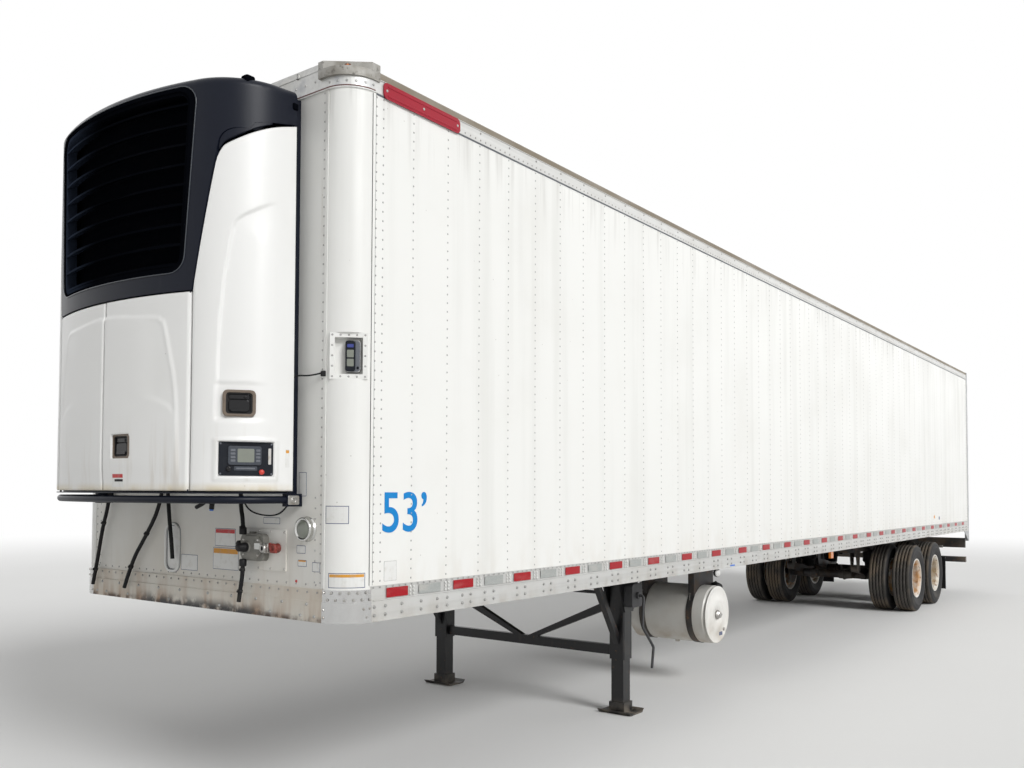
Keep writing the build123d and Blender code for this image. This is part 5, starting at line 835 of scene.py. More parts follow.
ARCH_R = 2.228
ARCH_X = FACE_X + 0.6 - ARCH_R
SHOULDER = asin(0.66 / ARCH_R)
ARCH_RUN = ARCH_R * SHOULDER
CORNER_R = 0.4
CORNER_X = FACE_X + 0.5 - CORNER_R * cos(SHOULDER)
CORNER_Y = 0.66 - CORNER_R * sin(SHOULDER)
SIDE_TURN = radians(84)
CORNER_RUN = CORNER_R * (SIDE_TURN - SHOULDER)
SIDE_RUN = (CORNER_X + CORNER_R * cos(SIDE_TURN) - FACE_X - 0.06) / cos(radians(6))
UNIT_RUN = ARCH_RUN + CORNER_RUN + SIDE_RUN


def unit_plan(run):
    """The place and the outward way at a distance round the unit's plan."""
    if run < ARCH_RUN:
        turn = run / ARCH_R
        return (ARCH_X + ARCH_R * cos(turn), ARCH_R * sin(turn)), (cos(turn), sin(turn))
    turn = min(SHOULDER + (run - ARCH_RUN) / CORNER_R, SIDE_TURN)
    way = (cos(turn), sin(turn))
    x, y = CORNER_X + CORNER_R * way[0], CORNER_Y + CORNER_R * way[1]
    rest = max(0.0, run - ARCH_RUN - CORNER_RUN)
    return (x - rest * way[1], y + rest * way[0]), way


def unit_turn(run):
    """The corner's angle at a distance round the plan, in degrees, carried on along the side."""
    return degrees(SHOULDER + (run - ARCH_RUN) / CORNER_R)


def turned(angle, side=1):
    """The outward way at an angle in degrees from straight ahead towards one side."""
    return cos(radians(angle)), side * sin(radians(angle)), 0


def corner_place(side, angle, radius, z):
    """A placing matrix on the unit's corner, this far from the corner's centre."""
    way = turned(angle, side)
    return facing((CORNER_X + radius * way[0], side * CORNER_Y + radius * way[1], z), way)


def polyline_gap(point, line):
    """The signed distance from a point to a line of points: positive on its right-hand side."""
    best, sign = 1e9, 1
    for (ax, ay), (bx, by) in zip(line, line[1:]):
        dx, dy = bx - ax, by - ay
        t = min(1.0, max(0.0, ((point[0] - ax) * dx + (point[1] - ay) * dy) / (dx * dx + dy * dy)))
        gap = hypot(point[0] - ax - t * dx, point[1] - ay - t * dy)
        if gap < best:
            best = gap
            sign = 1 if dx * (point[1] - ay) - dy * (point[0] - ax) < 0 else -1
    return sign * best


def soft_line(points, steps=6):
    """A smooth line through points."""
    out = []
    for i in range(len(points) - 1):
        p0, p1 = points[max(i - 1, 0)], points[i]
        p2, p3 = points[i + 1], points[min(i + 2, len(points) - 1)]
        for k in range(steps):
            t = k / steps
            out.append(tuple(0.5 * (2 * b + (c - a) * t + (2 * a - 5 * b + 4 * c - d) * t * t
                                    + (3 * b - a - 3 * c + d) * t ** 3)
                             for a, b, c, d in zip(p0, p1, p2, p3)))
    return out + [points[-1]]


# Columns: the corner's angle, height; the crease that sweeps down each side door
SIDE_CREASE = ((88, 3.36), (75, 3.326), (63.9, 3.286), (54.8, 3.251), (49.4, 3.213), (46.7, 3.138), (42.6, 2.958),
               (39.9, 2.775), (38.3, 2.558), (38.0, 2.42), (38.0, 2.3))
# Columns: place across, height; the raised field on each front door
FRONT_FIELD = ((0.0, 2.766), (0.123, 2.761), (0.23, 2.751), (0.43, 2.733), (0.46, 2.717), (0.488, 2.691),
               (0.5245, 2.541), (0.564, 2.354), (0.581, 2.104), (0.587, 1.92), (0.588, 1.8))
FRONT_BOW = ((0.33, 2.295), (0.42, 2.287), (0.498, 2.258), (0.544, 2.22), (0.577, 2.177), (0.6, 2.1))
# Columns: distance round the corner, height; the side doors' upper edge
DOOR_TOP = ((0.105, 3.5), (0.132, 3.566), (0.149, 3.598), (0.164, 3.616), (0.189, 3.632), (0.245, 3.662),
            (0.301, 3.691), (0.359, 3.718), (0.42, 3.743), (0.488, 3.766), (0.57, 3.79))
DOOR_LINE = soft_line(DOOR_TOP)
LATCH_TURN, LATCH_Z = 54, 2.268
CONTROL_TURN, CONTROL_Z = 60, 1.981
FRONT_LATCH_Y, FRONT_LATCH_Z = 0.166, 2.053
LATCH_SIZE, LATCH_DEEP = (0.15, 0.13), 0.019
CONTROL_SIZE, CONTROL_DEEP = (0.284, 0.18), 0.032
FRONT_LATCH_X = ARCH_X + sqrt((ARCH_R - LATCH_DEEP) ** 2 - FRONT_LATCH_Y ** 2)
DOOR_FOOT, BELT = 1.814, 2.852


def crease_run(points):
    """Turn a crease's corner angles into distances round the plan."""
    return soft_line([(ARCH_RUN + CORNER_R * (radians(turn) - SHOULDER), z) for turn, z in points])


def side_top(run):
    """The side door's upper edge at a distance round the plan."""
    (x, y), _way = unit_plan(run)
    if y < 0.7838:
        z = 2.86 + (y - 0.66) / 0.136 * 0.845
    elif y < 0.8727:
        z = 3.615 + sqrt(0.0081 - (y - 0.8727) ** 2)
    elif y < 0.886:
        z = 3.705
    else:
        z = 3.705 + (y - 0.886) / 0.09 * 0.285
    return min(z, 3.79 - (x - FACE_X - 0.052) / 0.548 * 0.106)


def door_top(run):
    """The upper edge of the side door's white panel, under the opening in the cowl."""
    place = run - ARCH_RUN
    for (a, low), (b, high) in zip(DOOR_LINE, DOOR_LINE[1:]):
        if place < b:
            break
    return min(side_top(run), low + (high - low) * (place - a) / (b - a))


def flat_floor(run, z, turn, height, size, floor):
    """How deep a flat-bottomed pocket lies under the round corner, or None outside it."""
    offset = radians(unit_turn(run) - turn)
    if abs(offset) > 1.2 or abs(CORNER_R * sin(offset)) > size[0] / 2 or abs(z - height) > size[1] / 2:
        return None
    return floor / cos(offset) - CORNER_R


def side_relief(run, z, crease, control):
    """How far the side door's face stands out from the unit's plan."""
    rise = 0.0
    turn = unit_turn(run)
    gap = polyline_gap((run, z), crease)
    inside = smooth_step(-gap, -0.006, 0.006) * smooth_step(-gap, 0.3, 0.02)
    inside *= smooth_step(turn, 86, 58) * smooth_step(z, 2.3, 2.46)
    rise -= 0.014 * inside
    across = (turn - 36.0) / 45.0
    brow = smooth_step(turn, 35.4, 37.4) * smooth_step(z, 2.382, 2.366) * smooth_step(z, 2.165, 2.2)
    rise -= 0.01 * brow * smooth_step(across, 1.0, 0.35)
    if control:
        frame = smooth_step(turn, 34.8, 36.2) * smooth_step(z, 2.092, 2.084) * smooth_step(z, 1.862, 1.87)
        frame *= smooth_step(turn, 84.8, 83.4)
        rise += 0.0065 * frame
        depth = flat_floor(run, z, CONTROL_TURN, CONTROL_Z, CONTROL_SIZE, CORNER_R - CONTROL_DEEP)
        if depth is not None:
            return min(depth, 0.004)
    depth = flat_floor(run, z, LATCH_TURN, LATCH_Z, LATCH_SIZE, CORNER_R - LATCH_DEEP)
    return rise if depth is None else depth


def front_relief(run, z, field, bow, latch):
    """How far the front door's face stands out from the unit's plan."""
    (x, y), _way = unit_plan(run)
    gap = polyline_gap((y, z), field)
    rise = 0.008 * smooth_step(gap, -0.011, 0.011) * smooth_step(z, 1.83, 1.98)
    rise -= 0.004 * smooth_step(-polyline_gap((y, z), bow), -0.004, 0.03) * smooth_step(y, 0.3, 0.45) \
        * smooth_step(gap, 0.0, 0.03) * smooth_step(z, 1.95, 2.15)
    rise -= 0.009 * smooth_step(y, 0.63, 0.648)
    if latch and abs(y - FRONT_LATCH_Y) < LATCH_SIZE[0] / 2 and abs(z - FRONT_LATCH_Z) < LATCH_SIZE[1] / 2:
        return FRONT_LATCH_X - x
    return rise


def spread(low, high, pitch, extra=()):
    """Even stations between two ends, with extra ones close round each edge that needs them."""
    count = max(1, round((high - low) / pitch))
    out = {round(low + (high - low) * i / count, 5) for i in range(count + 1)}
    for edge in extra:
        out = {v for v in out if abs(v - edge) > 0.0022} | {round(edge - 0.0008, 5), round(edge + 0.0008, 5)}
    return sorted(v for v in out | {low, high} if low <= v <= high)


def skin(columns, heights, relief, side, wall=0.025, roll=0.0035):
    """A moulded panel on the unit's plan: its face, its back and the edge between them."""
    shape = Shape()
    grid = [(run, heights(run)) for run in columns]
    rows = len(grid[0][1])
    points = []
    for layer in (0, 1):
        for run, zs in grid:
            (x, y), (nx, ny) = unit_plan(run)
            for z in zs:
                edge = min(run - columns[0], columns[-1] - run, z - zs[0], zs[-1] - z)
                rise = relief(run, z) - roll * (1 - smooth_step(edge, 0.0, 0.007))
                if layer:
                    rise = min(-wall, rise - 0.012)
                points.append((x + nx * rise, side * (y + ny * rise), z))
    back = len(points) // 2
    faces = []
    for c in range(len(grid) - 1):
        for r in range(rows - 1):
            a, b = c * rows + r, (c + 1) * rows + r
            faces += [(a, b, b + 1, a + 1), (back + a, back + a + 1, back + b + 1, back + b)]
    rim = [(c * rows, (c + 1) * rows) for c in range(len(grid) - 1)]
    rim += [((len(grid) - 1) * rows + r, (len(grid) - 1) * rows + r + 1) for r in range(rows - 1)]
    rim += [((c + 1) * rows - 1, c * rows - 1) for c in range(len(grid) - 1, 0, -1)]
    rim += [(r + 1, r) for r in range(rows - 1)]
    faces += [(a, back + a, back + b, b) for a, b in rim]
    shape.take(points, faces, smooth=True)
    return shape


# Sizes and colours that a user would change

class TrailerRivets(bpy.types.PropertyGroup):
    """Sizes of the rivets and bolts."""
    pitch: FloatProperty(name="Rivet pitch", description="Spacing of the rivets along a row",
                         default=0.0508, unit="LENGTH")
    column_pitch: FloatProperty(name="Column pitch", description="Spacing of the side posts' rivet columns",
                                default=0.3048, unit="LENGTH")
    head: FloatProperty(name="Head radius", description="Radius of a panel rivet's head",
                        default=0.0062, unit="LENGTH")
    bolt: FloatProperty(name="Rail bolt radius", description="Radius of the bolts in the bottom rails",
                        default=0.0105, unit="LENGTH")


class TrailerTyres(bpy.types.PropertyGroup):
    """Sizes of the tyres' tread."""
    groove_depth: FloatProperty(name="Groove depth", description="Depth of the tread's grooves",
                                default=0.013, unit="LENGTH")
    zigzag: FloatProperty(name="Zigzag", description="How far the grooves swing to each side",
                          default=0.0035, unit="LENGTH")
    steps: IntProperty(name="Steps", description="Points round a tyre, an even number", default=112)


class TrailerHoses(bpy.types.PropertyGroup):
    """Sizes of the hoses and cables on the front wall."""
    hose: FloatProperty(name="Hose diameter", description="Diameter of the drain hoses and harness",
                        default=0.024, unit="LENGTH")
    cable: FloatProperty(name="Cable diameter", description="Diameter of the slack cables",
                         default=0.009, unit="LENGTH")


class TrailerStage(bpy.types.PropertyGroup):
    """Lamps, floor and camera."""
    key: FloatProperty(name="Key light", description="Strength of the soft lamp on the left side", default=2.2)
    fill: FloatProperty(name="Fill light", description="Strength of the soft lamps from the other sides",
                        default=0.35)
    room: FloatProperty(name="Room light", description="Strength of the even light all round", default=0.36)
    floor: FloatVectorProperty(name="Floor colour", description="Colour of the pale floor", subtype="COLOR", size=3,
                               default=(0.8, 0.8, 0.79))
    lens: FloatProperty(name="Lens", description="Focal length for a 36 mm wide picture", default=32.86)


def settings(name):
    """One of the trailer's groups of settings."""
    return getattr(bpy.context.scene, name)


# Stage

def make_camera():
    """The camera at the photograph's place: low, ahead of the left front corner."""
    data = bpy.data.cameras.new("camera")
    data.sensor_width = 36
    data.lens = settings("trailer_stage").lens
    width, height, centre = 1024, 768, (486.327, 458.167)
    data.shift_x = (width / 2 - centre[0]) / width
    data.shift_y = (centre[1] - height / 2) / width
    data.clip_end = 500
    camera = stand("camera", data)
    across, up = Vector((-0.608042, 0.793894, 0.004216)), Vector((0.030915, 0.018372, 0.999353))
    camera.matrix_world = Matrix.Translation((11.20877, 4.81033, 1.81662)) @ Matrix(
        (across, up, across.cross(up))).transposed().to_4x4()
    bpy.context.scene.camera = camera


def background_rays(tree):
    """1 for rays that should see the plain background."""
    path = tree.nodes.new("ShaderNodeLightPath")
    total = path.outputs["Is Camera Ray"]
    for name in ("Is Glossy Ray", "Is Transmission Ray"):
        step = tree.nodes.new("ShaderNodeMath")
        step.operation = "MAXIMUM"
        tree.links.new(total, step.inputs[0])
        tree.links.new(path.outputs[name], step.inputs[1])
        total = step.outputs[0]
    return total


def make_floor():
    """A wide pale floor that keeps the shadow and fades to the white background."""
    f = Finish("stage_floor", tuple(settings("trailer_stage").floor), 0.9)
    f.stain(0.4, 0.3, 0.7, 0.25, (0.76, 0.757, 0.745), detail=5)
    f.done()
    reach = f.node("ShaderNodeVectorMath", ((0, f.place),), operation="LENGTH").outputs["Value"]
    far = f.both(f.span(reach, 13.0, 34.0), background_rays(f.tree))
    glow = f.node("ShaderNodeEmission", ((0, (1, 1, 1, 1)), (1, 1.0)))
    mix = f.node("ShaderNodeMixShader", ((0, far), (1, f.shader.outputs[0]), (2, glow.outputs[0])))
    f.tree.links.new(mix.outputs[0], f.tree.nodes["Material Output"].inputs["Surface"])
    shape = Shape()
    shape.lathe([(r, -0.0005) for r in (0.0, 8.0, 16.0, 30.0, 60.0, 220.0)], FLAT, 48)
    floor = stand("stage_floor", shape.as_data("stage_floor"))
    floor.data.materials.append(f.material)


def make_lamps():
    """A soft key on the left side, a weaker fill from the others, and an even white room."""
    chosen = settings("trailer_stage")
    # Columns: name, strength, way that the light comes from, softness in degrees
    for name, power, way, soft in (("key_light", chosen.key, (0.19, 0.84, 0.54), 24),
                                   ("fill_right", chosen.fill, (-0.25, -0.85, 0.5), 50),
                                   ("fill_rear", chosen.fill, (-0.85, 0.3, 0.45), 50)):
        data = bpy.data.lights.new(name, "SUN")
        data.energy, data.angle = power, radians(soft)
        stand(name, data).rotation_euler = Vector(way).to_track_quat("Z", "Y").to_euler()
    world = bpy.data.worlds.new("room")
    world.use_nodes = True
    tree = world.node_tree
    tree.nodes.clear()
    out, mix = tree.nodes.new("ShaderNodeOutputWorld"), tree.nodes.new("ShaderNodeMixShader")
    for socket, strength in ((1, chosen.room), (2, 1.0)):
        light = tree.nodes.new("ShaderNodeBackground")
        light.inputs["Color"].default_value = (1, 1, 1, 1)
        light.inputs["Strength"].default_value = strength
        tree.links.new(light.outputs[0], mix.inputs[socket])
    tree.links.new(background_rays(tree), mix.inputs[0])
    tree.links.new(mix.outputs[0], out.inputs["Surface"])
    bpy.context.scene.world = world
    bpy.context.scene.view_settings.view_transform = "Standard"


# Hoses and cables on the front wall

HOSE_X, CABLE_X = 7.838, 7.852
# Columns: name, x, points across and up, real length, far end, the CAD solid it stands for
HOSES = (
    ("drain_hose_far_hose", HOSE_X, ((-0.885, 1.8), (-0.9, 1.71), (-0.965, 1.56), (-1.012, 1.37), (-1.068, 1.192)),
     0.64, "bare", "drain_hose_far"),
    ("drain_hose_mid_hose", HOSE_X, ((-0.3, 1.8), (-0.325, 1.7), (-0.466, 1.525), (-0.612, 1.365), (-0.694, 1.192)),
     0.735, "bare", "drain_hose_mid"),
    ("drain_hose_near_hose", HOSE_X, ((-0.235, 1.8), (-0.215, 1.64), (-0.188, 1.5), (-0.176, 1.4)),
     0.404, "object", "drain_hose_near"),
    ("nose_harness_cable", CABLE_X, ((0.49, 1.8), (0.49, 1.725), (0.514, 1.65), (0.514, 1.575)),
     0.227, "object", "nose_harness"),
    ("nose_cable_tail", CABLE_X, ((0.516, 1.425), (0.516, 1.35), (0.498, 1.27), (0.484, 1.19)),
     0.238, "bare", "nose_cable"),
)


def lay_cord(name, points, diameter, node=None):
    """A round smooth cord whose control points are the route's points, in place of a CAD tube if one is named."""
    data = bpy.data.curves.new(name, "CURVE")
    data.dimensions = "3D"
    data.bevel_depth = diameter / 2
    data.bevel_resolution = 4
    data.resolution_u = 16
    data.use_fill_caps = True
    spline = data.splines.new("NURBS")
    spline.points.add(len(points) - 1)
    for target, point in zip(spline.points, points):
        target.co = (*point, 1)
    spline.order_u = 3
    spline.use_endpoint_u = True
    data.materials.append(PAINT["hose"])
    piece = stand(name, data)
    if node:
        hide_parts(node)
    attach(piece, "trailer")


def make_hoses():
    """The three drain hoses, the unit's harness and the nose box's cable."""
    for name, x, route, length, far_end, node in HOSES:
        lay_cord(name, [(x, y, z) for y, z in route], settings("trailer_hoses").hose, node)


def make_hose_clips():
    """Clamps and ties along the hoses."""
    shape = Shape()
    # Columns: x, place across, height, lean of the hose across per metre of fall
    for x, y, z, lean in ((HOSE_X, -0.8915, 1.765, 0.21), (HOSE_X, -0.947, 1.6, 0.38),
                          (HOSE_X, -1.0373, 1.292, 0.3), (HOSE_X, -0.3105, 1.765, 0.34),
                          (HOSE_X, -0.4516, 1.545, 0.85), (HOSE_X, -0.6209, 1.33, 0.6),
                          (HOSE_X, -0.2305, 1.765, -0.13), (CABLE_X, 0.49, 1.77, 0), (CABLE_X, 0.511, 1.61, 0),
                          (CABLE_X, 0.514, 1.372, 0), (CABLE_X, 0.494, 1.25, 0.2)):
        way = Vector((0, lean, 1)).normalized()
        place = facing((x, y, z), way, AHEAD)
        shape.lathe([(0.0124, -0.009), (0.015, -0.008), (0.0156, 0), (0.015, 0.008), (0.0124, 0.009)], place, 16)
        shape.prism(rounded(0.012, 0.008, 0.002, 2, y=0.0165), 0.012, place, -0.006, 0.001)
    for x, y, z in ((CABLE_X, 0.514, 1.59), (CABLE_X, 0.516, 1.412)):
        shape.lathe([(0.0124, -0.02), (0.019, -0.02), (0.021, -0.016), (0.021, 0.014), (0.018, 0.02), (0.0124, 0.02)],
                    facing((x, y, z), UP, AHEAD), 12)
    shape.finish("hose_ties", "rubber", "matt_black")


def make_slack_cables():
    """The thin cables without CAD solids: one under the unit, one to the gauge box."""
    for name, points, length in (
            ("bumper_cable", ((7.852, 0.505, 1.79), (7.86, 0.53, 1.745), (7.868, 0.6, 1.7), (7.872, 0.7, 1.682),
                              (7.874, 0.8, 1.68), (7.874, 0.875, 1.7), (7.872, 0.915, 1.742)), 0.467),
            ("gauge_cable", ((7.862, 0.925, 2.425), (7.856, 0.96, 2.437), (7.842, 1.02, 2.431), (7.826, 1.08, 2.436),
                             (7.812, 1.118, 2.446)), 0.202)):
        lay_cord(name, points, settings("trailer_hoses").cable)


# The body's sides

def bays():
    """The rivet columns' stations behind the front face."""
    pitch = settings("trailer_rivets").column_pitch
    return [0.505 + pitch * k for k in range(int((16.1 - 0.505) / pitch) + 1)]


def side_row(side, start, end, y, z):
    """A level row of heads on a side, between two distances behind the front face."""
    return (FACE_X - start, side * y, z), (FACE_X - end, side * y, z), (0, side, 0)


def make_side_rivets():
    """Rivet columns up both sides, and the row along each wall's foot."""
    chosen = settings("trailer_rivets")
    for side, hand in SIDES:
        rows = [((FACE_X - d, side * SKIN_Y, 1.335), (FACE_X - d, side * SKIN_Y, 3.955), (0, side, 0))
                for d in [0.205, 0.258] + bays() + [15.98, 16.04]]
        rows.append(side_row(side, 0.2, 16.06, RAIL_Y, 1.303))
        heads(f"side_rivets_{hand}", "rivet", rows=rows, pitch=chosen.pitch, radius=chosen.head,
              height=0.0024)


def make_rail_bolts():
    """The bolts of the crossmembers, the band's rivets between the tape, and the top rails' rivets."""
    chosen = settings("trailer_rivets")
    behind = [0.205, 0.29, 0.42, 0.58, 0.72, 0.81, 0.95, 1.03, 1.17, 1.26]
    behind += [1.51 + chosen.column_pitch * k + shift for k in range(48) for shift in (0, 0.088)]
    for side, hand in SIDES:
        def spots(stations, y, heights):
            return [((FACE_X - d, side * y, z), (0, side, 0)) for d in stations for z in heights]

        heads(f"rail_bolts_{hand}", "rail_bolt", places=spots(behind, RAIL_Y, (1.155, 1.2)),
              radius=chosen.bolt, crown=0.62, height=0.009, sides=8)
        pairs = [d + shift for d in bays() for shift in (-0.014, 0.014)]
        heads(f"band_rivets_{hand}", "white_bolt",
              places=spots(pairs, RAIL_Y, (1.247, 1.267, 1.287)),
              radius=0.0085, height=0.004, sides=8)
        heads(f"top_rail_rivets_{hand}", "rail_rivet",
              rows=[side_row(side, 0.25, 16.08, TOP_Y, 3.992)],
              pitch=chosen.pitch, radius=0.0065, height=0.0026)
        heads(f"top_rail_screws_{hand}", "rail_rivet", places=spots(bays(), TOP_Y, (4.034,)),
              radius=0.0075, height=0.0035, sides=8)
        start, end, _out = side_row(side, 0.25, 16.08, 1.268, 4.098)
        heads(f"roof_edge_rivets_{hand}", "rail_rivet", rows=[(start, end, UP)], pitch=0.0762,
              radius=0.0065, height=0.004)


def make_rail_lips():
    """The rolled lips and seams that run along the rails."""
    for side, hand in SIDES:
        shape = Shape()
        # Columns: place across, height, half height, how far it stands out
        for y, z, half, proud in ((RAIL_Y, 1.2335, 0.0035, 0.004), (RAIL_Y, 1.1245, 0.0045, 0.0035),
                                  (TOP_Y, 4.052, 0.003, 0.004)):
            shape.prism(rounded(15.86, 2 * half, half * 0.6, 2), proud, on_side(side, 8.13, z, y), bevel=proud * 0.5,
                        steps=1)
        shape.finish(f"rail_lips_{hand}", "rail_aluminium", "rail")
        shape = Shape()
        shape.prism(rounded(15.86, 0.008, 0.002, 2), 0.0035, on_side(side, 8.13, 3.971))
        shape.finish(f"rail_sealant_{hand}", "rubber", "key_grey")


def make_tape():
    """Red and pale reflective tape along both bands, the guard and the rear posts."""
    spans = [(0.385, 0.172)] + [(0.505 + 0.1524 + 0.3048 * k, 0.188) for k in range(50)]
    tapes = (("red", "red_tape", 0), ("pale", "silver_tape", 1))
    for side, hand in SIDES:
        for name, paint, odd in tapes:
            shape = Shape()
            for middle, width in spans[odd::2]:
                shape.prism(rounded(width, 0.052, 0.003, 2), 0.0006, on_side(side, middle, 1.2675, RAIL_Y))
            shape.finish(f"side_tape_{name}_{hand}", "rail_aluminium", paint)
    for name, paint, odd in tapes:
        shape = Shape()
        for number in range(odd, 12, 2):
            shape.prism(rounded(0.192, 0.05, 0.003, 2), 0.0012, on_rear(-1.1 + number * 0.2, 0.592, -8.34))
        if odd:
            for side, _hand in SIDES:
                shape.prism(rounded(0.05, 0.3, 0.003, 2), 0.0012, on_rear(side * 1.265, 3.86))
        shape.finish(f"rear_tape_{name}", "galvanised", paint)


def length_numeral():
    """The figure of the trailer's length in feet, as a flat mesh that fills its own box."""
    text = bpy.data.curves.new("length_numeral", "FONT")
    text.body, text.size, text.offset, text.extrude = "53\u2019", 1, 0.008, 0.001
    lettering = stand("length_numeral", text)
    data = evaluated_mesh(lettering)
    bpy.data.objects.remove(lettering)
    low = [min(v.co[i] for v in data.vertices) for i in range(2)]
    high = [max(v.co[i] for v in data.vertices) for i in range(2)]
    fit = Matrix.Diagonal((0.362 / (high[0] - low[0]), 0.222 / (high[1] - low[1]), 1, 1)) @ Matrix.Translation(
        (-(low[0] + high[0]) / 2, -(low[1] + high[1]) / 2, 0.001))
    return data, fit


def make_side_marks():
    """The blue length numeral, the plain red plate and the small sticker on both sides, and two spots and a blue rail
    mark on the left.
    """
    for side, hand in SIDES:
        data, fit = length_numeral()
        data.transform(on_side(side, 0.4535, 1.702) @ fit)
        settle(f"length_numeral_{hand}", data, ("numeral",))
        shape = Shape()
        place = on_side(side, 0.575, 4.008, 1.298)
        shape.prism(rounded(0.66, 0.088, 0.026, 6), 0.006, place, bevel=0.002)
        for y in (-0.026, 0.026):
            shape.prism(rounded(0.6, 0.012, 0.004, 3, y=y), 0.0022, place, 0.006, 0.001)
        shape.finish(f"red_plate_{hand}", "rail_aluminium", "badge_red")
        heads(f"red_plate_screws_{hand}", "steel",
              places=grid_spots(place, (-0.305, 0.0, 0.305), (0.0,), 0.006), radius=0.008, height=0.003, sides=10)
        shape = Shape()
        shape.slabs(on_side(side, 0.338, 1.383), ((0, 0, 0, 0.1, 0.108, 0.005, 0, 0.0006, 0),
                                                  (1, 0, 0, 0.096, 0.104, 0.004, 0.0006, 0.0005, 0)), 3)
        shape.finish(f"side_sticker_{hand}", "panel_white", "rivet", "label")
    shape = Shape()
    for shape.paint, (d, z) in enumerate(((13.35, 1.43), (13.71, 1.405))):
        shape.prism(rounded(0.075, 0.05, 0.008, 3), 0.001, on_side(1, d, z))
    shape.finish("rear_spots", "panel_white", "label_amber", "label_edge")
    shape = Shape()
    shape.prism(rounded(0.11, 0.022, 0.01, 4), 0.001, on_side(1, 4.98, 1.131, RAIL_Y))
    shape.finish("rail_mark", "rail_aluminium", "mark_blue")


def make_seams():
    """The corner panels' cover strips with their rivets, and the posts' beads at the rear."""
    for side, hand in SIDES:
        shape = Shape()
        skin_y = side * SKIN_Y
        shape.block((FACE_X - 0.196, skin_y, 1.31), (FACE_X - 0.176, skin_y + side * 0.0035, 3.97), 0.001)
        shape.block((WALL_X, side * 1.104, 1.3), (WALL_X + 0.0035, side * 1.124, 3.97), 0.001)
        shape.block((-8.28, skin_y, 1.31), (-8.262, side * 1.2945, 3.97), 0.001)
        shape.paint = 1
        for x in (FACE_X - 0.1985, FACE_X - 0.1745):
            shape.block((x - 0.0012, skin_y, 1.315), (x + 0.0012, side * 1.2915, 3.968))
        shape.finish(f"panel_seams_{hand}", "panel_white", "panel", "seal")
        heads(f"front_seam_rivets_{hand}", "rivet", radius=0.0062, height=0.0024, rows=[
            ((WALL_X, side * y, 1.33), (WALL_X, side * y, top), AHEAD) for y, top in ((1.092, 3.96), (1.05, 1.78))])


# The front wall's fittings

def nose_spot(angle, z, radius, side=1):
    """A place on a rounded front corner of the body, and its facing."""
    way = turned(angle, side)
    return (NOSE_X + radius * way[0], side * NOSE_Y + radius * way[1], z), way


def make_labels():
    """Blank labels with thin edges on the front wall, the left corner and the unit."""
    shape = Shape()
    # Columns: low and high across, low and high up, the band's paint or none
    for y0, y1, z0, z1, band in ((0.189, 0.378, 1.492, 1.596, 3), (0.172, 0.408, 1.356, 1.484, 2),
                                 (-0.143, 0.021, 1.334, 1.429, 0), (0.905, 0.975, 1.478, 1.522, 0),
                                 (0.915, 0.985, 1.408, 1.444, 2), (1.03, 1.09, 1.385, 1.436, 0),
                                 (0.918, 0.978, 1.787, 1.917, 0), (0.625, 0.765, 1.632, 1.668, 0)):
        width, height = y1 - y0, z1 - z0
        rows = [(1, 0, 0, width, height, 0.004, 0, 0.0006, 0),
                (0, 0, 0, width - 0.006, height - 0.006, 0.003, 0.0006, 0.0005, 0),
                (band, 0, height * 0.34, width - 0.012, height * 0.22, 0.002, 0.0011, 0.0004, 0)]
        shape.slabs(on_wall((y0 + y1) / 2, (z0 + z1) / 2), rows if band else rows[:2], 3)
    shape.paint = 3
    shape.prism(ring_outline(0.0085, 16), 0.001, on_wall(0.904, 1.327))
    shape.finish("wall_labels", "panel_white", "label", "label_edge", "label_amber", "label_red")
    # Columns: low and high angle on the corner, low and high, the band's paint or none
    for start, end, z0, z1, band in ((5, 48, 1.643, 1.738, 0), (12, 78, 1.306, 1.385, 2)):
        shape = Shape()
        # Columns: paint, how far in from each end, radius, low and high
        layers = [(1, 0.0, 0.1763, z0, z1), (0, 0.004, 0.1768, z0 + 0.004, z1 - 0.004)]
        layers += [(band, 0.007, 0.1772, z1 - 0.022, z1 - 0.007)] if band else []
        for shape.paint, inset, radius, low, high in layers:
            angles = [start + (end - start) * i / 10 for i in range(11)]
            angles[0] += degrees(inset / 0.176)
            angles[-1] -= degrees(inset / 0.176)
            shape.sweep([[nose_spot(angle, z, r)[0] for r, z in (
                (0.1755, low), (0.1755, high), (radius, high), (radius, low))] for angle in angles])
        shape.finish(f"corner_label_{start}", "panel_white", "label", "label_edge", "label_amber")
    shape = Shape()
    shape.slabs(facing(on_arch(0.15, 1.87, 0.0026), (1, 0.0675, -0.055)),
                ((0, 0, 0, 0.098, 0.072, 0.004, -0.001, 0.0012, 0),
                 (1, 0, 0.023, 0.09, 0.02, 0.002, 0.0002, 0.0004, 0),
                 (2, 0.009, -0.001, 0.072, 0.013, 0.002, 0.0002, 0.0004, 0)), 3)
    shape.finish("door_label", "unit_white", "label", "label_red", "matt_black", body="unit_front_door_left")
    shape = Shape()
    (x, y), way = unit_plan(ARCH_RUN + CORNER_RUN + 0.062)
    shape.slabs(facing((x, y, 1.988), (*way, 0)), ((0, 0, 0, 0.026, 0.096, 0.003, 0, 0.0008, 0),
                                                   (1, 0, 0.036, 0.02, 0.016, 0.002, 0.0008, 0.0004, 0)), 3)
    shape.finish("side_door_label", "unit_white", "label", "label_amber", body="unit_side_door_left")


def make_drain_stubs():
    """The short stubs under the unit that the drain hoses don't hide."""
    shape = Shape()
    shape.tube([(7.85, 0.16, 1.752), (7.85, 0.132, 1.736), (7.856, 0.104, 1.724), (7.86, 0.086, 1.716)], 0.012, 14)
    shape.tube([(7.85, 0.226, 1.755), (7.85, 0.22, 1.708)], 0.015, 16)
    shape.paint = 1
    shape.tube([(7.85, 0.22, 1.709), (7.85, 0.219, 1.698)], 0.012, 16)
    shape.finish("drain_stubs", "rubber", "matt_black", "mark_blue")


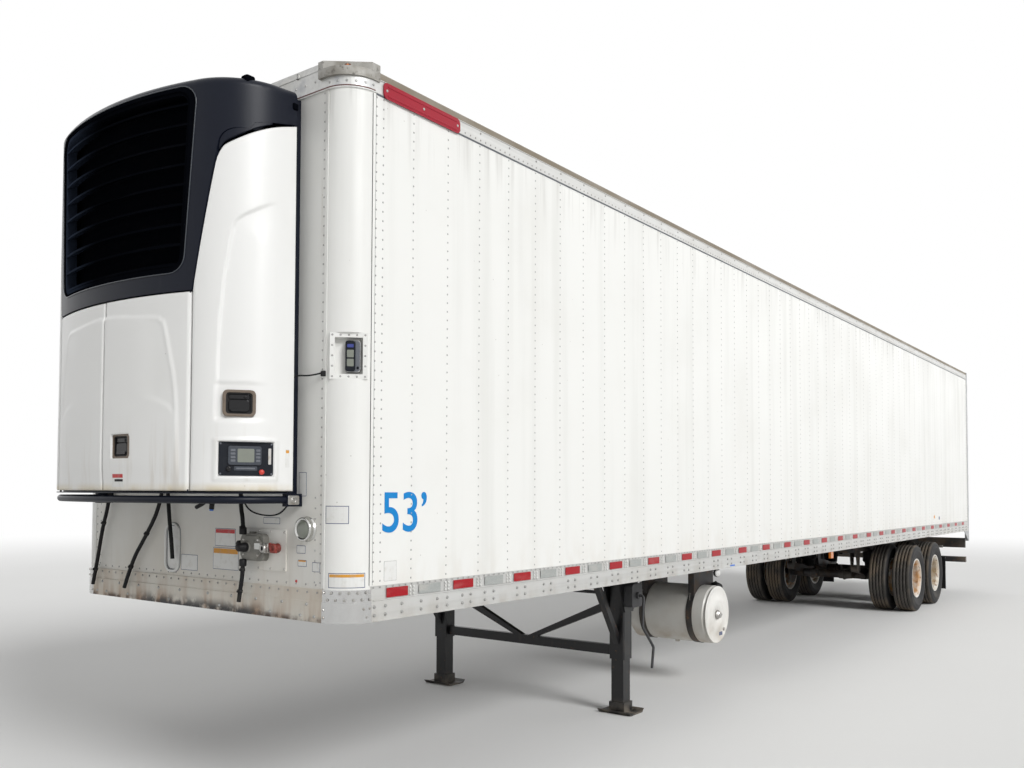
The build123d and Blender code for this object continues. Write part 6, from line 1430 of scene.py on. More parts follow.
def nose_line(radius, side_radius=None, first=0.0, last=0.0, steps=14):
    """The plan of a band round the left front corner, from the front wall to the side."""
    side_radius = side_radius or radius
    line = [(NOSE_X + radius, NOSE_Y - first)] if first else []
    line += [(NOSE_X + radius * cos(turn), NOSE_Y + side_radius * sin(turn))
             for turn in (pi / 2 * i / steps for i in range(steps + 1))]
    return line + ([(NOSE_X - last, NOSE_Y + side_radius)] if last else [])


def across_nose(line):
    """A plan that runs round both front corners, from the left side to the right one."""
    return line[::-1] + [(x, -y) for x, y in line]


def make_header():
    """Replace the header: cut corners with a lamp face between two arms, and a turned-up flange."""
    shape = Shape()
    outer, inner = across_nose(nose_line(0.182)), across_nose(nose_line(0.176))
    cut = [(7.804, 1.119), (7.654, TOP_Y), (NOSE_X, TOP_Y)]
    shape.prism(outer + inner[::-1], 0.049, FLAT, 3.975)
    shape.prism(outer, 0.06, FLAT, 4.024)
    shape.prism(across_nose(cut), 0.016, FLAT, 4.084)
    shape.block((7.764, -1.07, 4.05), (7.8, 1.07, 4.132), 0.002)
    shape.block((7.79, -1.07, 4.092), (7.8065, 1.07, 4.098), 0.001)
    # Columns: radius, depth and foot of the red-brown seal line and of the white one under it
    for shape.paint, (radius, depth, foot) in enumerate(((0.1838, 0.006, 3.98), (0.1828, 0.0065, 3.9735)), 1):
        shape.prism(across_nose(nose_line(radius)) + across_nose(nose_line(0.18))[::-1], depth, FLAT, foot)
    shape.paint = 3
    for side, _hand in SIDES:
        shape.block((7.795, side * 0.878 - 0.008, 4.088), (7.812, side * 0.878 + 0.008, 4.118), 0.003)
    piece = shape.finish("front_header", "rail_aluminium", "header", "seal_red", "panel", "gear_grey")
    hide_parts("front_header")


def make_corner_guards():
    """Replace the corner caps: a band round each front corner under a cut guard."""
    shape = Shape()
    band = nose_line(0.202, 0.189, 0.052, 0.03) + nose_line(0.176, None, 0.052, 0.03)[::-1]
    guard = [(7.592, 1.25), (7.64, 1.19), (7.68, 1.13), (7.76, 1.062), (7.824, 1.062), (7.824, 1.1),
             (7.652, 1.303), (7.592, 1.303)]
    for side, _hand in SIDES:
        for line, depth, start in ((band, 0.048, 4.036), (guard, 0.044, 4.084)):
            line = line if side > 0 else [(x, -y) for x, y in reversed(line)]
            shape.prism(line, depth, FLAT, start, 0.0015, 1)
    piece = shape.finish("corner_guards", "cap_grey", "cap")
    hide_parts("corner_caps")


def make_canister():
    """The bright document canister and the empty pouch frame on the front wall."""
    shape = Shape()
    place = on_wall(0.992, 1.611)
    shape.lathe([(0, -0.001), (0.068, -0.001), (0.068, 0.004), (0.063, 0.007), (0.061, 0.026), (0.063, 0.03),
                 (0.064, 0.036), (0.061, 0.041), (0.053, 0.041), (0.05, 0.034), (0, 0.034)], place, 48)
    shape.paint = 1
    shape.lathe([(0, 0.033), (0.049, 0.033), (0.047, 0.038), (0.024, 0.041), (0, 0.042)], place, 40)
    shape.finish("bright_canister", "cap_grey", "chrome", "screen")
    shape = Shape()
    place = on_wall(-0.23, 1.466)
    shape.ring(rounded(0.15, 0.3, 0.06, 8), rounded(0.122, 0.272, 0.046, 8), 0.012, place)
    shape.prism(rounded(0.124, 0.274, 0.046, 8), 0.0015, place)
    shape.paint = 1
    shape.ring(rounded(0.156, 0.306, 0.063, 8), rounded(0.15, 0.3, 0.06, 8), 0.002, place)
    shape.ring(rounded(0.122, 0.272, 0.046, 8), rounded(0.112, 0.262, 0.041, 8), 0.0025, place)
    shape.finish("pouch_frame", "panel_white", "label", "key_grey")


def make_nose_box():
    """The electric box with its plug socket and red air coupling, on its backing plate."""
    shape = Shape()
    plate, case = on_wall(0.6355, 1.488), on_wall(0.583, 1.5, 7.804)
    shape.slabs(plate, ((1, 0, 0, 0.375, 0.23, 0.01, 0, 0.006, 0.0012),))
    shape.paint = 0
    shape.prism(rounded(0.2, 0.15, 0.03, 5), 0.04, case, bevel=0.006, steps=3)
    half = [(0.086, 0.0301), (0.0516, 0.0645), (-0.0516, 0.0645), (-0.086, 0.0301)]
    shape.prism(half + [(-x, -y) for x, y in half], 0.01, case, 0.04, 0.003)
    shape.prism(rounded(0.036, 0.15, 0.006, 3), 0.014, case)
    shape.block((7.804, 0.548, 1.57), (7.836, 0.572, 1.586), 0.003)
    socket = on_wall(0.549, 1.5, 7.85)
    shape.lathe([(0, 0), (0.036, 0), (0.036, 0.006), (0.03, 0.01), (0, 0.01)], socket, 36)
    shape.paint = 2
    ring = on_wall(0.704, 1.5, 7.804)
    shape.prism(rounded(0.046, 0.056, 0.014), 0.048, ring, bevel=0.003)
    shape.lathe([(0, 0.048), (0.022, 0.048), (0.024, 0.054), (0.024, 0.066), (0.02, 0.072), (0.013, 0.072),
                 (0.012, 0.066), (0, 0.066)], ring, 28)
    shape.paint = 3
    shape.lathe([(0, 0.009), (0.027, 0.009), (0.027, 0.03), (0.024, 0.034), (0.023, 0.06), (0.019, 0.066),
                 (0, 0.066)],
                socket, 32)
    shape.lathe([(0, 0.0655), (0.0115, 0.0655), (0.0115, 0.0675), (0, 0.0675)], ring, 24)
    shape.paint = 4
    shape.prism(rounded(0.048, 0.034, 0.004, 3), 0.0008, on_wall(0.64, 1.508, 7.854))
    piece = shape.finish("nose_box_case", "box_grey", "grey_box", "front", "steel", "matt_black", "label")
    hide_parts("nose_box")
    shape = Shape()
    coupling = on_wall(0.758, 1.501, 7.804)
    shape.lathe([(0, 0), (0.026, 0), (0.026, 0.006), (0.018, 0.008), (0.018, 0.024), (0.026, 0.026), (0.026, 0.04),
                 (0.022, 0.044), (0.014, 0.044), (0.013, 0.036), (0, 0.036)], coupling, 36)
    shape.prism(rounded(0.05, 0.014, 0.005, 3, y=-0.02), 0.014, coupling, 0.026, 0.003)
    shape.prism(rounded(0.018, 0.03, 0.007, 3, x=-0.026, y=0.014), 0.01, coupling, 0.03, 0.003)
    shape.finish("air_coupling_red", "box_grey", "coupling_red")
    shape = Shape()
    plug = on_wall(0.468, 1.516, 7.804)
    shape.lathe([(0, 0), (0.022, 0), (0.022, 0.018), (0.019, 0.02), (0.018, 0.046), (0.015, 0.05), (0, 0.05)], plug,
                28)
    shape.paint = 1
    shape.prism(rounded(0.012, 0.03, 0.004, 3, x=-0.024, y=-0.004), 0.024, plug, 0, 0.002)
    shape.finish("side_plug", "rubber", "matt_black", "plug_yellow")
    screws = grid_spots(plate, (-0.175, 0.175), (-0.1, 0.1), 0.006)
    screws += grid_spots(plate, (-0.04, 0.06), (-0.104, 0.104), 0.006)
    screws += grid_spots(case, (-0.062, 0.062), (-0.042, 0.042), 0.05)
    heads("nose_box_screws", "steel", places=screws, radius=0.0075, height=0.005)


def make_front_bolts():
    """Rivet rows along the nose sill, the front wall's foot and the header."""
    def row(x, y, z):
        return (x, -y, z), (x, y, z), AHEAD

    heads("sill_rivets", "rail_rivet", rows=[row(FACE_X, 1.08, 1.277), row(WALL_X, 1.06, 1.316)],
          pitch=0.0762, radius=0.0068, height=0.003)
    spots = [(y, 1.212) for y in (0.14, 0.36, 0.58, 0.8, 1.0)] + [(y, 1.15) for y in (0.25, 0.7, 0.95, 1.06)]
    heads("sill_bolts", "rail_bolt", places=[((FACE_X, side * y, z), AHEAD) for side, _hand in SIDES
                                                           for y, z in spots], radius=0.01, height=0.006)
    heads("header_rivets", "rail_rivet", rows=[row(7.804, 1.02, 4.037)], pitch=0.0762,
          radius=0.0065, height=0.003)
    heads("header_corner_rivets", "rail_bolt",
          places=[nose_spot(5.5 + 16 * k, 4.009, 0.182, side) for side, _hand in SIDES for k in range(6)],
          radius=0.0078, height=0.0035, sides=8)
    foot = [(4 + 15 * k, 1.28) for k in range(6)] + [(11.5 + 15 * k, 1.243) for k in range(6)]
    foot += [(4, 1.19), (4, 1.15), (74, 1.195), (86, 1.195), (80, 1.152)]
    heads("corner_foot_rivets", "steel", radius=0.0078, height=0.004, sides=8,
          places=[nose_spot(angle, z, 0.1865, side) for side, _hand in SIDES for angle, z in foot])


def make_gauge_module():
    """The temperature display in the gauge box's pocket, with the flange's screws and the cable's clip."""
    place = facing(*nose_spot(45, 2.534, 0.1155))
    shape = Shape()
    shape.slabs(place, ((0, 0.022, 0, 0.074, 0.166, 0.014, 0.026, 0.004, 0.002),
                        (1, 0.022, 0, 0.082, 0.174, 0.018, 0, 0.026, 0.003),
                        (1, 0.008, 0, 0.054, 0.164, 0.014, 0.028, 0.014, 0.003)))
    shape.slabs(place, ((2, 0.008, 0.012, 0.036, 0.04, 0.004, 0.042, 0.002, 0.0006),
                        (2, 0.008, -0.036, 0.036, 0.04, 0.004, 0.042, 0.002, 0.0006),
                        (3, 0.008, 0.054, 0.034, 0.018, 0.004, 0.042, 0.002, 0.0006)), 3)
    shape.paint = 1
    shape.lathe([(0, 0.028), (0.007, 0.028), (0.007, 0.034), (0, 0.035)], shifted(place, 0.048, -0.062), 16)
    shape.finish("gauge_display", "box_grey", "key_grey", "panel_navy", "screen", "display_blue")
    flange = facing(*nose_spot(45, 2.534, 0.162))
    heads("gauge_screws", "rivet", radius=0.006, height=0.003, sides=8,
          places=grid_spots(flange, (-0.087, -0.0435, 0, 0.0435, 0.087), (-0.111, 0.111))
          + grid_spots(flange, (-0.087, 0.087), (-0.055, 0, 0.055)))
    shape = Shape()
    shape.block((7.7985, 1.098, 2.425), (7.818, 1.124, 2.455), 0.004)
    shape.finish("gauge_cable_clip", "rubber", "matt_black")


# The refrigeration unit's doors and their fittings

def make_unit_doors():
    """The four moulded doors: swept creases, raised fields and the pockets for latches and controls."""
    crease, field, bow = crease_run(SIDE_CREASE), soft_line(FRONT_FIELD), soft_line(FRONT_BOW)
    low = spread(DOOR_FOOT, BELT, 0.0095, [z + side * half for z, half in ((LATCH_Z, 0.065), (CONTROL_Z, 0.09))
                                           for side in (-1, 1)])
    edges = [ARCH_RUN + CORNER_R * (radians(turn + side * half) - SHOULDER)
             for turn, half in ((LATCH_TURN, 10.81), (CONTROL_TURN, 20.79)) for side in (-1, 1)]
    columns = spread(ARCH_RUN, UNIT_RUN, 0.0085, edges)

    def side_heights(run):
        return low + [BELT + (door_top(run) - BELT) * i / 98 for i in range(1, 99)]

    front_low = spread(DOOR_FOOT, BELT, 0.0095, (FRONT_LATCH_Z - 0.065, FRONT_LATCH_Z + 0.065))
    front_columns = spread(0.007, 0.6577, 0.0085, (FRONT_LATCH_Y - 0.075, FRONT_LATCH_Y + 0.075))
    for side, hand in SIDES:
        for door, panel in (
                ("side", skin(columns, side_heights, lambda run, z: side_relief(run, z, crease, side > 0), side)),
                ("front", skin(front_columns, lambda run: front_low,
                               lambda run, z: front_relief(run, z, field, bow, side > 0), side))):
            piece = panel.finish(f"{door}_door_{hand}", "unit_white", "gelcoat", body=f"unit_{door}_door_{hand}")
            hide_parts(f"unit_{door}_door_{hand}")


def make_cowl_fillers():
    """The cowl's lower edge over each side door, one even gap above the door's curve."""
    columns = [run for run in spread(ARCH_RUN, UNIT_RUN, 0.0085) if side_top(run) - door_top(run) > 0.017]

    def filler_heights(run):
        low, high = door_top(run) + 0.018, side_top(run) + 0.009
        return [low + (high - low) * i / 6 for i in range(7)]

    for side, hand in SIDES:
        lip = skin(columns, filler_heights, lambda run, z: -0.0008, side, roll=0.0)
        lip.finish(f"cowl_filler_{hand}", "cowl_dark", "cowl")


def latch(name, body, place, side=1):
    """A paddle latch in its pocket: black tray, bronze edged frame, glossy paddle and key."""
    shape = Shape()
    shape.prism(rounded(0.146, 0.126, 0.016), 0.003, place, 0.0005)
    # Columns: paint, outer and inner width, height and corner radius, depth, start
    for shape.paint, outer, inner, depth, start in (
            (1, (0.168, 0.138, 0.026), (0.134, 0.11, 0.016), 0.017, 0.003),
            (1, (0.162, 0.132, 0.024), (0.138, 0.114, 0.018), 0.0015, 0.0198),
            (0, (0.134, 0.11, 0.016), (0.12, 0.098, 0.012), 0.014, 0.0008)):
        shape.ring(rounded(*outer), rounded(*inner), depth, place, start)
    shape.paint = 2
    shape.prism(rounded(0.104, 0.06, 0.014, y=-0.012), 0.01, place, 0.0035, 0.004, 3)
    shape.slabs(place, ((2, 0, -0.036, 0.086, 0.016, 0.006, 0.0125, 0.006, 0.002),
                        (2, 0, 0.034, 0.104, 0.024, 0.008, 0.0035, 0.006, 0.002)))
    shape.paint = 0
    shape.lathe([(0, 0.008), (0.009, 0.008), (0.009, 0.0115), (0.007, 0.0125), (0, 0.0125)],
                shifted(place, side * 0.03, 0.034), 20)
    shape.finish(name, "box_grey", "matt_black", "bronze", "gloss_black", body=body)


def make_latches():
    """The latches of both side doors and the left front door."""
    for side, hand in SIDES:
        place = corner_place(side, LATCH_TURN, CORNER_R - LATCH_DEEP, LATCH_Z)
        latch(f"side_latch_{hand}", f"unit_side_door_{hand}", place, side)
    latch("front_latch", "unit_front_door_left", on_wall(FRONT_LATCH_Y, FRONT_LATCH_Z, FRONT_LATCH_X))


def make_control_panel():
    """The control panel in the left side door: screen, keys, knob, red button and a plain tag."""
    place = corner_place(1, CONTROL_TURN, CORNER_R - CONTROL_DEEP, CONTROL_Z)
    shape, body = Shape(), "unit_side_door_left"
    shape.slabs(place, ((0, 0, 0, 0.278, 0.174, 0.01, 0.0005, 0.006, 0.001),
                        (1, -0.0075, 0.0165, 0.171, 0.099, 0.012, 0.006, 0.01, 0.003),
                        (1, -0.0025, -0.05, 0.118, 0.022, 0.004, 0.006, 0.004, 0.001),
                        (2, -0.0025, 0.017, 0.085, 0.07, 0.005, 0.016, 0.0015, 0.0005)))
    shape.slabs(place, [(3, x, y, width, 0.012, 0.003, 0.0155, 0.003, 0.0008)
                        for x, width in ((-0.068, 0.024), (0.06, 0.022)) for y in (-0.01, 0.008, 0.026, 0.044)], 3)
    shape.slabs(place, ((3, -0.0025, -0.05, 0.096, 0.008, 0.003, 0.01, 0.002, 0.0006),
                        (5, 0.121, 0.014, 0.015, 0.084, 0.003, 0.006, 0.002, 0.0006)), 3)
    shape.paint = 4
    shape.lathe([(0, 0.005), (0.014, 0.006), (0.014, 0.012), (0.011, 0.017), (0, 0.018)],
                shifted(place, 0.0796, -0.068), 24)
    shape.slabs(place, ((6, -0.088, -0.052, 0.006, 0.026, 0.002, 0.019, 0.005, 0.001),), 2)
    shape.lathe([(0, 0.005), (0.014, 0.006), (0.013, 0.018), (0.011, 0.02), (0, 0.02)],
                shifted(place, -0.088, -0.052), 24)
    shape.finish("control_panel", "box_grey", "panel_navy", "bezel", "screen", "key_grey", "button_red", "steel",
                 "gloss_black", body=body)
    heads("control_screws", "key_grey", radius=0.0055, height=0.0025, sides=10, body=body,
          places=grid_spots(place, (-0.13, 0.13), (-0.078, 0.078), 0.0065))


def softened(points, radius, steps=6):
    """A closed outline with each corner rounded."""
    out = []
    for i, corner in enumerate(points):
        corner = Vector(corner)
        before = (Vector(points[i - 1]) - corner).normalized()
        after = (Vector(points[(i + 1) % len(points)]) - corner).normalized()
        half = before.angle(after) / 2
        reach = radius / tan(half)
        middle = corner + (before + after).normalized() * radius / sin(half)
        start, end = corner + before * reach - middle, corner + after * reach - middle
        for k in range(steps + 1):
            out.append(tuple(middle + radius * start.slerp(end, k / steps).normalized()))
    return out


def on_arch(y, z, proud=0.0):
    """A point on the unit's arched front."""
    return (ARCH_X + sqrt((ARCH_R + proud) ** 2 - y * y), y, z)


def divided(loop, parts_of):
    """A closed outline with more points along its straight stretches."""
    return [(a[0] + (b[0] - a[0]) * k / parts, a[1] + (b[1] - a[1]) * k / parts)
            for a, b in zip(loop, loop[1:] + loop[:1]) for parts in (parts_of(dist(a, b)),) for k in range(parts)]


def make_grille_trims():
    """The bead round the grille's window, the window's black lining, and a dark sheet behind the slats that is
    painted shade for the grille's inside.
    """
    opening = softened([(-0.586, 2.972), (0.586, 2.972), (0.63, 3.923), (-0.63, 3.923)], 0.078)
    window = softened([(-0.6, 2.957), (0.6, 2.957), (0.672, 3.946), (-0.672, 3.946)], 0.095)
    shape = Shape()
    shape.tube([on_arch(y, z, 0.001) for y, z in divided(window, lambda gap: max(1, round(gap / 0.04)))], 0.0035, 8,
               closed=True)
    shape.finish("grille_bead", "cowl_dark", "bead")
    shape = Shape()
    inner, outer = [divided(loop, lambda gap: 24 if gap > 0.3 else 1) for loop in (opening, window)]
    shape.sweep([[on_arch(y, z, proud) for y, z in loop] for loop, proud in (
        (inner, -0.088), (inner, 0.0012), (outer, 0.0012), (outer, -0.002))], closed=True)
    shape.finish("grille_surround", "cowl_dark", "grille")
    # Painted shade: a dark sheet behind the slats, so that nothing lit shows through them.
    shape = Shape()
    corners = ((2.965, -0.09), (3.945, -0.09), (3.945, -0.086), (2.965, -0.086))
    shape.sweep([[on_arch(-0.64 + 0.08 * i, z, proud) for z, proud in corners] for i in range(17)])
    shape.finish("grille_painted_shade_sheet", "cowl_dark", "grille")


def make_cowl_trims():
    """The cowl's catches and lifting lugs, and the bumper's end brackets."""
    shape = Shape()
    for side, _hand in SIDES:
        shape.block((7.864, side * 0.945 - 0.012, 3.876), (7.898, side * 0.945 + 0.012, 3.912), 0.006)
        shape.block((8.088, side * 0.846 - 0.028, 3.95), (8.148, side * 0.846 + 0.028, 4.005), 0.012)
    shape.finish("cowl_catches", "frame_dark", "grille")
    shape = Shape()
    for side, _hand in SIDES:
        place = facing((7.86, side * 0.935, 1.766), (0, side, 0))
        shape.prism(rounded(0.075, 0.05, 0.008), 0.014, place, 0.0, 0.002)
        shape.lathe([(0, 0.012), (0.018, 0.012), (0.018, 0.017), (0.011, 0.017), (0.011, 0.013), (0, 0.013)], place,
                    24)
    shape.finish("bumper_brackets", "galvanised", "steel")


# Wheels and tyres

TYRE_HALF = ((0.104, 0.289), (0.107, 0.3), (0.116, 0.318), (0.128, 0.345), (0.138, 0.38), (0.1405, 0.4),
             (0.1418, 0.402), (0.142, 0.41), (0.1405, 0.414), (0.139, 0.44), (0.1345, 0.458), (0.1355, 0.461),
             (0.134, 0.467), (0.131, 0.47), (0.127, 0.482), (0.121, 0.493), (0.113, 0.5015), (0.104, 0.505))
GROOVES = (-0.07, -0.024, 0.024, 0.07)


def make_tyres():
    """Four pairs of tyres with zigzag grooves round their treads."""
    chosen = settings("trailer_tyres")
    # Columns: radius, place across, 0 on the side, 1 on a groove's rim and 2 on its floor
    profile = [(r, -a, 0) for a, r in TYRE_HALF]
    for middle in GROOVES:
        for across, kind in ((-0.007, 1), (-0.0048, 2), (0.0048, 2), (0.007, 1)):
            profile.append((0.507 - chosen.groove_depth * (kind == 2), middle + across, kind))
    profile += [(r, a, 0) for a, r in reversed(TYRE_HALF)] + profile[:1]
    for x, place in AXLES:
        for side, hand in SIDES:
            shape = Shape()
            tread = shape.mesh.verts.layers.float.new("tread")
            groove = shape.mesh.verts.layers.float.new("groove")
            for offset in (-DUAL_HALF, DUAL_HALF):
                spot = facing((x, side * DUAL_Y + offset, AXLE_Z), (0, 1, 0))
                verts, _made = shape.lathe(
                    [(r, a) for r, a, _kind in profile], spot, chosen.steps,
                    lambda row, i: chosen.zigzag * (1 if i % 2 else -1) if profile[row][2] else 0)
                for number, vert in enumerate(verts):
                    radius, _across, kind = profile[number // chosen.steps]
                    vert[tread] = smooth_step(radius, 0.488, 0.503) if kind != 2 else 0.0
                    vert[groove] = float(kind == 2)
            piece = shape.finish(f"tyre_pair_{place}_{hand}", "tyre", f"tyre_{place}", merge=1e-5,
                                 body=f"wheels_{place}_{hand}")
            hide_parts(f"tyres_{place}_{hand}")


def make_wheel_nuts():
    """Wheel nuts, studs, hub cap bolts and valve stems."""
    # Columns: name, finish, count, circle's radius, how far out, first angle, then the head's sizes and sides
    rounds = (("wheel_nuts", "bolt", 10, 0.143, 0.01, 18, 0.02, 0.88, 0.02, 6),
              ("wheel_studs", "steel", 10, 0.143, 0.03, 18, 0.01, 0.9, 0.012, 10),
              ("hub_bolts", "bolt", 8, 0.072, 0.1, 0, 0.0075, 0.85, 0.007, 6))
    for x, place in AXLES:
        for side, hand in SIDES:
            body, out = f"wheels_{place}_{hand}", Vector((0, side, 0))

            def spot(angle, reach, away):
                turn = radians(angle)
                return Vector((x + reach * cos(turn), side * (DUAL_Y + away), AXLE_Z + reach * sin(turn)))

            for name, finish, count, reach, away, start, radius, crown, height, sides in rounds:
                heads(f"{name}_{place}_{hand}", finish, radius=radius, crown=crown, height=height,
                      sides=sides, body=body,
                      places=[(spot(start + 360 / count * i, reach, away), out) for i in range(count)])
            shape = Shape()
            foot = spot(54, 0.212, 0.012)
            tip = foot + 0.09 * out + Vector((0.01, 0, 0.014))
            shape.tube([foot, foot + 0.03 * out, foot + 0.06 * out + Vector((0.004, 0, 0.006)), tip], 0.004, 8)
            shape.lathe([(0, 0), (0.007, 0), (0.007, 0.014), (0, 0.016)], facing(tip, out), 12)
            shape.finish(f"valve_stem_{place}_{hand}", "galvanised", "steel", body=body)


# Tank, landing gear, rear end and lamps

def make_tank_trims():
    """The tank's whiter end face, bung, plate, straps' bolts and black filler cap."""
    shape = Shape()
    place = facing((TANK_X, 1.1, TANK_Z), (0, 1, 0))
    shape.lathe([(0, -0.002), (0.266, -0.002), (0.27, 0.001), (0.27, 0.008), (0.262, 0.011), (0.252, 0.003),
                 (0.165, 0.002), (0.15, 0.01), (0.07, 0.012), (0.062, 0.003), (0, 0.003)], place, 64)
    shape.finish("tank_end_face", "tank_pale", "tank_end")
    shape = Shape()
    shape.lathe([(0, 0.011), (0.044, 0.011), (0.044, 0.018), (0.032, 0.021), (0.03, 0.04), (0.012, 0.041),
                 (0, 0.034)],
                place, 32)
    shape.prism(rounded(0.06, 0.018, 0.004), 0.01, place, 0.038, 0.002)
    shape.prism(ring_outline(0.018, 6, 0.155, -0.155), 0.01, place, 0.003, 0.002)
    shape.finish("tank_bung", "galvanised", "steel")
    shape = Shape()
    shape.prism(rounded(0.07, 0.034, 0.004, 3, x=0.09, y=-0.19), 0.002, place, 0.003, 0.0005)
    shape.finish("tank_plate", "tank_pale", "label_edge")
    lean = radians(35)
    way = Vector((-sin(lean), 0, cos(lean)))
    cap = facing(Vector((TANK_X, 1.025, TANK_Z)) + 0.268 * way, way, up=(0, 1, 0))
    shape = Shape()
    shape.lathe([(0, 0.02), (0.056, 0.02), (0.058, 0.024), (0.058, 0.048), (0.054, 0.054), (0.03, 0.056), (0, 0.056)],
                cap, 40)
    shape.prism(rounded(0.1, 0.022, 0.008), 0.014, cap, 0.054, 0.005)
    shape.paint = 1
    shape.lathe([(0, 0), (0.044, 0), (0.044, 0.02), (0, 0.022)], cap, 32)
    shape.finish("filler_cap", "rubber", "matt_black", "tank")
    shape = Shape()
    for y in (0.445, 0.945):
        for side in (1, -1):
            x = TANK_X + side * 0.262
            shape.tube([(x, y, 0.8), (x, y, 0.86)], 0.007, 8)
            shape.prism(ring_outline(0.013, 6), 0.012, facing((x, y, 0.855), UP, (0, 1, 0)))
    shape.finish("strap_bolts", "galvanised", "bolt")


def make_gear_trims():
    """Bolts on the landing gear."""
    heads("gear_bolts", "steel", radius=0.011, height=0.009, sides=6,
          places=[((LEG_X + dx, side * 1.013, z), (0, side, 0)) for side, _hand in SIDES for dx in (-0.055, 0.055)
                  for z in (0.95, 1.0, 1.05)])


def make_mud_flap_bolts():
    """The clamp bars and bolts along the tops of the mud flaps."""
    shape, places = Shape(), []
    for side, _hand in SIDES:
        shape.block((-6.396, side * 0.66, 0.885), (-6.386, side * 1.24, 0.925), 0.002)
        places += [((x, side * (0.7 + 0.1 * k), 0.905), out) for x, out in ((-6.386, AHEAD), (-6.539, BEHIND))
                   for k in range(6)]
    shape.finish("flap_bars", "galvanised", "steel")
    heads("flap_bolts", "bolt", places=places, radius=0.009, height=0.006)


def make_rear_doors():
    """Seals round the rear doors, the lock rods' plates, cams and keepers, and the hinges' bolts."""
    height = DOOR_HIGH - DOOR_LOW
    for side, hand in SIDES:
        body = f"rear_door_{hand}"
        shape = Shape()
        shape.ring(rounded(1.173, height - 0.004, 0.02), rounded(1.133, height - 0.044, 0.012), 0.007,
                   on_rear(side * 0.5955, DOOR_LOW + height / 2), -0.001)
        shape.finish(f"door_seal_{hand}", "rubber", "seal", body=body)
        shape = Shape()
        spots = [(y, DOOR_LOW + 0.126 + (height - 0.252) * k / 3) for y in ROD_Y for k in range(4)]
        for y, z in spots:
            shape.ring(rounded(0.13, 0.064, 0.01), rounded(0.054, 0.054, 0.002), 0.005, on_rear(side * y, z))
        for y in ROD_Y:
            for z in (DOOR_LOW - 0.004, DOOR_HIGH + 0.004):
                shape.lathe([(0.0132, -0.026), (0.019, -0.024), (0.019, 0.024), (0.0132, 0.026)],
                            facing((REAR_X - 0.026, side * y, z), UP, AHEAD), 16)
        shape.finish(f"rod_plates_{hand}", "galvanised", "steel", body=body)
        heads(f"guide_bolts_{hand}", "bolt", radius=0.008, height=0.005, body=body,
              places=[((REAR_X - 0.005, side * y + dy, z), BEHIND) for y, z in spots for dy in (-0.048, 0.048)])
        heads(f"hinge_bolts_{hand}", "white_bolt", radius=0.009, height=0.006, body=body,
              places=[((-8.36, side * y, DOOR_LOW + 0.16 + (height - 0.32) * k / 4 + dz), BEHIND)
                      for y in (0.94, 1.02, 1.1) for k in range(5) for dz in (-0.018, 0.018)])
    shape = Shape()
    for side, _hand in SIDES:
        for y in ROD_Y:
            for foot in (DOOR_LOW - 0.036, DOOR_HIGH + 0.016):
                for jaw in (-0.034, 0.026):
                    near = side * y + jaw
                    shape.block((REAR_X - 0.046, near, foot), (REAR_X + 0.001, near + 0.008, foot + 0.02), 0.002)
    shape.finish("rod_keepers", "galvanised", "zinc")


def make_corner_and_side_lamps():
    """The corner lamps at the nose, and the round lamp under the left side."""
    for side, hand in SIDES:
        shape = Shape()
        place = facing((7.738, side * 1.2015, 4.107), (0.763, side * 0.6465, 0))
        shape.prism(rounded(0.034, 0.015, 0.006), 0.005, place, -0.001, 0.002)
        shape.paint = 1
        shape.prism(ring_outline(0.0055, 14), 0.003, place, 0.004, 0.0015)
        shape.finish(f"corner_lamp_{hand}", "lamp_amber", "amber_dark", "amber_lens")
    shape = Shape()
    place = facing((3.085, 1.262, 1.079), (0.35, 0.94, 0))
    shape.lathe([(0, -0.02), (0.034, -0.02), (0.038, 0.0), (0.038, 0.004), (0, 0.004)], place, 28)
    shape.block((3.07, 1.225, 1.09), (3.092, 1.248, 1.124), 0.003)
    shape.paint = 1
    shape.lathe([(0, 0.004), (0.035, 0.004), (0.034, 0.01), (0.02, 0.015), (0, 0.016)], place, 28)
    shape.finish("side_lamp", "lamp_amber", "matt_black", "white_lens")


# Operators, one for each group of pieces

class TRAILER_OT_stage(bpy.types.Operator):
    """Make the finishes, the camera, the floor and the lamps"""
    bl_idname = "trailer.stage"
    bl_label = "Stage and Finishes"

    def execute(self, context):
        mix_finishes()
        make_camera()
        make_floor()
        make_lamps()
        return {"FINISHED"}


class TRAILER_OT_hoses(bpy.types.Operator):
    """Lay the drain hoses, the harness and the cables on the front wall"""
    bl_idname = "trailer.hoses"
    bl_label = "Hoses and Cables"

    def execute(self, context):
        make_hoses()
        make_slack_cables()
        make_hose_clips()
        return {"FINISHED"}


class TRAILER_OT_frame(bpy.types.Operator):
    """Paint the CAD parts that stay"""
    bl_idname = "trailer.frame"
    bl_label = "Paint the Frame"

    def execute(self, context):
        paint_frame()
        return {"FINISHED"}


class TRAILER_OT_sides(bpy.types.Operator):
    """Set the rivets, seams, tape, plates and numerals on the sides"""
    bl_idname = "trailer.sides"
    bl_label = "Side Panels"

    def execute(self, context):
        make_side_rivets()
        make_rail_bolts()
        make_rail_lips()
        make_tape()
        make_side_marks()
        make_seams()
        return {"FINISHED"}


class TRAILER_OT_front(bpy.types.Operator):
    """Fit the labels, boxes, plugs, canister and rivets on the front wall"""
    bl_idname = "trailer.front"
    bl_label = "Front Wall"

    def execute(self, context):
        make_labels()
        make_drain_stubs()
        make_canister()
        make_nose_box()
        make_front_bolts()
        make_header()
        make_corner_guards()
        make_gauge_module()
        return {"FINISHED"}


class TRAILER_OT_unit(bpy.types.Operator):
    """Mould the refrigeration unit's doors and fit their latches and controls"""
    bl_idname = "trailer.unit"
    bl_label = "Refrigeration Unit"

    def execute(self, context):
        make_unit_doors()
        make_cowl_fillers()
        make_latches()
        make_control_panel()
        make_grille_trims()
        make_cowl_trims()
        return {"FINISHED"}


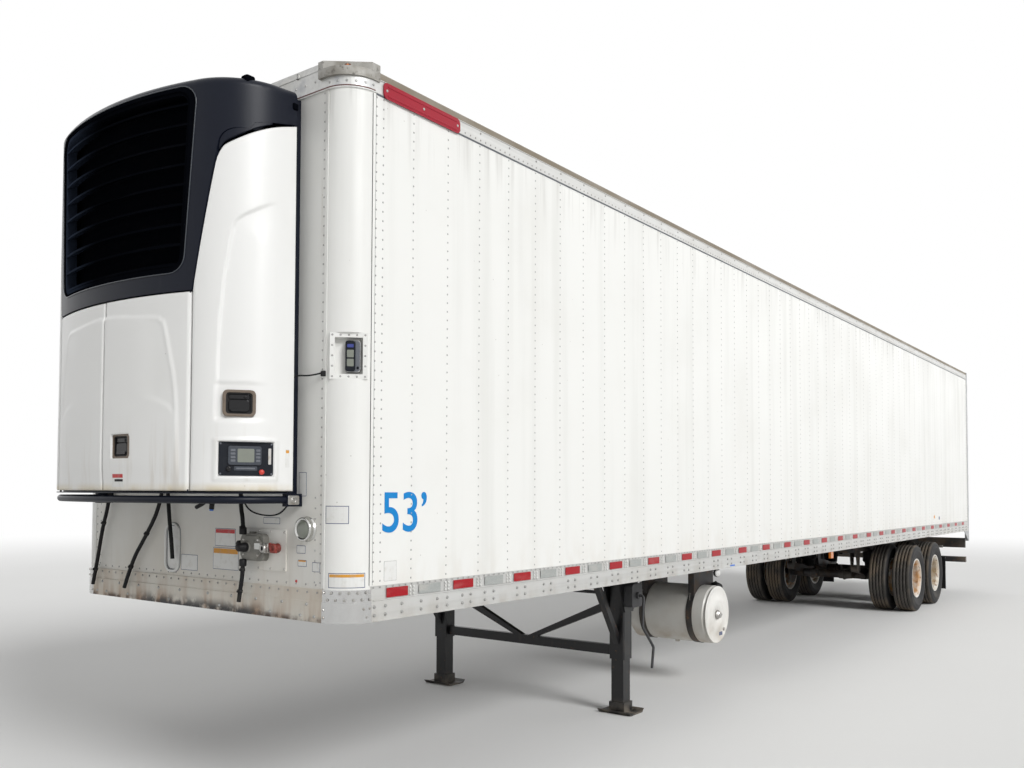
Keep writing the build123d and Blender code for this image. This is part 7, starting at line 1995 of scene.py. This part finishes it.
class TRAILER_OT_wheels(bpy.types.Operator):
    """Fit the tyres, wheel nuts and valve stems"""
    bl_idname = "trailer.wheels"
    bl_label = "Wheels and Tyres"

    def execute(self, context):
        make_tyres()
        make_wheel_nuts()
        return {"FINISHED"}


class TRAILER_OT_under(bpy.types.Operator):
    """Fit the tank's face and cap and the landing gear's and mud flaps' bolts"""
    bl_idname = "trailer.under"
    bl_label = "Tank and Landing Gear"

    def execute(self, context):
        make_tank_trims()
        make_gear_trims()
        make_mud_flap_bolts()
        return {"FINISHED"}


class TRAILER_OT_rear(bpy.types.Operator):
    """Fit the rear doors' seals, guides and bolts, and the lamps all round"""
    bl_idname = "trailer.rear"
    bl_label = "Rear Doors and Lamps"

    def execute(self, context):
        make_rear_doors()
        make_corner_and_side_lamps()
        return {"FINISHED"}


STEPS = (TRAILER_OT_stage, TRAILER_OT_hoses, TRAILER_OT_frame, TRAILER_OT_sides, TRAILER_OT_front, TRAILER_OT_unit,
         TRAILER_OT_wheels, TRAILER_OT_under, TRAILER_OT_rear)
GROUPS = {"trailer_rivets": TrailerRivets, "trailer_tyres": TrailerTyres, "trailer_hoses": TrailerHoses,
          "trailer_stage": TrailerStage}


class TRAILER_PT_panel(bpy.types.Panel):
    """Lists the steps that dress the trailer, and their sizes"""
    bl_idname = "TRAILER_PT_panel"
    bl_label = "Semi Trailer"
    bl_space_type = "VIEW_3D"
    bl_region_type = "UI"
    bl_category = "Trailer"

    def draw(self, context):
        for step in STEPS:
            self.layout.operator(step.bl_idname)
        for name, group in GROUPS.items():
            box = self.layout.box()
            for key in group.__annotations__:
                box.prop(getattr(context.scene, name), key)


def register():
    """Register the settings, the steps and the panel."""
    for name, group in GROUPS.items():
        bpy.utils.register_class(group)
        setattr(bpy.types.Scene, name, PointerProperty(type=group))
    for entry in STEPS + (TRAILER_PT_panel,):
        bpy.utils.register_class(entry)


def unregister():
    """Take them away again."""
    for entry in (TRAILER_PT_panel,) + STEPS[::-1]:
        bpy.utils.unregister_class(entry)
    for name, group in GROUPS.items():
        delattr(bpy.types.Scene, name)
        bpy.utils.unregister_class(group)


def main():
    """Run every step in order."""
    register()
    for step in STEPS:
        area, name = step.bl_idname.split(".")
        getattr(getattr(bpy.ops, area), name)()


if __name__ == "__main__":
    main()
